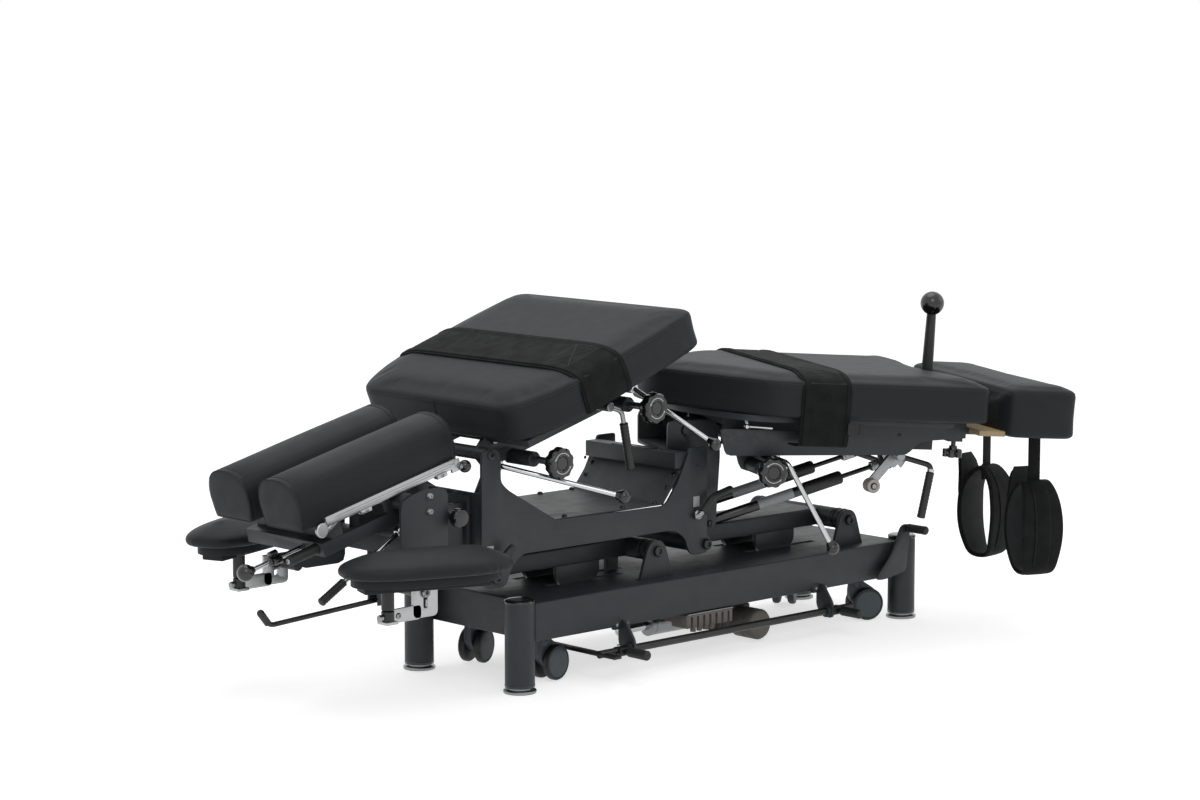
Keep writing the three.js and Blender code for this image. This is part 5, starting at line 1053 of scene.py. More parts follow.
def build_castor_lever():
    corners = [(440, 104, 24), (470, 100, 20), (543, 112, 12), (556, 216, 15), (526, 217, 15), (500, 160, 60)]
    lever = [rounded_edges(plate(corners, "XZ", (-192, -187), 14), 1), cross_rod(505, 121, (-190, -104), 8)]
    lever.append(cross_rod(545, 208, (-200, -187), 8))
    piece("castor_pedal_plate", lever, "castor_lever", "coat", replaces=["castor_lever"])
    profile = [(0, 0), (0, 9), (2, 9.6)]
    for ridge in range(7):
        profile += [(5 + ridge * 6, 9.6), (6.5 + ridge * 6, 8.8), (8.5 + ridge * 6, 8.8), (10 + ridge * 6, 9.6)]
    profile += [(51, 9.6), (53, 8.4), (54, 5), (54, 0)]
    piece("castor_pedal_grip", [turned(profile, (545, -194, 208), (545, -248, 208), 32)], "castor_lever", "rubber")


def build_castors():
    sockets = [
        turned(
            [(0, 8.3), (0, 15), (1, 16), (8, 16), (9, 15), (9, 8.3)], (466 * end, 110 * side, 130),
            (466 * end, 110 * side, 120), 32
        )
        for end in (-1, 1) for side in SIDES
    ]
    carried("castor_frame", "castor_rocking_frame", "castor_frame", "coat")
    piece("castor_sockets", sockets, "castor_frame", "zinc")
    number = 0
    for end in (-1, 1):
        for side in SIDES:
            number += 1
            place = BASE @ at(466 * end, 110 * side) @ about_axis(CASTOR_HEADINGS[number], "Z")
            corners = [
                (-17, 66, 8.5), (-16, 50, 10), (4, 26, 15), (30, 22, 18), (52, 40, 18), (48, 66, 20), (24, 82, 12),
                (14, 89, 5), (-14, 89, 5),
            ]
            body = plate(corners, "XZ", (-8.6, 8.6), 10)
            rounded_edges(body, 1.6, 3)
            neck = turned(
                [(0, 0), (0, 12), (2, 13.5), (13, 13.5), (15, 12), (18, 9), (18, 0)], (0, 0, 73), (0, 0, 92), 40
            )
            fork = f"castor_fork_{number}"
            piece(f"{fork}_housing", [body, neck], fork, "castor", where=place, replaces=[fork])
            piece(f"{fork}_stem", [
                post(0, 0, (70, 145), 8, sides=32),
                turned([(0, 0), (0, 12), (2.2, 12), (2.6, 11), (2.6, 0)], (0, 0, 92), (0, 0, 96), 32),
            ], fork, "zinc", where=place)
            tyres, discs = [], []
            for hand in SIDES:
                tyres.append(turned(
                    [
                        (0, 0), (0, 30), (0.6, 33), (3.5, 35.4), (6, 36), (12.5, 36), (14.8, 34.6), (15.6, 32.4),
                        (15, 30.8), (12, 30.8), (12, 0)
                    ],
                    (22, hand * 9.6, 38), (22, hand * 26, 38),
                ))
                discs.append(turned(
                    [(11, 0), (11, 30.6), (14.4, 30.6), (15.6, 29.4), (16.2, 25), (16.6, 14), (16.7, 0)],
                    (22, hand * 9.6, 38), (22, hand * 26.2, 38),
                ))
            wheels = f"castor_wheels_{number}"
            tyres.append(cross_rod(22, 38, (-20, 20), 5, sides=24))
            piece(f"{wheels}_tyres", tyres, wheels, "rubber", where=place, replaces=[wheels])
            piece(f"{wheels}_discs", discs, wheels, "castor", where=place)


# Upper frame
SIDE_PLATE = [
    (-653, 214, 26), (-590, 214, 14), (-576, 250, 14), (-548, 274, 14), (-128, 274, 20), (-96, 254, 16),
    (-82, 214, 20), (-32, 214, 26), (-32, 441, 6), (-83, 441, 6), (-88, 428, 6), (-119, 371, 8), (-153, 328, 14),
    (-454, 331, 14), (-586, 407, 14), (-603, 424, 10), (-603, 491, 26), (-653, 491, 26),
]


def build_upper_frame():
    for side, word in SIDES.items():
        name = f"side_plate_{word}"
        sheet = rounded_edges(plate(SIDE_PLATE, "XZ", (137, 143), 10), 0.9)
        pins = [cross_rod(along, up, (123, 140), 8, sides=32) for along, up in ((-618, 234), (-35, 234), (-628, 480))]
        piece(f"{name}_sheet", flipped([sheet, pins], side), "upper_frame", "coat", replaces=[name])
        bolts = [
            turned(
                [(0, 0), (0, 11.4), (3, 11.6), (7, 11), (8.8, 9), (8.8, 5.4), (6, 4.8), (6, 0)], (along, 143, up),
                (along, 152, up), 32
            )
            for along, up in ((-618, 234), (-35, 234))
        ]
        bolts += [screw((along, 143, up), (0, 1, 0), 3.4, 2) for along, up in ((-115, 395), (-62, 400))]
        piece(f"{name}_bolts", flipped(bolts, side), "upper_frame", "satin black")
        hinge = [turned(
            [(0, 0), (0, 9.5), (2, 9.5), (2.6, 8.6), (2.6, 4), (0.8, 3.6), (0.8, 0)],
            (-628, 143, 480), (-628, 146, 480), 32,
        )]
        piece(f"{name}_hinge_pin", flipped(hinge, side), "upper_frame", "satin black")
    carried("frame_cover", "frame_cover_sheet", "upper_frame", "coat", edge=0.9)
    buttons = []
    for side in SIDES:
        for along, up, normal in (
            (-560, 333, (0, 0, 1)), (-420, 333, (0, 0, 1)), (-260, 333, (0, 0, 1)), (-170, 333, (0, 0, 1)),
        ):
            buttons.append(screw((along, side * 126, up), normal, 6, 5))
        buttons.append(screw((-131, side * 124, 361), (-0.77, 0, 0.64), 6, 5))
        buttons.append(screw((-112, side * 124, 385), (-0.77, 0, 0.64), 6, 5))
    piece("frame_cover_buttons", buttons, "upper_frame", "satin black")
    rail = [block((-117, -95), (-60, 60), (433, 434.6))]
    piece("frame_cover_slip", rounded_edges(rail, 0.5), "upper_frame", "satin black")
    build_lock_levers()
    for name, along, up in (("head", -632, 262), ("foot", -64, 300)):
        face = rounded_edges(block((along - 9, along + 9), (-143.6, -142.8), (up + 16, up + 38)), 0.4)
        piece(f"bare_label_{name}", [face], "upper_frame", "label plate")


def build_lock_levers():
    hub = [turned(
        [(0, 0), (0, 9.5), (2, 11), (10, 11), (12, 9.5), (13, 7), (13, 0)],
        (-632, -143.3, 262), (-632, -157, 262), 32,
    )]
    start, end = Vector((-632, -160, 262)), Vector((-588, -164, 297))
    hub.append(rod(start, start.lerp(end, 0.4), 5, sides=24))
    piece("lock_lever_head_hub", hub, "grip_lever_head", "zinc", replaces=["grip_lever_head"])
    grip = turned([(0, 0), (0, 6.5), (3, 8), (38, 8.4), (42, 7.6), (44, 5), (44, 0)], start.lerp(end, 0.22), end, 32)
    piece("lock_lever_head_grip", [grip], "grip_lever_head", "rubber")
    hub = [turned([(0, 0), (0, 9.5), (2, 11), (7, 11), (9, 9), (9, 0)], (-64, -143.3, 300), (-64, -153, 300), 32)]
    hub.append(bent_rod([(-78, -152, 297), (-64, -156, 300), (-28, -156, 334)], 5, 8))
    piece("lock_lever_foot_hub", hub, "grip_lever_foot", "zinc", replaces=["grip_lever_foot"])
    path = bend_path([(-58, -156, 306), (-28, -156, 334), (22, -156, 345)], 14)
    grip = [swept(path, 8, 28), ball((22, -156, 345), 8)]
    piece("lock_lever_foot_grip", grip, "grip_lever_foot", "rubber")


# Knobs and levers
def scalloped_knob(along, up, across, name, body, where, neck_end):
    """A lobed tension knob with a hollow centre, its boss and its stem."""
    place = where @ at(along, 0, up)
    points = []
    for step in range(96):
        turn = 2 * math.pi * step / 96
        reach = 31 + 1.2 * math.cos(10 * turn)
        points.append((math.cos(turn) * reach, math.sin(turn) * reach))
    profile = [
        (0, -4), (1.6, -1), (4.5, 0), (13, 0), (17.4, -1), (19.6, -3.4), (20, -6.5), (19.8, -9), (19.4, -14),
        (18.6, -16), (17, -17),
    ]
    rings = [
        [(x * (1 + inset / 31), across[0] + depth, z * (1 + inset / 31)) for x, z in points]
        for depth, inset in [(20 - depth, inset) for depth, inset in profile]
    ]
    disc = lofted(rings)
    centre = turned(
        [(0, 0), (0, 12.4), (0.8, 13), (1.6, 12), (1.6, 0)], (0, across[0] + 3, 0), (0, across[0] - 1, 0), 40
    )
    collar = turned([(0, 0), (0, 21), (9, 21), (12, 18), (12, 0)], (0, across[1], 0), (0, across[1] + 12, 0), 40)
    piece(name + "_disc", [disc, centre, collar], body, "plastic", where=place, replaces=[name])
    shaft = [
        rod((0, across[1] + 10, 0), (0, neck_end, 0), 7, sides=32),
        turned(
            [(0, 0), (0, 11), (1, 12), (9, 12), (10, 11), (10, 0)], (0, across[1] + 13, 0), (0, across[1] + 24, 0), 40
        ),
    ]
    piece(name + "_shaft", shaft, body, "zinc", where=place)
    arcs = []
    for start_angle in (20, 200):
        path = []
        for step in range(15):
            turn = math.radians(start_angle + 8 * step)
            path.append((math.cos(turn) * 20.4, across[0] + 0.3, math.sin(turn) * 20.4))
        arcs.append(swept(path, 0.9, 8))
        tip = Vector(path[-1])
        along_arc = (tip - Vector(path[-2])).normalized()
        arcs.append(rod(tip, tip + along_arc * 5, 2.1, 0.1, 12))
    piece(name + "_arrows", arcs, body, "white paint", where=place)


LEVER_RADIUS = 5.5


def cocking_lever(name, body, where, hub_at, hub_across, path):
    """A chrome rod bent out of its hub, with a glossy ball on its end."""
    along, up = hub_at
    hub = turned(
        [(0, 0), (0, 9.6), (1.4, 11), (hub_across[1] - hub_across[0] - 1.4, 11), (hub_across[1] - hub_across[0], 9.6),
         (hub_across[1] - hub_across[0], 0)],
        (along, hub_across[0], up), (along, hub_across[1], up), 40,
    )
    bar = bent_rod(path, LEVER_RADIUS, 16, 28)
    piece(name + "_rod", [hub, bar], body, "chrome", where=where, replaces=[name])
    end = Vector(path[-1])
    back = (Vector(path[-2]) - end).normalized()
    knob = [ball(end, 13.5), rod(end + back * 8, end + back * 17, 10.5, 7, 32)]
    piece(name + "_ball", knob, body, "plastic", where=where)


def ribbed_grip(start, end, radius, ridges=12):
    start, end = Vector(start), Vector(end)
    length = (end - start).length
    profile = [(0, 0), (0, radius * 0.8), (1.5, radius)]
    pitch = (length - 10) / ridges
    for ridge in range(ridges):
        low = 4 + pitch * ridge
        profile += [
            (low, radius), (low + pitch * 0.25, radius * 0.95), (low + pitch * 0.6, radius * 0.95),
            (low + pitch * 0.85, radius)
        ]
    profile += [(length - 3, radius), (length - 0.8, radius * 0.75), (length, 0)]
    return turned(profile, start, end, 32)


def gas_spring(name, body, place, node, tube, rod_radius, ends):
    """The eye and tube of a gas spring along X of its place; gives its rod's form."""
    eye_radius, tube_radius = tube
    tube_end, rod_end = ends
    parts = [
        rounded_edges(cross_rod(0, 0, (-8, 8), eye_radius), 1), rod((0, 0, 0), (18, 0, 0), eye_radius * 0.6, sides=24),
        turned(
            [(12, 0), (12, tube_radius * 0.8), (16, tube_radius), (tube_end - 5, tube_radius), (
                tube_end - 3, tube_radius * 0.9
            ),
             (tube_end, tube_radius * 0.85), (tube_end, 0)],
            (0, 0, 0), (1, 0, 0), 40,
        ),
    ]
    piece(name, parts, body, "spring black", where=place, replaces=[node])
    return rod((tube_end - 6, 0, 0), (rod_end - 4, 0, 0), rod_radius, sides=28)


# Thoracic section
THORACIC_OUTLINE = [
    (2, -232, 46), (119, -281, 60), (389, -281, 60), (502, -268, 34),
    (502, 268, 34), (389, 281, 60), (119, 281, 60), (2, 232, 46),
]
PELVIC_NEAR = [
    (-82, -55, 40), (104, -250, 60), (150, -281, 40), (615, -281, 26), (615, -72, 22), (578, -40, 22), (546, 0, 22)
]
PELVIC_OUTLINE = PELVIC_NEAR + [(along, -across, cut_back) for along, across, cut_back in PELVIC_NEAR[-2::-1]]
FOOT_OUTLINE = [(660, -272, 30), (822, -272, 30), (822, 272, 30), (660, 272, 30)]
COVERS = {
    "thoracic": dict(outline=THORACIC_OUTLINE, bottom=29, seam=99, crown=17),
    "pelvic": dict(outline=PELVIC_OUTLINE, bottom=51, seam=121, crown=17),
    "foot": dict(outline=FOOT_OUTLINE, bottom=23, seam=118, crown=13),
}


def cushion_form(name):
    cover = COVERS[name]
    bottom, seam, crown = cover["bottom"], cover["seam"], cover["crown"]
    form = soft_form(cover["outline"], cushion_levels(bottom, seam, crown))
    swelled(form, bottom, bpy.context.scene.table_sizes.cushion_swell)
    return seamed(form, seam)


def strap_over(name, cushion, along, sides_to, body, where, replaces, box_at, tail=0):
    """A wide strap that hugs a cushion over its top and down its sides, with bound edges."""
    tree = surface_of(cushion)
    reach = 400
    tops = [-250 + 500 * step / 40 for step in range(41)]
    seam = sides_to[1]
    casts = [((-reach, up), (1, 0)) for up in [sides_to[0] + (seam - 22 - sides_to[0]) * step / 8 for step in range(9)]]
    for step in range(1, 8):
        turn = math.radians(90 * step / 8)
        start = (-240 - 200 * math.cos(turn), seam - 22 + 200 * math.sin(turn))
        casts.append((start, (math.cos(turn), -math.sin(turn))))
    casts += [((across, reach), (0, -1)) for across in tops[1:-1]]
    casts += [((-spot[0], spot[1]), (-aim[0], aim[1])) for spot, aim in reversed(casts[:16])]
    low, high = along
    columns = [(low - 7, 0.3), (low - 1, 0.5), (low, 2), (low + 0.8, 3.8), (low + 10, 3.8), (low + 11, 1.6)]
    columns += [(low + 11 + (high - low - 19) * step / 6, 1.6) for step in range(1, 6)]
    columns += [(high - 8, 1.6), (high - 7, 3.2), (high - 0.8, 3.2), (high, 1.2)]
    rows = []
    for spot, aim in casts:
        row = []
        for place, lift in columns:
            hit = tree.ray_cast(Vector((place, *spot)) * MM, Vector((0, *aim)))[0]
            hit = Vector((place, *spot)) * MM + Vector((0, *aim)) * 0.14 if hit is None else hit
            row.append(hit / MM - Vector((0, *aim)) * lift)
        rows.append(row)
    for _ in range(4):
        rows = [rows[0]] + [
            [(before + 2 * here + after) / 4 for before, here, after in zip(rows[row - 1], rows[row], rows[row + 1])]
            for row in range(1, len(rows) - 1)
        ] + [rows[-1]]
    width = len(columns)
    if tail:
        for end, first in ((0, rows[0]), (1, rows[-1])):
            side = -1 if end == 0 else 1
            turned_in = []
            for drop, inward in ((14, 0.5), (tail - 8, 1.5), (tail - 2, 6), (tail, 14), (tail + 1, 60)):
                turned_in.append([Vector((spot.x, spot.y - side * inward, spot.z - drop)) for spot in first])
            rows = turned_in[::-1] + rows if end == 0 else rows + turned_in
    points = [spot for row in rows for spot in row]
    faces = [
        [row * width + column, row * width + column + 1, (row + 1) * width + column + 1, (row + 1) * width + column]
        for row in range(len(rows) - 1) for column in range(width - 1)
    ]
    strap = new_mesh(points, faces)
    edit(strap)
    bpy.ops.mesh.normals_make_consistent(inside=False)
    bpy.ops.object.mode_set(mode="OBJECT")
    middle = min(strap.data.polygons, key=lambda face: (face.center - Vector(((low + high) / 2, 0, 150)) * MM).length)
    if middle.normal.z < 0:
        edit(strap)
        bpy.ops.mesh.flip_normals()
        bpy.ops.object.mode_set(mode="OBJECT")
    apply_modifier(strap, "SOLIDIFY", thickness=3.2 * MM, offset=1)
    rounded_edges(strap, 0.8)
    apply_modifier(strap, "SUBSURF", levels=1, render_levels=1)
    outer = surface_of(strap)
    threads = []

    def laid(start, end, count=24):
        path = []
        for step in range(count + 1):
            spot = Vector(start).lerp(Vector(end), step / count)
            hit = outer.ray_cast(Vector((spot.x, spot.y, reach)) * MM, Vector((0, 0, -1)))[0]
            if hit:
                path.append(hit / MM + Vector((0, 0, 0.1)))
        return swept(path, 0.75, 8)

    box_low, box_high = box_at
    corners = [(low + 14, box_low), (high - 14, box_low), (high - 14, box_high), (low + 14, box_high)]
    for start, end in ((0, 1), (1, 2), (2, 3), (3, 0), (0, 2), (1, 3)):
        threads.append(laid(corners[start], corners[end]))
    for edge in (low + 13, high - 9.5):
        threads.append(laid((edge, -236), (edge, 236), 60))
    made = piece(name, [strap], body, "webbing", where=where, replaces=replaces)
    # The stitches take the lighter thread finish, which paints a highlight along the raised thread
    piece(name + "_stitches", threads, body, "thread", where=where)
    return made


def build_thoracic_cushion():
    form = cushion_form("thoracic")
    strap_over(
        "thoracic_strap_band", form, (158, 272), (33, 99), "thoracic_top", THORACIC, ["thoracic_strap"], (-232, -172)
    )
    threads = [welt(form, THORACIC_OUTLINE, 99.6)]
    surface = surface_of(form)
    casts = [surface.ray_cast(Vector((-60, 0, up)) * MM, Vector((1, 0, 0)))[0] for up in range(36, 108, 6)]
    threads.append(swept([hit / MM - Vector((0.2, 0, 0)) for hit in casts if hit], 0.9, 8))
    padded_piece("thoracic_cover", form, "thoracic_top", "vinyl", THORACIC, ["thoracic_cushion"])
    piece("thoracic_seams", threads, "thoracic_top", "stitching", where=THORACIC)


def build_thoracic_frame():
    carried("thoracic_frame", "thoracic_frame_steel", "thoracic_frame", "coat", edge=1.0)
    sleeves = [
        turned([(0, 0), (0, 11.5), (1, 13.2), (266, 13.2), (267, 11.5), (267, 0)], (0, -133.5, 0), (0, 133.5, 0)),
    ]
    sleeves += [
        turned(
            [(0, 0), (0, 13.6), (1.6, 15.3), (76, 15.3), (78, 13.4), (78, 8)], (along, -100, up), (along, -178, up),
            40
        )
        for along, up in ((74, -40), (343, -44))
    ]
    piece("thoracic_sleeves", sleeves, "thoracic_frame", "coat", where=THORACIC)
    bolts = [
        turned(
            [(0, 0), (0, 8), (1.5, 9), (6, 9), (7, 8), (7, 4), (4, 4), (4, 0)], (along, side * 111, up),
            (along, side * 119, up), 24
        )
        for along, up in ((40, 12), (210, -30), (420, 8)) for side in SIDES
    ]
    bolts += [
        rounded_edges(rod((along, side * 110.5, up), (along, side * 116, up), 8, sides=6), 0.5) for along,
        up in ((120, -8), (300, -18)) for side in SIDES
    ]
    piece("thoracic_bolts", bolts, "thoracic_frame", "zinc", where=THORACIC)
    scalloped_knob(74, -40, (-260, -240), "tension_knob_head", "tension_knob_head", THORACIC, -178.3)
    scalloped_knob(343, -44, (-260, -240), "tension_knob_foot", "tension_knob_foot", THORACIC, -178.3)
    cocking_lever(
        "cocking_lever_head", "cocking_lever_head", THORACIC, (24, -36), (-129, -111.3),
        [(24, -114, -36), (24, -125, -36), (40, -146, -49), (175, -290, -156)],
    )
    cocking_lever(
        "cocking_lever_foot", "cocking_lever_foot", THORACIC, (398, -36), (-142, -128.3),
        [(398, -128, -36), (398, -138, -36), (402, -158, -51), (431, -300, -160)],
    )
    hub = [
        turned([(0, 0), (0, 8), (1, 9.4), (75.7, 9.4), (76.7, 8), (76.7, 0)], (285, -191, -22), (285, -114.3, -22), 32),
        bent_rod([(285, -186, -22), (313, -186, -44), (304, -186, -104)], 5, 12, 24),
    ]
    piece("tilt_lever_rod", hub, "tilt_lever", "zinc", where=THORACIC, replaces=["tilt_lever"])
    start, end = Vector((313, -186, -44)), Vector((296, -186, -166))
    piece("tilt_lever_grip", [ribbed_grip(start.lerp(end, 0.2), end, 9)], "tilt_lever", "rubber", where=THORACIC)
    place = BASE @ at(-590, -40, 352) @ about_axis(-62, "Y")
    bar = gas_spring(
        "tilt_spring_tube", "tilt_spring_body", place, "tilt_spring_body_thoracic", (10, 10), 4, (94, 137)
    )
    fork = rounded_edges([cross_rod(137, 0, (-8, 8), 8), block((122, 137), (-6, 6), (-6, 6))], 0.8)
    piece(
        "tilt_spring_bar", [bar, fork], "tilt_spring_rod", "chrome", where=place,
        replaces=["tilt_spring_rod_thoracic"]
    )


# Leg section
def build_leg_frame():
    carried("leg_swivel", "leg_swivel_box", "leg_swivel", "coat", edge=1.0)
    carried("leg_frame", "leg_frame_steel", "leg_frame", "coat", edge=1.0)
    bolts = []
    for side in SIDES:
        bolts.append(turned(
            [(0, 0), (0, 11.4), (2, 11.6), (6, 11), (8.6, 9), (8.6, 5.4), (6, 4.8), (6, 0)],
            (0, side * 99.4, 470), (0, side * 108, 470), 32,
        ))
        bolts.append(screw((54, side * 99.5, 269), (0, side, 0), 7))
        bolts += [screw((along, side * 94.6, 425), (0, side, 0), 4) for along in (-20, 20)]
    piece("leg_swivel_bolts", bolts, "leg_swivel", "satin black", where=SWING)
    screws = []
    for side in SIDES:
        screws += [screw((along, side * 203, 14), (0, side, 0), 4) for along in (330, 440)]
        screws += [screw((along, side * 110, 2), (0, side, 0), 6) for along in (110, 290, 440)]
    rounded_edges(screws, 0.2)
    piece("leg_frame_screws", screws, "leg_frame", "satin black", where=FLEX)
    pin = [
        rod((96, -206, 24), (150, -206, 22), 3.4, sides=20), ball((94, -206, 24), 6.4),
        rod((94, -203, 40), (94, -206, 24), 4, sides=20)
    ]
    piece("leg_frame_latch_rod", pin, "leg_frame", "chrome", where=FLEX)
    for side, word in SIDES.items():
        place = SWING @ at(54, side * 80, 269) @ about_axis(-15.2, "Y")
        body, rod_body = f"leg_spring_body_{word}", f"leg_spring_rod_{word}"
        bar = gas_spring(f"leg_spring_tube_{word}", body, place, body, (12, 11), 5, (314, 402))
        sleeve = turned(
            [(0, 10.5), (0, 13), (2, 14.2), (86, 14.2), (89, 12.4), (89, 5.6)], (226, 0, 0), (315, 0, 0), 40
        )
        piece(f"leg_spring_sleeve_{word}", [sleeve], body, "rubber", where=place)
        label = turned([(0, 11.1), (0, 11.45), (82, 11.45), (82, 11.1)], (118, 0, 0), (200, 0, 0), 40)
        piece(f"leg_spring_label_{word}", [label], body, "label plate", where=place)
        piece(
            f"leg_spring_bar_{word}", [bar, rod((384, 0, 0), (392, 0, 0), 8, sides=6)], rod_body, "satin black",
            where=place, replaces=[rod_body]
        )
        fork = [
            rounded_edges([block((390, 412), (sign * 6 - 2.4, sign * 6 + 2.4), (-9, 9)) for sign in (-1, 1)], 1),
            rounded_edges(block((386, 394), (-8.4, 8.4), (-9, 9)), 1), cross_rod(402, 0, (-10.5, 10.5), 4, sides=20),
        ]
        piece(f"leg_spring_fork_{word}", fork, rod_body, "zinc", where=place)
    scalloped_knob(145, -67, (-250, -230), "pelvic_knob", "pelvic_knob", FLEX, -176.3)
    boss = turned(
        [(0, 0), (0, 13.6), (1.6, 15.3), (66, 15.3), (68, 13.4), (68, 8)], (145, -109, -67), (145, -177, -67), 40
    )
    piece("pelvic_knob_boss", [boss], "leg_frame", "coat", where=FLEX)
    cocking_lever(
        "pelvic_cocking_lever", "pelvic_cocking_lever", FLEX, (178, -46), (-168, -154.3),
        [(178, -156, -46), (178, -236, -46), (292, -240, -223)],
    )
    build_flexion_lever()
    handle = [
        turned([(0, 0), (0, 9.2), (36, 9.2), (36, 0)], (584, 0, 52), (584, 0, 92)),
        turned([
            (0, 0), (0, 12.2), (4, 12.6), (60, 12.2), (140, 10.8), (180, 10), (184, 11.6), (190, 12.4), (194, 12),
            (194, 0)
        ],
               (584, 0, 88.3), (584, 0, 282)),
    ]
    piece("distraction_rod", handle, "leg_frame", "satin black", where=FLEX, replaces=["distraction_handle"])
    piece("distraction_ball", [ball((584, 0, 282), 26)], "leg_frame", "plastic", where=FLEX)


def build_flexion_lever():
    metal = [
        turned([(0, 0), (0, 8), (1, 9.4), (44.7, 9.4), (45.7, 8), (45.7, 0)], (466, -164, -36), (466, -118.3, -36), 32),
        rounded_edges(
            plate([(480, -34.6, 9), (464.6, -22, 9), (399.2, -101.9, 8), (414.6, -114.5, 8)], "XZ", (-131, -125), 8),
            0.8
        ),
        rounded_edges(
            plate(
                [
                    (436, -30, 4), (470, -18, 4), (500, -44, 4), (486, -66, 3), (478, -58, 2), (470, -66, 3),
                    (450, -60, 4)
                ],
                "XZ", (-121, -118.4), 3
            ),
            0.5
        ),
        rod((412, -131, -102), (412, -157, -102), 5, sides=24),
    ]
    piece("flexion_plate", metal, "flexion_lever", "zinc", where=FLEX, replaces=["flexion_lever"])
    roller = turned(
        [
            (0, 5), (0, 14), (1.5, 15), (8, 15), (11, 13.4), (17, 13.4), (20, 15), (26.4, 15), (28, 14), (28, 8),
            (25, 8), (25, 5)
        ],
        (412, -126, -102), (412, -154, -102), 40,
    )
    piece("flexion_roller", [roller], "flexion_lever", "roller", where=FLEX)
    hub = turned([(0, 0), (0, 6.4), (2.4, 6.4), (3, 5.4), (3, 0)], (412, -152, -102), (412, -156.5, -102), 24)
    bar = bent_rod([(466, -158, -36), (540, -158, -54), (535, -158, -90)], 6, 14, 24)
    piece("flexion_rod", [bar, hub], "flexion_lever", "satin black", where=FLEX)
    start, end = Vector((540, -158, -54)), Vector((524, -158, -168))
    piece("flexion_grip", [ribbed_grip(start.lerp(end, 0.12), end, 9)], "flexion_lever", "rubber", where=FLEX)
    ring = turned([(0, 6.1), (0, 7.6), (6, 7.6), (6, 6.1)], start.lerp(end, 0.06), start.lerp(end, 0.12), 24)
    piece("flexion_collar", [ring], "flexion_lever", "chrome", where=FLEX)


def build_pelvic_cushion():
    form = cushion_form("pelvic")
    strap_over(
        "pelvic_strap_band", form, (190, 290), (55, 121), "pelvic_top", FLEX, ["pelvic_strap"], (-236, -180), tail=60
    )
    seam = welt(form, PELVIC_OUTLINE, 121.6)
    padded_piece("pelvic_cover", form, "pelvic_top", "vinyl", FLEX, ["pelvic_cushion"])
    piece("pelvic_seams", [seam], "pelvic_top", "stitching", where=FLEX)
    tab = rounded_edges(
        [block((286, 322), (-287.4, -284.6), (22, 46)), block((312, 321), (-288.6, -283.4), (23, 45))], 0.6
    )
    piece("pelvic_strap_tab", tab, "pelvic_top", "binding", where=FLEX)


# Foot section
def band(path, half_widths, inner, outer, closed=True, edge=4):
    """A padded band along a path in the YZ plane: each ring is a rounded cross-section."""
    if not isinstance(half_widths, (list, tuple)):
        half_widths = [half_widths] * len(path)
    rings = []
    count = len(path)
    for index, spot in enumerate(path):
        before = path[index - 1] if closed or index else spot
        after = path[(index + 1) % count] if closed or index < count - 1 else spot
        along = (after - before).normalized()
        out = Vector((along.y, -along.x))
        section = []
        for side, lift in ((1, 1), (-1, 1), (-1, -1), (1, -1)):
            level = outer if lift > 0 else -inner
            turn_in = edge
            for step in range(4):
                turn = math.radians(30 * step)
                if side * lift > 0:
                    wide, high = (math.cos(turn), math.sin(turn)) if side > 0 else (math.cos(turn), math.sin(turn))
                else:
                    wide, high = math.sin(turn), math.cos(turn)
                shift = (half_widths[index] - turn_in * (1 - wide)) * side
                rise = level - lift * turn_in * 0.8 * (1 - high)
                section.append((shift, rise))
        rings.append([Vector((shift, spot.x + out.x * rise, spot.y + out.y * rise)) for shift, rise in section])
    if closed:
        points = [spot for ring in rings for spot in ring]
        size = len(rings[0])
        faces = [
            [row * size + column, row * size + (column + 1) % size, ((row + 1) % count) * size + (column + 1) % size,
             ((row + 1) % count) * size + column]
            for row in range(count) for column in range(size)
        ]
        return outwards(new_mesh(points, faces))
    return lofted(rings)


CUFF_LOOP = [
    (0, -98, 24), (-38, -136, 34), (-50, -214, 44), (-30, -304, 22), (20, -306, 22), (44, -236, 44), (40, -144, 34)
][::-1]
CUFF_WIDTHS = (32, 47)
CUFF_TURN = {"near": 0, "far": 31}


def widths(path, narrow, wide):
    """Half widths of a cuff's band along its loop: wide behind the leg, narrow at its straps."""
    low = min(spot.y for spot in path)
    high = max(spot.y for spot in path)
    return [narrow + (wide - narrow) * math.sin(math.pi * (spot.y - low) / (high - low)) ** 0.7 for spot in path]


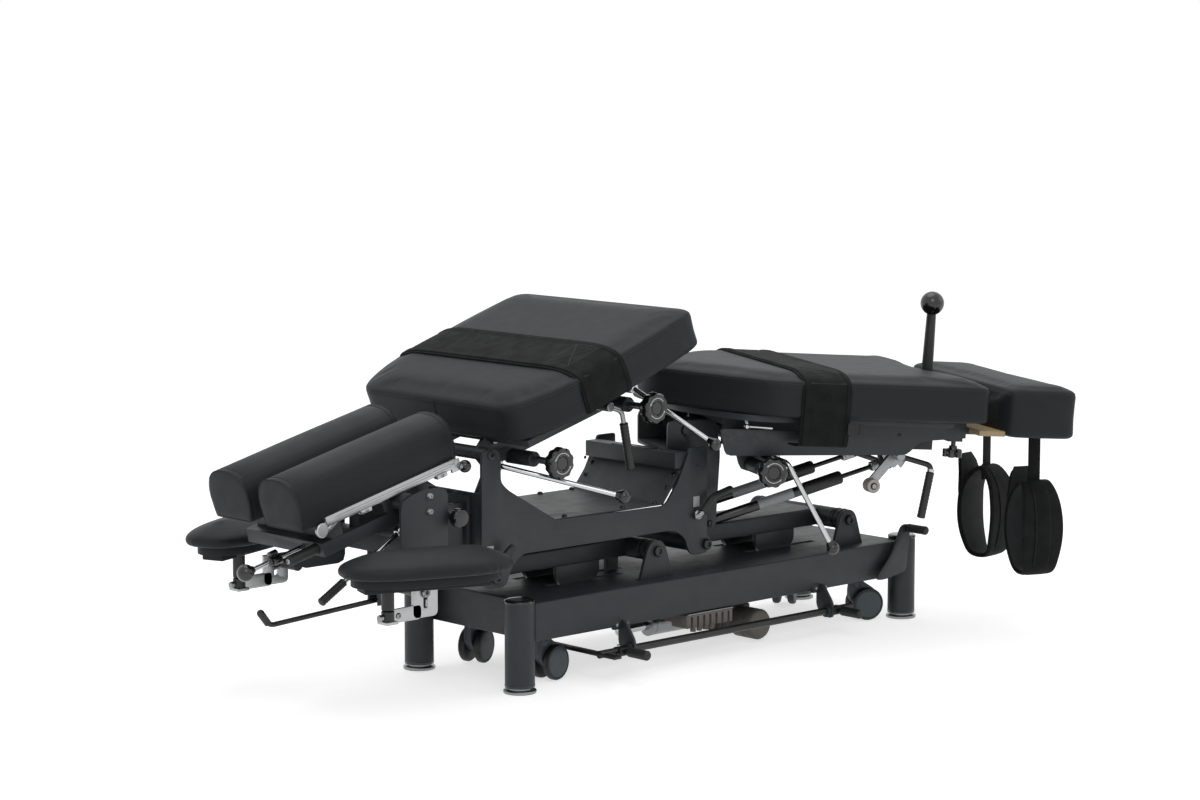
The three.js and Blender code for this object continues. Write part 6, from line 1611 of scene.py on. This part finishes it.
def build_cuff(side, word):
    place = FLEX @ at(795, side * 120, 18.7) @ level_turn(CUFF_TURN[word])
    name = f"ankle_cuff_{word}"
    loop = evenly(rounded(CUFF_LOOP, 8), 6)
    ring = band(loop, widths(loop, *CUFF_WIDTHS), 4.6, 5, edge=4.4)
    flap_path = [Vector(spot) for spot in ((45, -178), (45, -160), (45, -140), (47, -120), (52, -100), (60, -82))][::-1]
    flap = band(flap_path, [24, 33, 38, 42, 43, 42], 3.6, 3.6, closed=False, edge=3)
    for part in (ring, flap):
        apply_modifier(part, "SUBSURF", levels=1, render_levels=1)
    made = piece(f"{name}_band", [ring, flap], name, "webbing", where=place, replaces=[name])
    lining = [
        band(loop, [wide - 2.4 for wide in widths(loop, *CUFF_WIDTHS)], 6.4, -3.2, edge=2.4),
        band(flap_path[:-1], [21.6, 30.6, 35.6, 39.6, 40.6], -2.6, 5, closed=False, edge=1.6),
    ]
    piece(f"{name}_lining", lining, name, "lining", where=place)
    tapes = []
    for edge in (-1, 1):
        outer = moved_in(loop, -1.6)
        path = [
            Vector((edge * (wide - 0.2), spot.x, spot.y)) for spot, wide in zip(outer, widths(loop, *CUFF_WIDTHS))
        ]
        tapes.append(swept(path, 2.1, 10, closed=True))
    strap_path = moved_in(loop, -5.2)
    belt = band(strap_path, 19, 0.2, 1.8, edge=0.9)
    stitches = [
        swept([(edge * 16.4, spot.x, spot.y) for spot in moved_in(loop, -7.1)], 0.4, 6, closed=True) for edge in (-1, 1)
    ]
    piece(f"{name}_belt", [belt, tapes], name, "webbing", where=place)
    piece(f"{name}_stitches", stitches, name, "stitching", where=place)
    web = rounded_edges([block((-14, 14), (-1.5, 1.5), (-112, -1.7)), block((-14, 14), (1, 4), (-136, -100))], 0.6)
    piece(f"{name}_web", [web], name, "webbing", where=place)


def level_turn(degrees):
    """The frame of the foot board turned upright again, then turned about the upright."""
    upright = FLEX.to_3x3().transposed().to_4x4() @ (SWING.to_3x3()).to_4x4()
    return upright @ about_axis(degrees, "Z")


def build_foot_section():
    board = rounded_edges(block((602, 662), (-250, 250), (23.4, 34.7)), 1.2)
    piece("foot_board", [board], "foot_section", "board", where=FLEX, replaces=["foot_slide"])
    rails = rounded_edges([block((340, 800), about(side * 189, 7.6), (20, 34)) for side in SIDES], 1)
    hooks = []
    for side in SIDES:
        hooks.append(rounded_edges([block(about(795, 16), about(side * 120, 6), (18.7, 22.4))], 0.5))
    piece("foot_rails", [rails, hooks], "foot_section", "coat", where=FLEX)
    form = cushion_form("foot")
    seam = welt(form, FOOT_OUTLINE, 118.6)
    padded_piece("foot_cover", form, "foot_section", "vinyl", FLEX, ["foot_cushion"])
    piece("foot_seams", [seam], "foot_section", "stitching", where=FLEX)
    arms = []
    for step in range(5):
        turn = math.radians(90 + 72 * step)
        tip = Vector((math.cos(turn), math.sin(turn), 0))
        start, end = Vector((572, -189, -21)), Vector((572, -189, -21)) + tip * 15
        arms.append(rod(start, end, 7.4, 6.6, 24))
        arms.append(post(end.x, end.y, (-30, -13), 6.6, sides=24))
    core = turned(
        [(0, 0), (0, 10.5), (2, 11.5), (14, 11.5), (18, 9), (24, 8.5), (24, 0)], (572, -189, -30), (572, -189, -6), 32
    )
    rounded_edges(arms, 1)
    piece("star_knob_grip", [arms, core], "star_knob", "plastic", where=FLEX, replaces=["star_knob"])
    piece("star_knob_stem", [post(572, -189, (-6, 19.6), 5, sides=24)], "star_knob", "satin black", where=FLEX)
    for side, word in SIDES.items():
        build_cuff(side, word)


# Head section
PAD_SECTION = [
    (-0.86, 0), (0.86, 0), (0.9, 0.05), (0.96, 0.24), (1, 0.44), (0.985, 0.55), (0.945, 0.66), (0.85, 0.79),
    (0.71, 0.88),
    (0.55, 0.94), (0.38, 0.975), (0.2, 0.994), (0, 1), (-0.2, 0.994), (-0.38, 0.975), (-0.55, 0.94), (-0.71, 0.88),
    (-0.85, 0.79), (-0.945, 0.66), (-0.985, 0.55), (-1, 0.44), (-0.96, 0.24), (-0.9, 0.05),
]


def build_head_pad(side, word):
    """A long D-shaped pad with flat sewn ends."""
    points = [Vector((across * 62, up * 100)) for across, up in PAD_SECTION]
    outline = evenly(points, 4)
    stations = [
        (-238, 2.4), (-237, 1), (-234.6, 0.3), (-228.6, 0.2), (-227.4, 0.6), (-226.2, 0), (-150, -0.4), (-90, -0.7),
        (-45, -0.8),
        (0, -0.7), (60, -0.4), (136.2, 0), (137.4, 0.6), (138.6, 0.2), (144.6, 0.3), (147, 1), (148, 2.4),
    ]
    rings = [
        [(along, side * 79 + spot.x, 24.3 + max(spot.y, 0)) for spot in moved_in(outline, inset)]
        for along, inset in stations
    ]
    pad = lofted(rings)
    rounded_edges(pad, 0.8)
    name = f"head_pad_{word}"
    body = f"head_{word}"
    made = piece(name + "_cover", [pad], body, "vinyl", where=HEAD, replaces=[name])
    ends, threads = [], []
    for along, out in ((-238, -1), (148, 1)):
        ring = moved_in(outline, 2.6)
        face = lofted([
            [
                (along + out * (lift - 0.4), side * 79 + spot.x * share, 24.3 + 46 + (max(spot.y, 0) - 46) * share)
                for spot in ring
            ]
            for lift, share in ((0, 1), (0.7, 0.995), (1.3, 0.93), (1.8, 0.7), (2.0, 0.3))
        ])
        ends.append(face)
        for inset, depth in ((0.1, 9.4), (0.1, 11.8)):
            ring = moved_in(outline, inset)
            path = [(along - out * depth, side * 79 + spot.x, 24.3 + max(spot.y, 0)) for spot in ring]
            threads.append(swept(path, 0.35, 8, closed=True))
        ring = moved_in(outline, 0.6)
        path = [(along - out * 0.2, side * 79 + spot.x, 24.3 + max(spot.y, 0)) for spot in ring]
        threads.append(swept(path, 0.8, 8, closed=True))
    # The pad ends take the lighter copy of the vinyl, painted light on these faces
    piece(name + "_ends", ends, body, "vinyl lit end", where=HEAD)
    piece(name + "_seams", threads, body, "stitching", where=HEAD)
    board = rounded_edges(block((-232, 142), about(side * 79, 44), (23.8, 27)), 0.8)
    piece(name + "_board", [board], body, "satin black", where=HEAD)


def build_head_rail():
    bar = block((-186, 140), (-143, -136), (18, 37))
    rounded_edges(bar, 1.2)
    grooves = [block((-170, 128), (-146, -141.6), (24.6, 26.4)), block((-170, 128), (-146, -141.6), (29.4, 30.6))]
    cut(bar, grooves)
    plug = turned([(0, 0), (0, 12), (1.4, 14), (6, 14), (7.4, 12), (7.4, 0)], (-198, -136, 15), (-198, -143.6, 15), 40)
    waist = plate(
        [
            (-188, 16, 4), (-178, 19, 6), (-170, 37, 2), (-160, 37, 0), (-160, 18, 0), (-176, 10, 8), (-190, 6, 6),
            (-202, 8, 6), (-202, 24, 6)
        ],
        "XZ", (-142.6, -136.6)
    )
    rounded_edges(waist, 0.8)
    bits = [bar, plug, waist, rounded_edges(block((128, 152), (-142.6, -136.6), (10, 34)), 2, 2)]
    bits += [rounded_edges(block(about(along, 11), (-141, -84), (18, 24)), 1.2) for along in (-92, 100)]
    bits += [rounded_edges(block(about(along, 13), (-147, -134), (12, 21)), 2, 2) for along in (-92, 100)]
    piece("head_rail_bar", bits, "head_near", "aluminium", where=HEAD, replaces=["head_rail"])
    screws = [screw((along, -147, 16.5), (0, -1, 0), 3.6) for along in (-92, 100)]
    screws.append(screw((132, -143, 29), (0, -1, 0), 2.2))
    piece("head_rail_screws", screws, "head_near", "zinc", where=HEAD)
    stem = [
        rod((142, -140, 22), (164, -136, 12), 5, sides=24),
        turned([(0, 0), (0, 8), (8, 8), (8, 0)], (146, -139, 20), (156, -137, 15), 24)
    ]
    piece("head_rail_stem", stem, "head_near", "zinc", where=HEAD)
    piece("head_rail_ball", [ball((166, -136, 11), 12.6)], "head_near", "plastic", where=HEAD)


def build_head_frame():
    carried("head_frame", "head_frame_steel", "head_frame", "coat", edge=1.4)
    pins = [
        turned(
            [(0, 0), (0, 15.6), (1.4, 17.2), (36, 17.2), (38, 15.4), (38, 0)], (0, side * 118, 0), (0, side * 157, 0),
            40
        )
        for side in SIDES
    ]
    piece("head_frame_discs", pins, "head_frame", "coat", where=HEAD)
    grip = turned(
        [
            (0, 0), (0, 8.6), (1.6, 10.3), (62, 10.3), (66, 11.4), (68, 11.4), (69, 9), (69, 0)
        ], (-258, -98, -30), (-188, -98, -30), 40
    )
    piece("head_frame_grip", [grip], "head_frame", "rubber", where=HEAD)
    piece("head_frame_grip_screw", [screw((-258, -98, -30), (-1, 0, 0), 5.5, 3)], "head_frame", "zinc", where=HEAD)
    teeth = []
    for along in (-150, 70):
        for step in range(5):
            across = -70 + step * 34
            corners = [(across - 12, 18, 0), (across + 12, 18, 0), (across + 8, 24, 0), (across - 2, 24, 0)]
            teeth.append(plate(corners, "YZ", about(along, 10)))
    rounded_edges(teeth, 0.5)
    piece("head_frame_racks", teeth, "head_frame", "satin black", where=HEAD)


def build_head_levers():
    bar = [rod((-330, -58, -31), (-170, -58, -31), 5, sides=28)]
    piece("head_ball_lever_rod", bar, "head_ball_lever", "chrome", where=HEAD, replaces=["head_ball_lever"])
    star = []
    for step in range(4):
        turn = math.radians(90 * step)
        tip = Vector((0, math.cos(turn), math.sin(turn)))
        spot = Vector((-262, -58, -31)) + tip * 12.4
        star.append(rod(spot - Vector((9, 0, 0)), spot + Vector((9, 0, 0)), 6.4, sides=24))
        star.append(rod((-262, -58, -31), spot, 7, 6, 24))
    star.append(turned(
        [(0, 0), (0, 9), (2, 10.5), (22, 10.5), (25, 8.6), (25, 0)], (-275, -58, -31), (-249, -58, -31), 32
    ))
    rounded_edges(star, 0.8)
    end = [
        ball((-330, -58, -31), 16.5),
        turned([(0, 0), (0, 7.4), (10, 11), (10, 0)], (-312, -58, -31), (-322, -58, -31), 32)
    ]
    piece("head_ball_lever_knobs", [star, end], "head_ball_lever", "plastic", where=HEAD)
    start, end = Vector((-836, -116, 350)), Vector((-1031, -116, 235))
    hub = turned(
        [(0, 0), (0, 9.4), (1.6, 11), (14.4, 11), (16, 9.4), (16, 0)], (-836, -124, 350), (-836, -108, 350), 32
    )
    piece(
        "head_grip_rod", [hub, rod(start, start.lerp(end, 0.75), 5, sides=28)], "head_grip_lever", "chrome",
        replaces=["head_grip_lever"]
    )
    grip = ribbed_grip(Vector((-974, -116, 269)), end, 8.5, 9)
    piece("head_grip_sleeve", [grip], "head_grip_lever", "rubber")
    path = [(-792, 0, 196), (-1064, 0, 180), (-1084, 0, 206)]
    bar = bent_rod(path, 5, 12, 28)
    hub = cross_rod(-792, 196, (-12, 12), 9, sides=32)
    grip = [rod((-1067, 0, 184), (-1084, 0, 206), 7, 7.4, 28), ball((-1084, 0, 206), 7.4)]
    flat = rounded_edges(block((-1050, -800), (-6, 6), (-3.4, 3.4)), 1)
    tilt = math.degrees(math.atan2(16, 272))
    flat = settled(flat, at(-792, 0, 196) @ about_axis(-tilt, "Y") @ at(792, 0, 0))
    rounded_edges(hub, 0.8)
    piece("head_pedal_bar", [hub, bar, flat, grip], "head_pedal", "satin black", replaces=["head_pedal"])


def build_head_carriage():
    carried("head_carriage", "head_carriage_steel", "head_carriage", "coat", edge=1.0)
    nuts = []
    for side in SIDES:
        for up in (390, 420):
            nuts.append(turned(
                [(0, 0), (0, 7.2), (1, 7.6), (5, 5.8), (6.4, 4.6), (6.4, 2.6), (4.4, 2.4), (4.4, 0)],
                (-802, side * 163, up), (-802, side * 172, up), 6,
            ))
        nuts.append(screw((-786, side * 163, 262), (0, side, 0), 4))
        nuts.append(screw((-786, side * 163, 300), (0, side, 0), 4))
    piece("head_carriage_nuts", nuts, "head_carriage", "zinc")
    latch = [
        rounded_edges(block((-836, -808), (-131, -126), (338, 362)), 1.4, 2),
        rounded_edges(rod((-822, -131, 350), (-822, -138, 350), 7.4, sides=6), 0.5),
        rod((-822, -131, 350), (-822, -141, 350), 3.6, sides=20),
    ]
    piece("head_lock_bracket", latch, "head_carriage", "aluminium")
    loop = bend_path(
        [(-800, -128, 352), (-782, -129, 356), (-776, -129, 330), (-780, -129, 300), (-780, -127, 288)], 14
    )
    piece("head_lock_tube", [swept(loop, 3.2, 16)], "head_carriage", "label plate")
    knob = turned(
        [(0, 0), (0, 12), (2, 17), (5, 18.4), (18, 18.4), (21, 16), (22, 9), (22, 0)], (-738, -163, 372),
        (-738, -188, 372), 48
    )
    shaft = [
        rod((-738, -110, 372), (-738, -166, 372), 7, sides=24),
        rounded_edges(block((-760, -664), (-112, -104), (356, 388)), 1)
    ]
    piece("head_height_knob", [knob], "head_carriage", "plastic")
    piece("head_height_shaft", [shaft], "head_carriage", "satin black")
    flanges = []
    for side in SIDES:
        flanges.append(turned(
            [(0, 0), (0, 11.4), (66, 11.4), (66.8, 16.2), (71.8, 16.2), (72.4, 15), (72.4, 0)],
            (-874, side * 157.4, 252), (-874, side * 229.7, 252), 40,
        ))
    piece("arm_outriggers", flanges, "head_carriage", "satin black")
    bolts = []
    for side in SIDES:
        bolts.append(turned(
            [(0, 0), (0, 9), (1, 9.6), (3, 9.6), (5, 8), (5, 4.4), (3.4, 4), (3.4, 0)],
            (-874, side * 236.3, 252), (-874, side * 241.5, 252), 32,
        ))
        bolts.append(rod((-874, side * 229, 252), (-874, side * 237, 252), 4.4, sides=20))
    piece("arm_outrigger_bolts", bolts, "head_carriage", "zinc")


# Arm rests
ARM_SWELL = 2 * MM
ARM_CORNERS = [
    (-101, -44, 46), (-21, -80, 46), (159, -80, 46), (239, -44, 46), (239, 44, 46), (159, 80, 46), (-21, 80, 46),
    (-101, 44, 46)
]


def build_arm_rest(side, word):
    post_name, rest_name = f"arm_post_{word}", f"arm_rest_{word}"
    bracket = plate([(-904, 205, 12), (-844, 205, 12), (-844, 266, 3), (-904, 266, 3)], "XZ", (230, 236), 8)
    cut(bracket, plate([(-879, 222, 5), (-869, 222, 5), (-869, 258, 5), (-879, 258, 5)], "XZ", (226, 240), 8))
    rounded_edges(bracket, 0.7)
    foot = rounded_edges(
        plate([(-963, 203, 8), (-884, 203, 10), (-884, 231, 10), (-963, 229, 8)], "XZ", (230, 236), 8), 0.7
    )
    shelf = rounded_edges(block(about(-963, 14), (218, 248), (203, 209)), 1.2)
    parts = flipped([bracket, foot, shelf], side)
    piece(f"{post_name}_bracket", parts, post_name, "aluminium", replaces=[post_name])
    stand = [
        turned(
            [(0, 0), (0, 11), (1.4, 12.4), (20, 12.4), (21.4, 11), (21.4, 0)], (-963, side * 233, 207),
            (-963, side * 233, 228.8), 40
        ),
        post(-963, side * 233, (205, 262), 5, sides=24),
    ]
    piece(f"{post_name}_post", stand, post_name, "satin black")
    bolt = [
        screw((-940, side * 236, 216), (0, side, 0), 6, 3.4),
        rounded_edges(rod((-976, side * 233, 216), (-985, side * 233, 216), 7, sides=6), 0.6)
    ]
    piece(f"{post_name}_bolt", bolt, post_name, "zinc")

    place = BASE @ at(-963, side * 233, 0) @ about_axis(side * 20, "Z") @ at(0, side * 22, 0)
    levels = [
        (4, 300), (1, 302), (0, 305), (0.4, 313), (2, 318), (6, 322), (13, 326.5), (22, 331), (33, 335.6), (45, 340),
        (57, 343.6),
        (68, 346.6),
    ]
    form = soft_form(ARM_CORNERS, levels, 8)
    swelled(form, 298, ARM_SWELL)
    padded_piece(f"{rest_name}_cover", form, rest_name, "vinyl", place, [rest_name])
    board = rounded_edges(
        plate([(x * 0.86 + 9.6, y * 0.7, cut_back * 0.8) for x, y, cut_back in ARM_CORNERS], "XY", (282, 302), 8), 1.2
    )
    mount = rounded_edges(block((-60, 190), (-24, 24), (270, 284)), 2, 2)
    piece(f"{rest_name}_board", [board, mount], rest_name, "vinyl", where=place)
    sleeve = turned(
        [(0, 5.4), (0, 11), (1.4, 12.3), (44, 12.3), (46, 14), (48, 14), (48, 5.4)], (-963, side * 233, 229.4),
        (-963, side * 233, 278), 40
    )
    piece(f"{rest_name}_sleeve", [sleeve], rest_name, "satin black")


# Stage
def build_stage():
    deselect()
    bpy.ops.mesh.primitive_plane_add(size=40, location=(0, 0, 0))
    floor = bpy.context.active_object
    floor.name = "pale_floor"
    material = bpy.data.materials.new("Pale floor")
    material.use_nodes = True
    tree = material.node_tree
    shader = tree.nodes["Principled BSDF"]
    shader.inputs["Base Color"].default_value = (0.86, 0.86, 0.86, 1)
    shader.inputs["Roughness"].default_value = 0.95
    shader.inputs["Specular IOR Level"].default_value = 0.1
    shader.inputs["Emission Color"].default_value = (1, 1, 1, 1)
    path = add(tree, "ShaderNodeLightPath").outputs
    seen = calculated(tree, "MAXIMUM", path["Is Camera Ray"], path["Is Glossy Ray"])
    tree.links.new(calculated(tree, "MULTIPLY", seen, 0.62), shader.inputs["Emission Strength"])
    floor.data.materials.append(material)

    world = bpy.data.worlds.new("Studio")
    world.use_nodes = True
    bpy.context.scene.world = world
    tree = world.node_tree
    path = add(tree, "ShaderNodeLightPath").outputs
    seen = calculated(
        tree, "MAXIMUM", calculated(tree, "MAXIMUM", path["Is Camera Ray"], path["Is Glossy Ray"]),
        path["Is Transmission Ray"]
    )
    backdrop = tree.nodes["Background"]
    backdrop.inputs["Color"].default_value = (1, 1, 1, 1)
    tree.links.new(ramped(tree, seen, 0, 1, 0.5, 1.0), backdrop.inputs["Strength"])

    for name, place, aim, size, power in (
        ("Key light", (-2.4, -3.2, 3.6), (0, 0, 0.4), 2.6, 34), ("Fill light", (3.4, -2.4, 2.4), (0, 0, 0.3), 2.4, 10),
        ("Top light", (0.4, 0.6, 4.2), (0, 0, 0.3), 3.2, 36),
    ):
        lamp = bpy.data.lights.new(name, "AREA")
        lamp.shape = "DISK"
        lamp.size = size
        lamp.energy = power
        obj = bpy.data.objects.new(name, lamp)
        obj.location = place
        obj.rotation_euler = (Vector(place) - Vector(aim)).to_track_quat("Z", "Y").to_euler()
        bpy.context.scene.collection.objects.link(obj)

    lens = bpy.data.cameras.new("Product view")
    lens.lens = 91.65
    lens.sensor_width = 36
    lens.clip_end = 100
    camera = bpy.data.objects.new("Product view", lens)
    camera.location = (-4.334, -4.507, 1.327)
    camera.rotation_euler = (math.radians(90 - 7.133), 0, math.radians(-42.947))
    bpy.context.scene.collection.objects.link(camera)
    bpy.context.scene.camera = camera
    bpy.context.scene.view_settings.view_transform = "Standard"


# Operators
def build_base():
    build_chassis()
    build_foot_bar()
    build_castor_lever()


def build_lift():
    build_lift_arms()
    build_actuator()


def build_head():
    build_head_carriage()
    build_head_frame()
    build_head_rail()
    build_head_levers()
    for side, word in SIDES.items():
        build_head_pad(side, word)


def build_arm_rests():
    for side, word in SIDES.items():
        build_arm_rest(side, word)


class TABLE_OT_stage(bpy.types.Operator):
    """Adds the floor, the lights and the camera"""

    bl_idname = "table.stage"
    bl_label = "Stage"

    def execute(self, context):
        build_stage()
        return {"FINISHED"}


class TABLE_OT_base(bpy.types.Operator):
    """Adds the tray, legs, clevises, pedal bar and castor pedal"""

    bl_idname = "table.base"
    bl_label = "Base"

    def execute(self, context):
        build_base()
        return {"FINISHED"}


class TABLE_OT_castors(bpy.types.Operator):
    """Adds the rocking frame and the four castors"""

    bl_idname = "table.castors"
    bl_label = "Castors"

    def execute(self, context):
        build_castors()
        return {"FINISHED"}


class TABLE_OT_lift(bpy.types.Operator):
    """Adds the lift arms and the actuator"""

    bl_idname = "table.lift"
    bl_label = "Lift"

    def execute(self, context):
        build_lift()
        return {"FINISHED"}


class TABLE_OT_upper_frame(bpy.types.Operator):
    """Adds the side plates, their cover and the lock levers"""

    bl_idname = "table.upper_frame"
    bl_label = "Upper frame"

    def execute(self, context):
        build_upper_frame()
        return {"FINISHED"}


class TABLE_OT_thoracic_frame(bpy.types.Operator):
    """Adds the thoracic frame with its knobs, levers and gas spring"""

    bl_idname = "table.thoracic_frame"
    bl_label = "Thoracic frame"

    def execute(self, context):
        build_thoracic_frame()
        return {"FINISHED"}


class TABLE_OT_thoracic_cushion(bpy.types.Operator):
    """Adds the thoracic cushion and its strap"""

    bl_idname = "table.thoracic_cushion"
    bl_label = "Thoracic cushion"

    def execute(self, context):
        build_thoracic_cushion()
        return {"FINISHED"}


class TABLE_OT_leg_frame(bpy.types.Operator):
    """Adds the swivel, the leg frame, its springs, levers and handle"""

    bl_idname = "table.leg_frame"
    bl_label = "Leg frame"

    def execute(self, context):
        build_leg_frame()
        return {"FINISHED"}


class TABLE_OT_pelvic_cushion(bpy.types.Operator):
    """Adds the pelvic cushion and its strap"""

    bl_idname = "table.pelvic_cushion"
    bl_label = "Pelvic cushion"

    def execute(self, context):
        build_pelvic_cushion()
        return {"FINISHED"}


class TABLE_OT_foot_section(bpy.types.Operator):
    """Adds the foot cushion, its slide, the star knob and the ankle cuffs"""

    bl_idname = "table.foot_section"
    bl_label = "Foot section"

    def execute(self, context):
        build_foot_section()
        return {"FINISHED"}


class TABLE_OT_head_section(bpy.types.Operator):
    """Adds the head carriage, its frame, rail, levers and pads"""

    bl_idname = "table.head_section"
    bl_label = "Head section"

    def execute(self, context):
        build_head()
        return {"FINISHED"}


class TABLE_OT_arm_rests(bpy.types.Operator):
    """Adds the arm rests and their posts"""

    bl_idname = "table.arm_rests"
    bl_label = "Arm rests"

    def execute(self, context):
        build_arm_rests()
        return {"FINISHED"}


OPERATORS = (
    TABLE_OT_stage, TABLE_OT_base, TABLE_OT_castors, TABLE_OT_lift, TABLE_OT_upper_frame, TABLE_OT_thoracic_frame,
    TABLE_OT_thoracic_cushion, TABLE_OT_leg_frame, TABLE_OT_pelvic_cushion, TABLE_OT_foot_section,
    TABLE_OT_head_section, TABLE_OT_arm_rests,
)


class TABLE_PT_pieces(bpy.types.Panel):
    """Lists the pieces of the table"""

    bl_idname = "TABLE_PT_pieces"
    bl_label = "Chiropractic Table"
    bl_space_type = "VIEW_3D"
    bl_region_type = "UI"
    bl_category = "Table"

    def draw(self, context):
        layout = self.layout
        for group in (context.scene.table_colours, context.scene.table_sizes):
            for name in group.__annotations__:
                layout.prop(group, name)
        for kind in OPERATORS:
            layout.operator(kind.bl_idname)


CLASSES = (TableColours, TableSizes, *OPERATORS, TABLE_PT_pieces)


def register():
    for kind in CLASSES:
        bpy.utils.register_class(kind)
    bpy.types.Scene.table_colours = bpy.props.PointerProperty(type=TableColours)
    bpy.types.Scene.table_sizes = bpy.props.PointerProperty(type=TableSizes)


def unregister():
    del bpy.types.Scene.table_sizes
    del bpy.types.Scene.table_colours
    for kind in reversed(CLASSES):
        bpy.utils.unregister_class(kind)


def main():
    register()
    bpy.ops.table.stage()
    bpy.ops.table.base()
    bpy.ops.table.castors()
    bpy.ops.table.lift()
    bpy.ops.table.upper_frame()
    bpy.ops.table.thoracic_frame()
    bpy.ops.table.thoracic_cushion()
    bpy.ops.table.leg_frame()
    bpy.ops.table.pelvic_cushion()
    bpy.ops.table.foot_section()
    bpy.ops.table.head_section()
    bpy.ops.table.arm_rests()


if __name__ == "__main__":
    main()
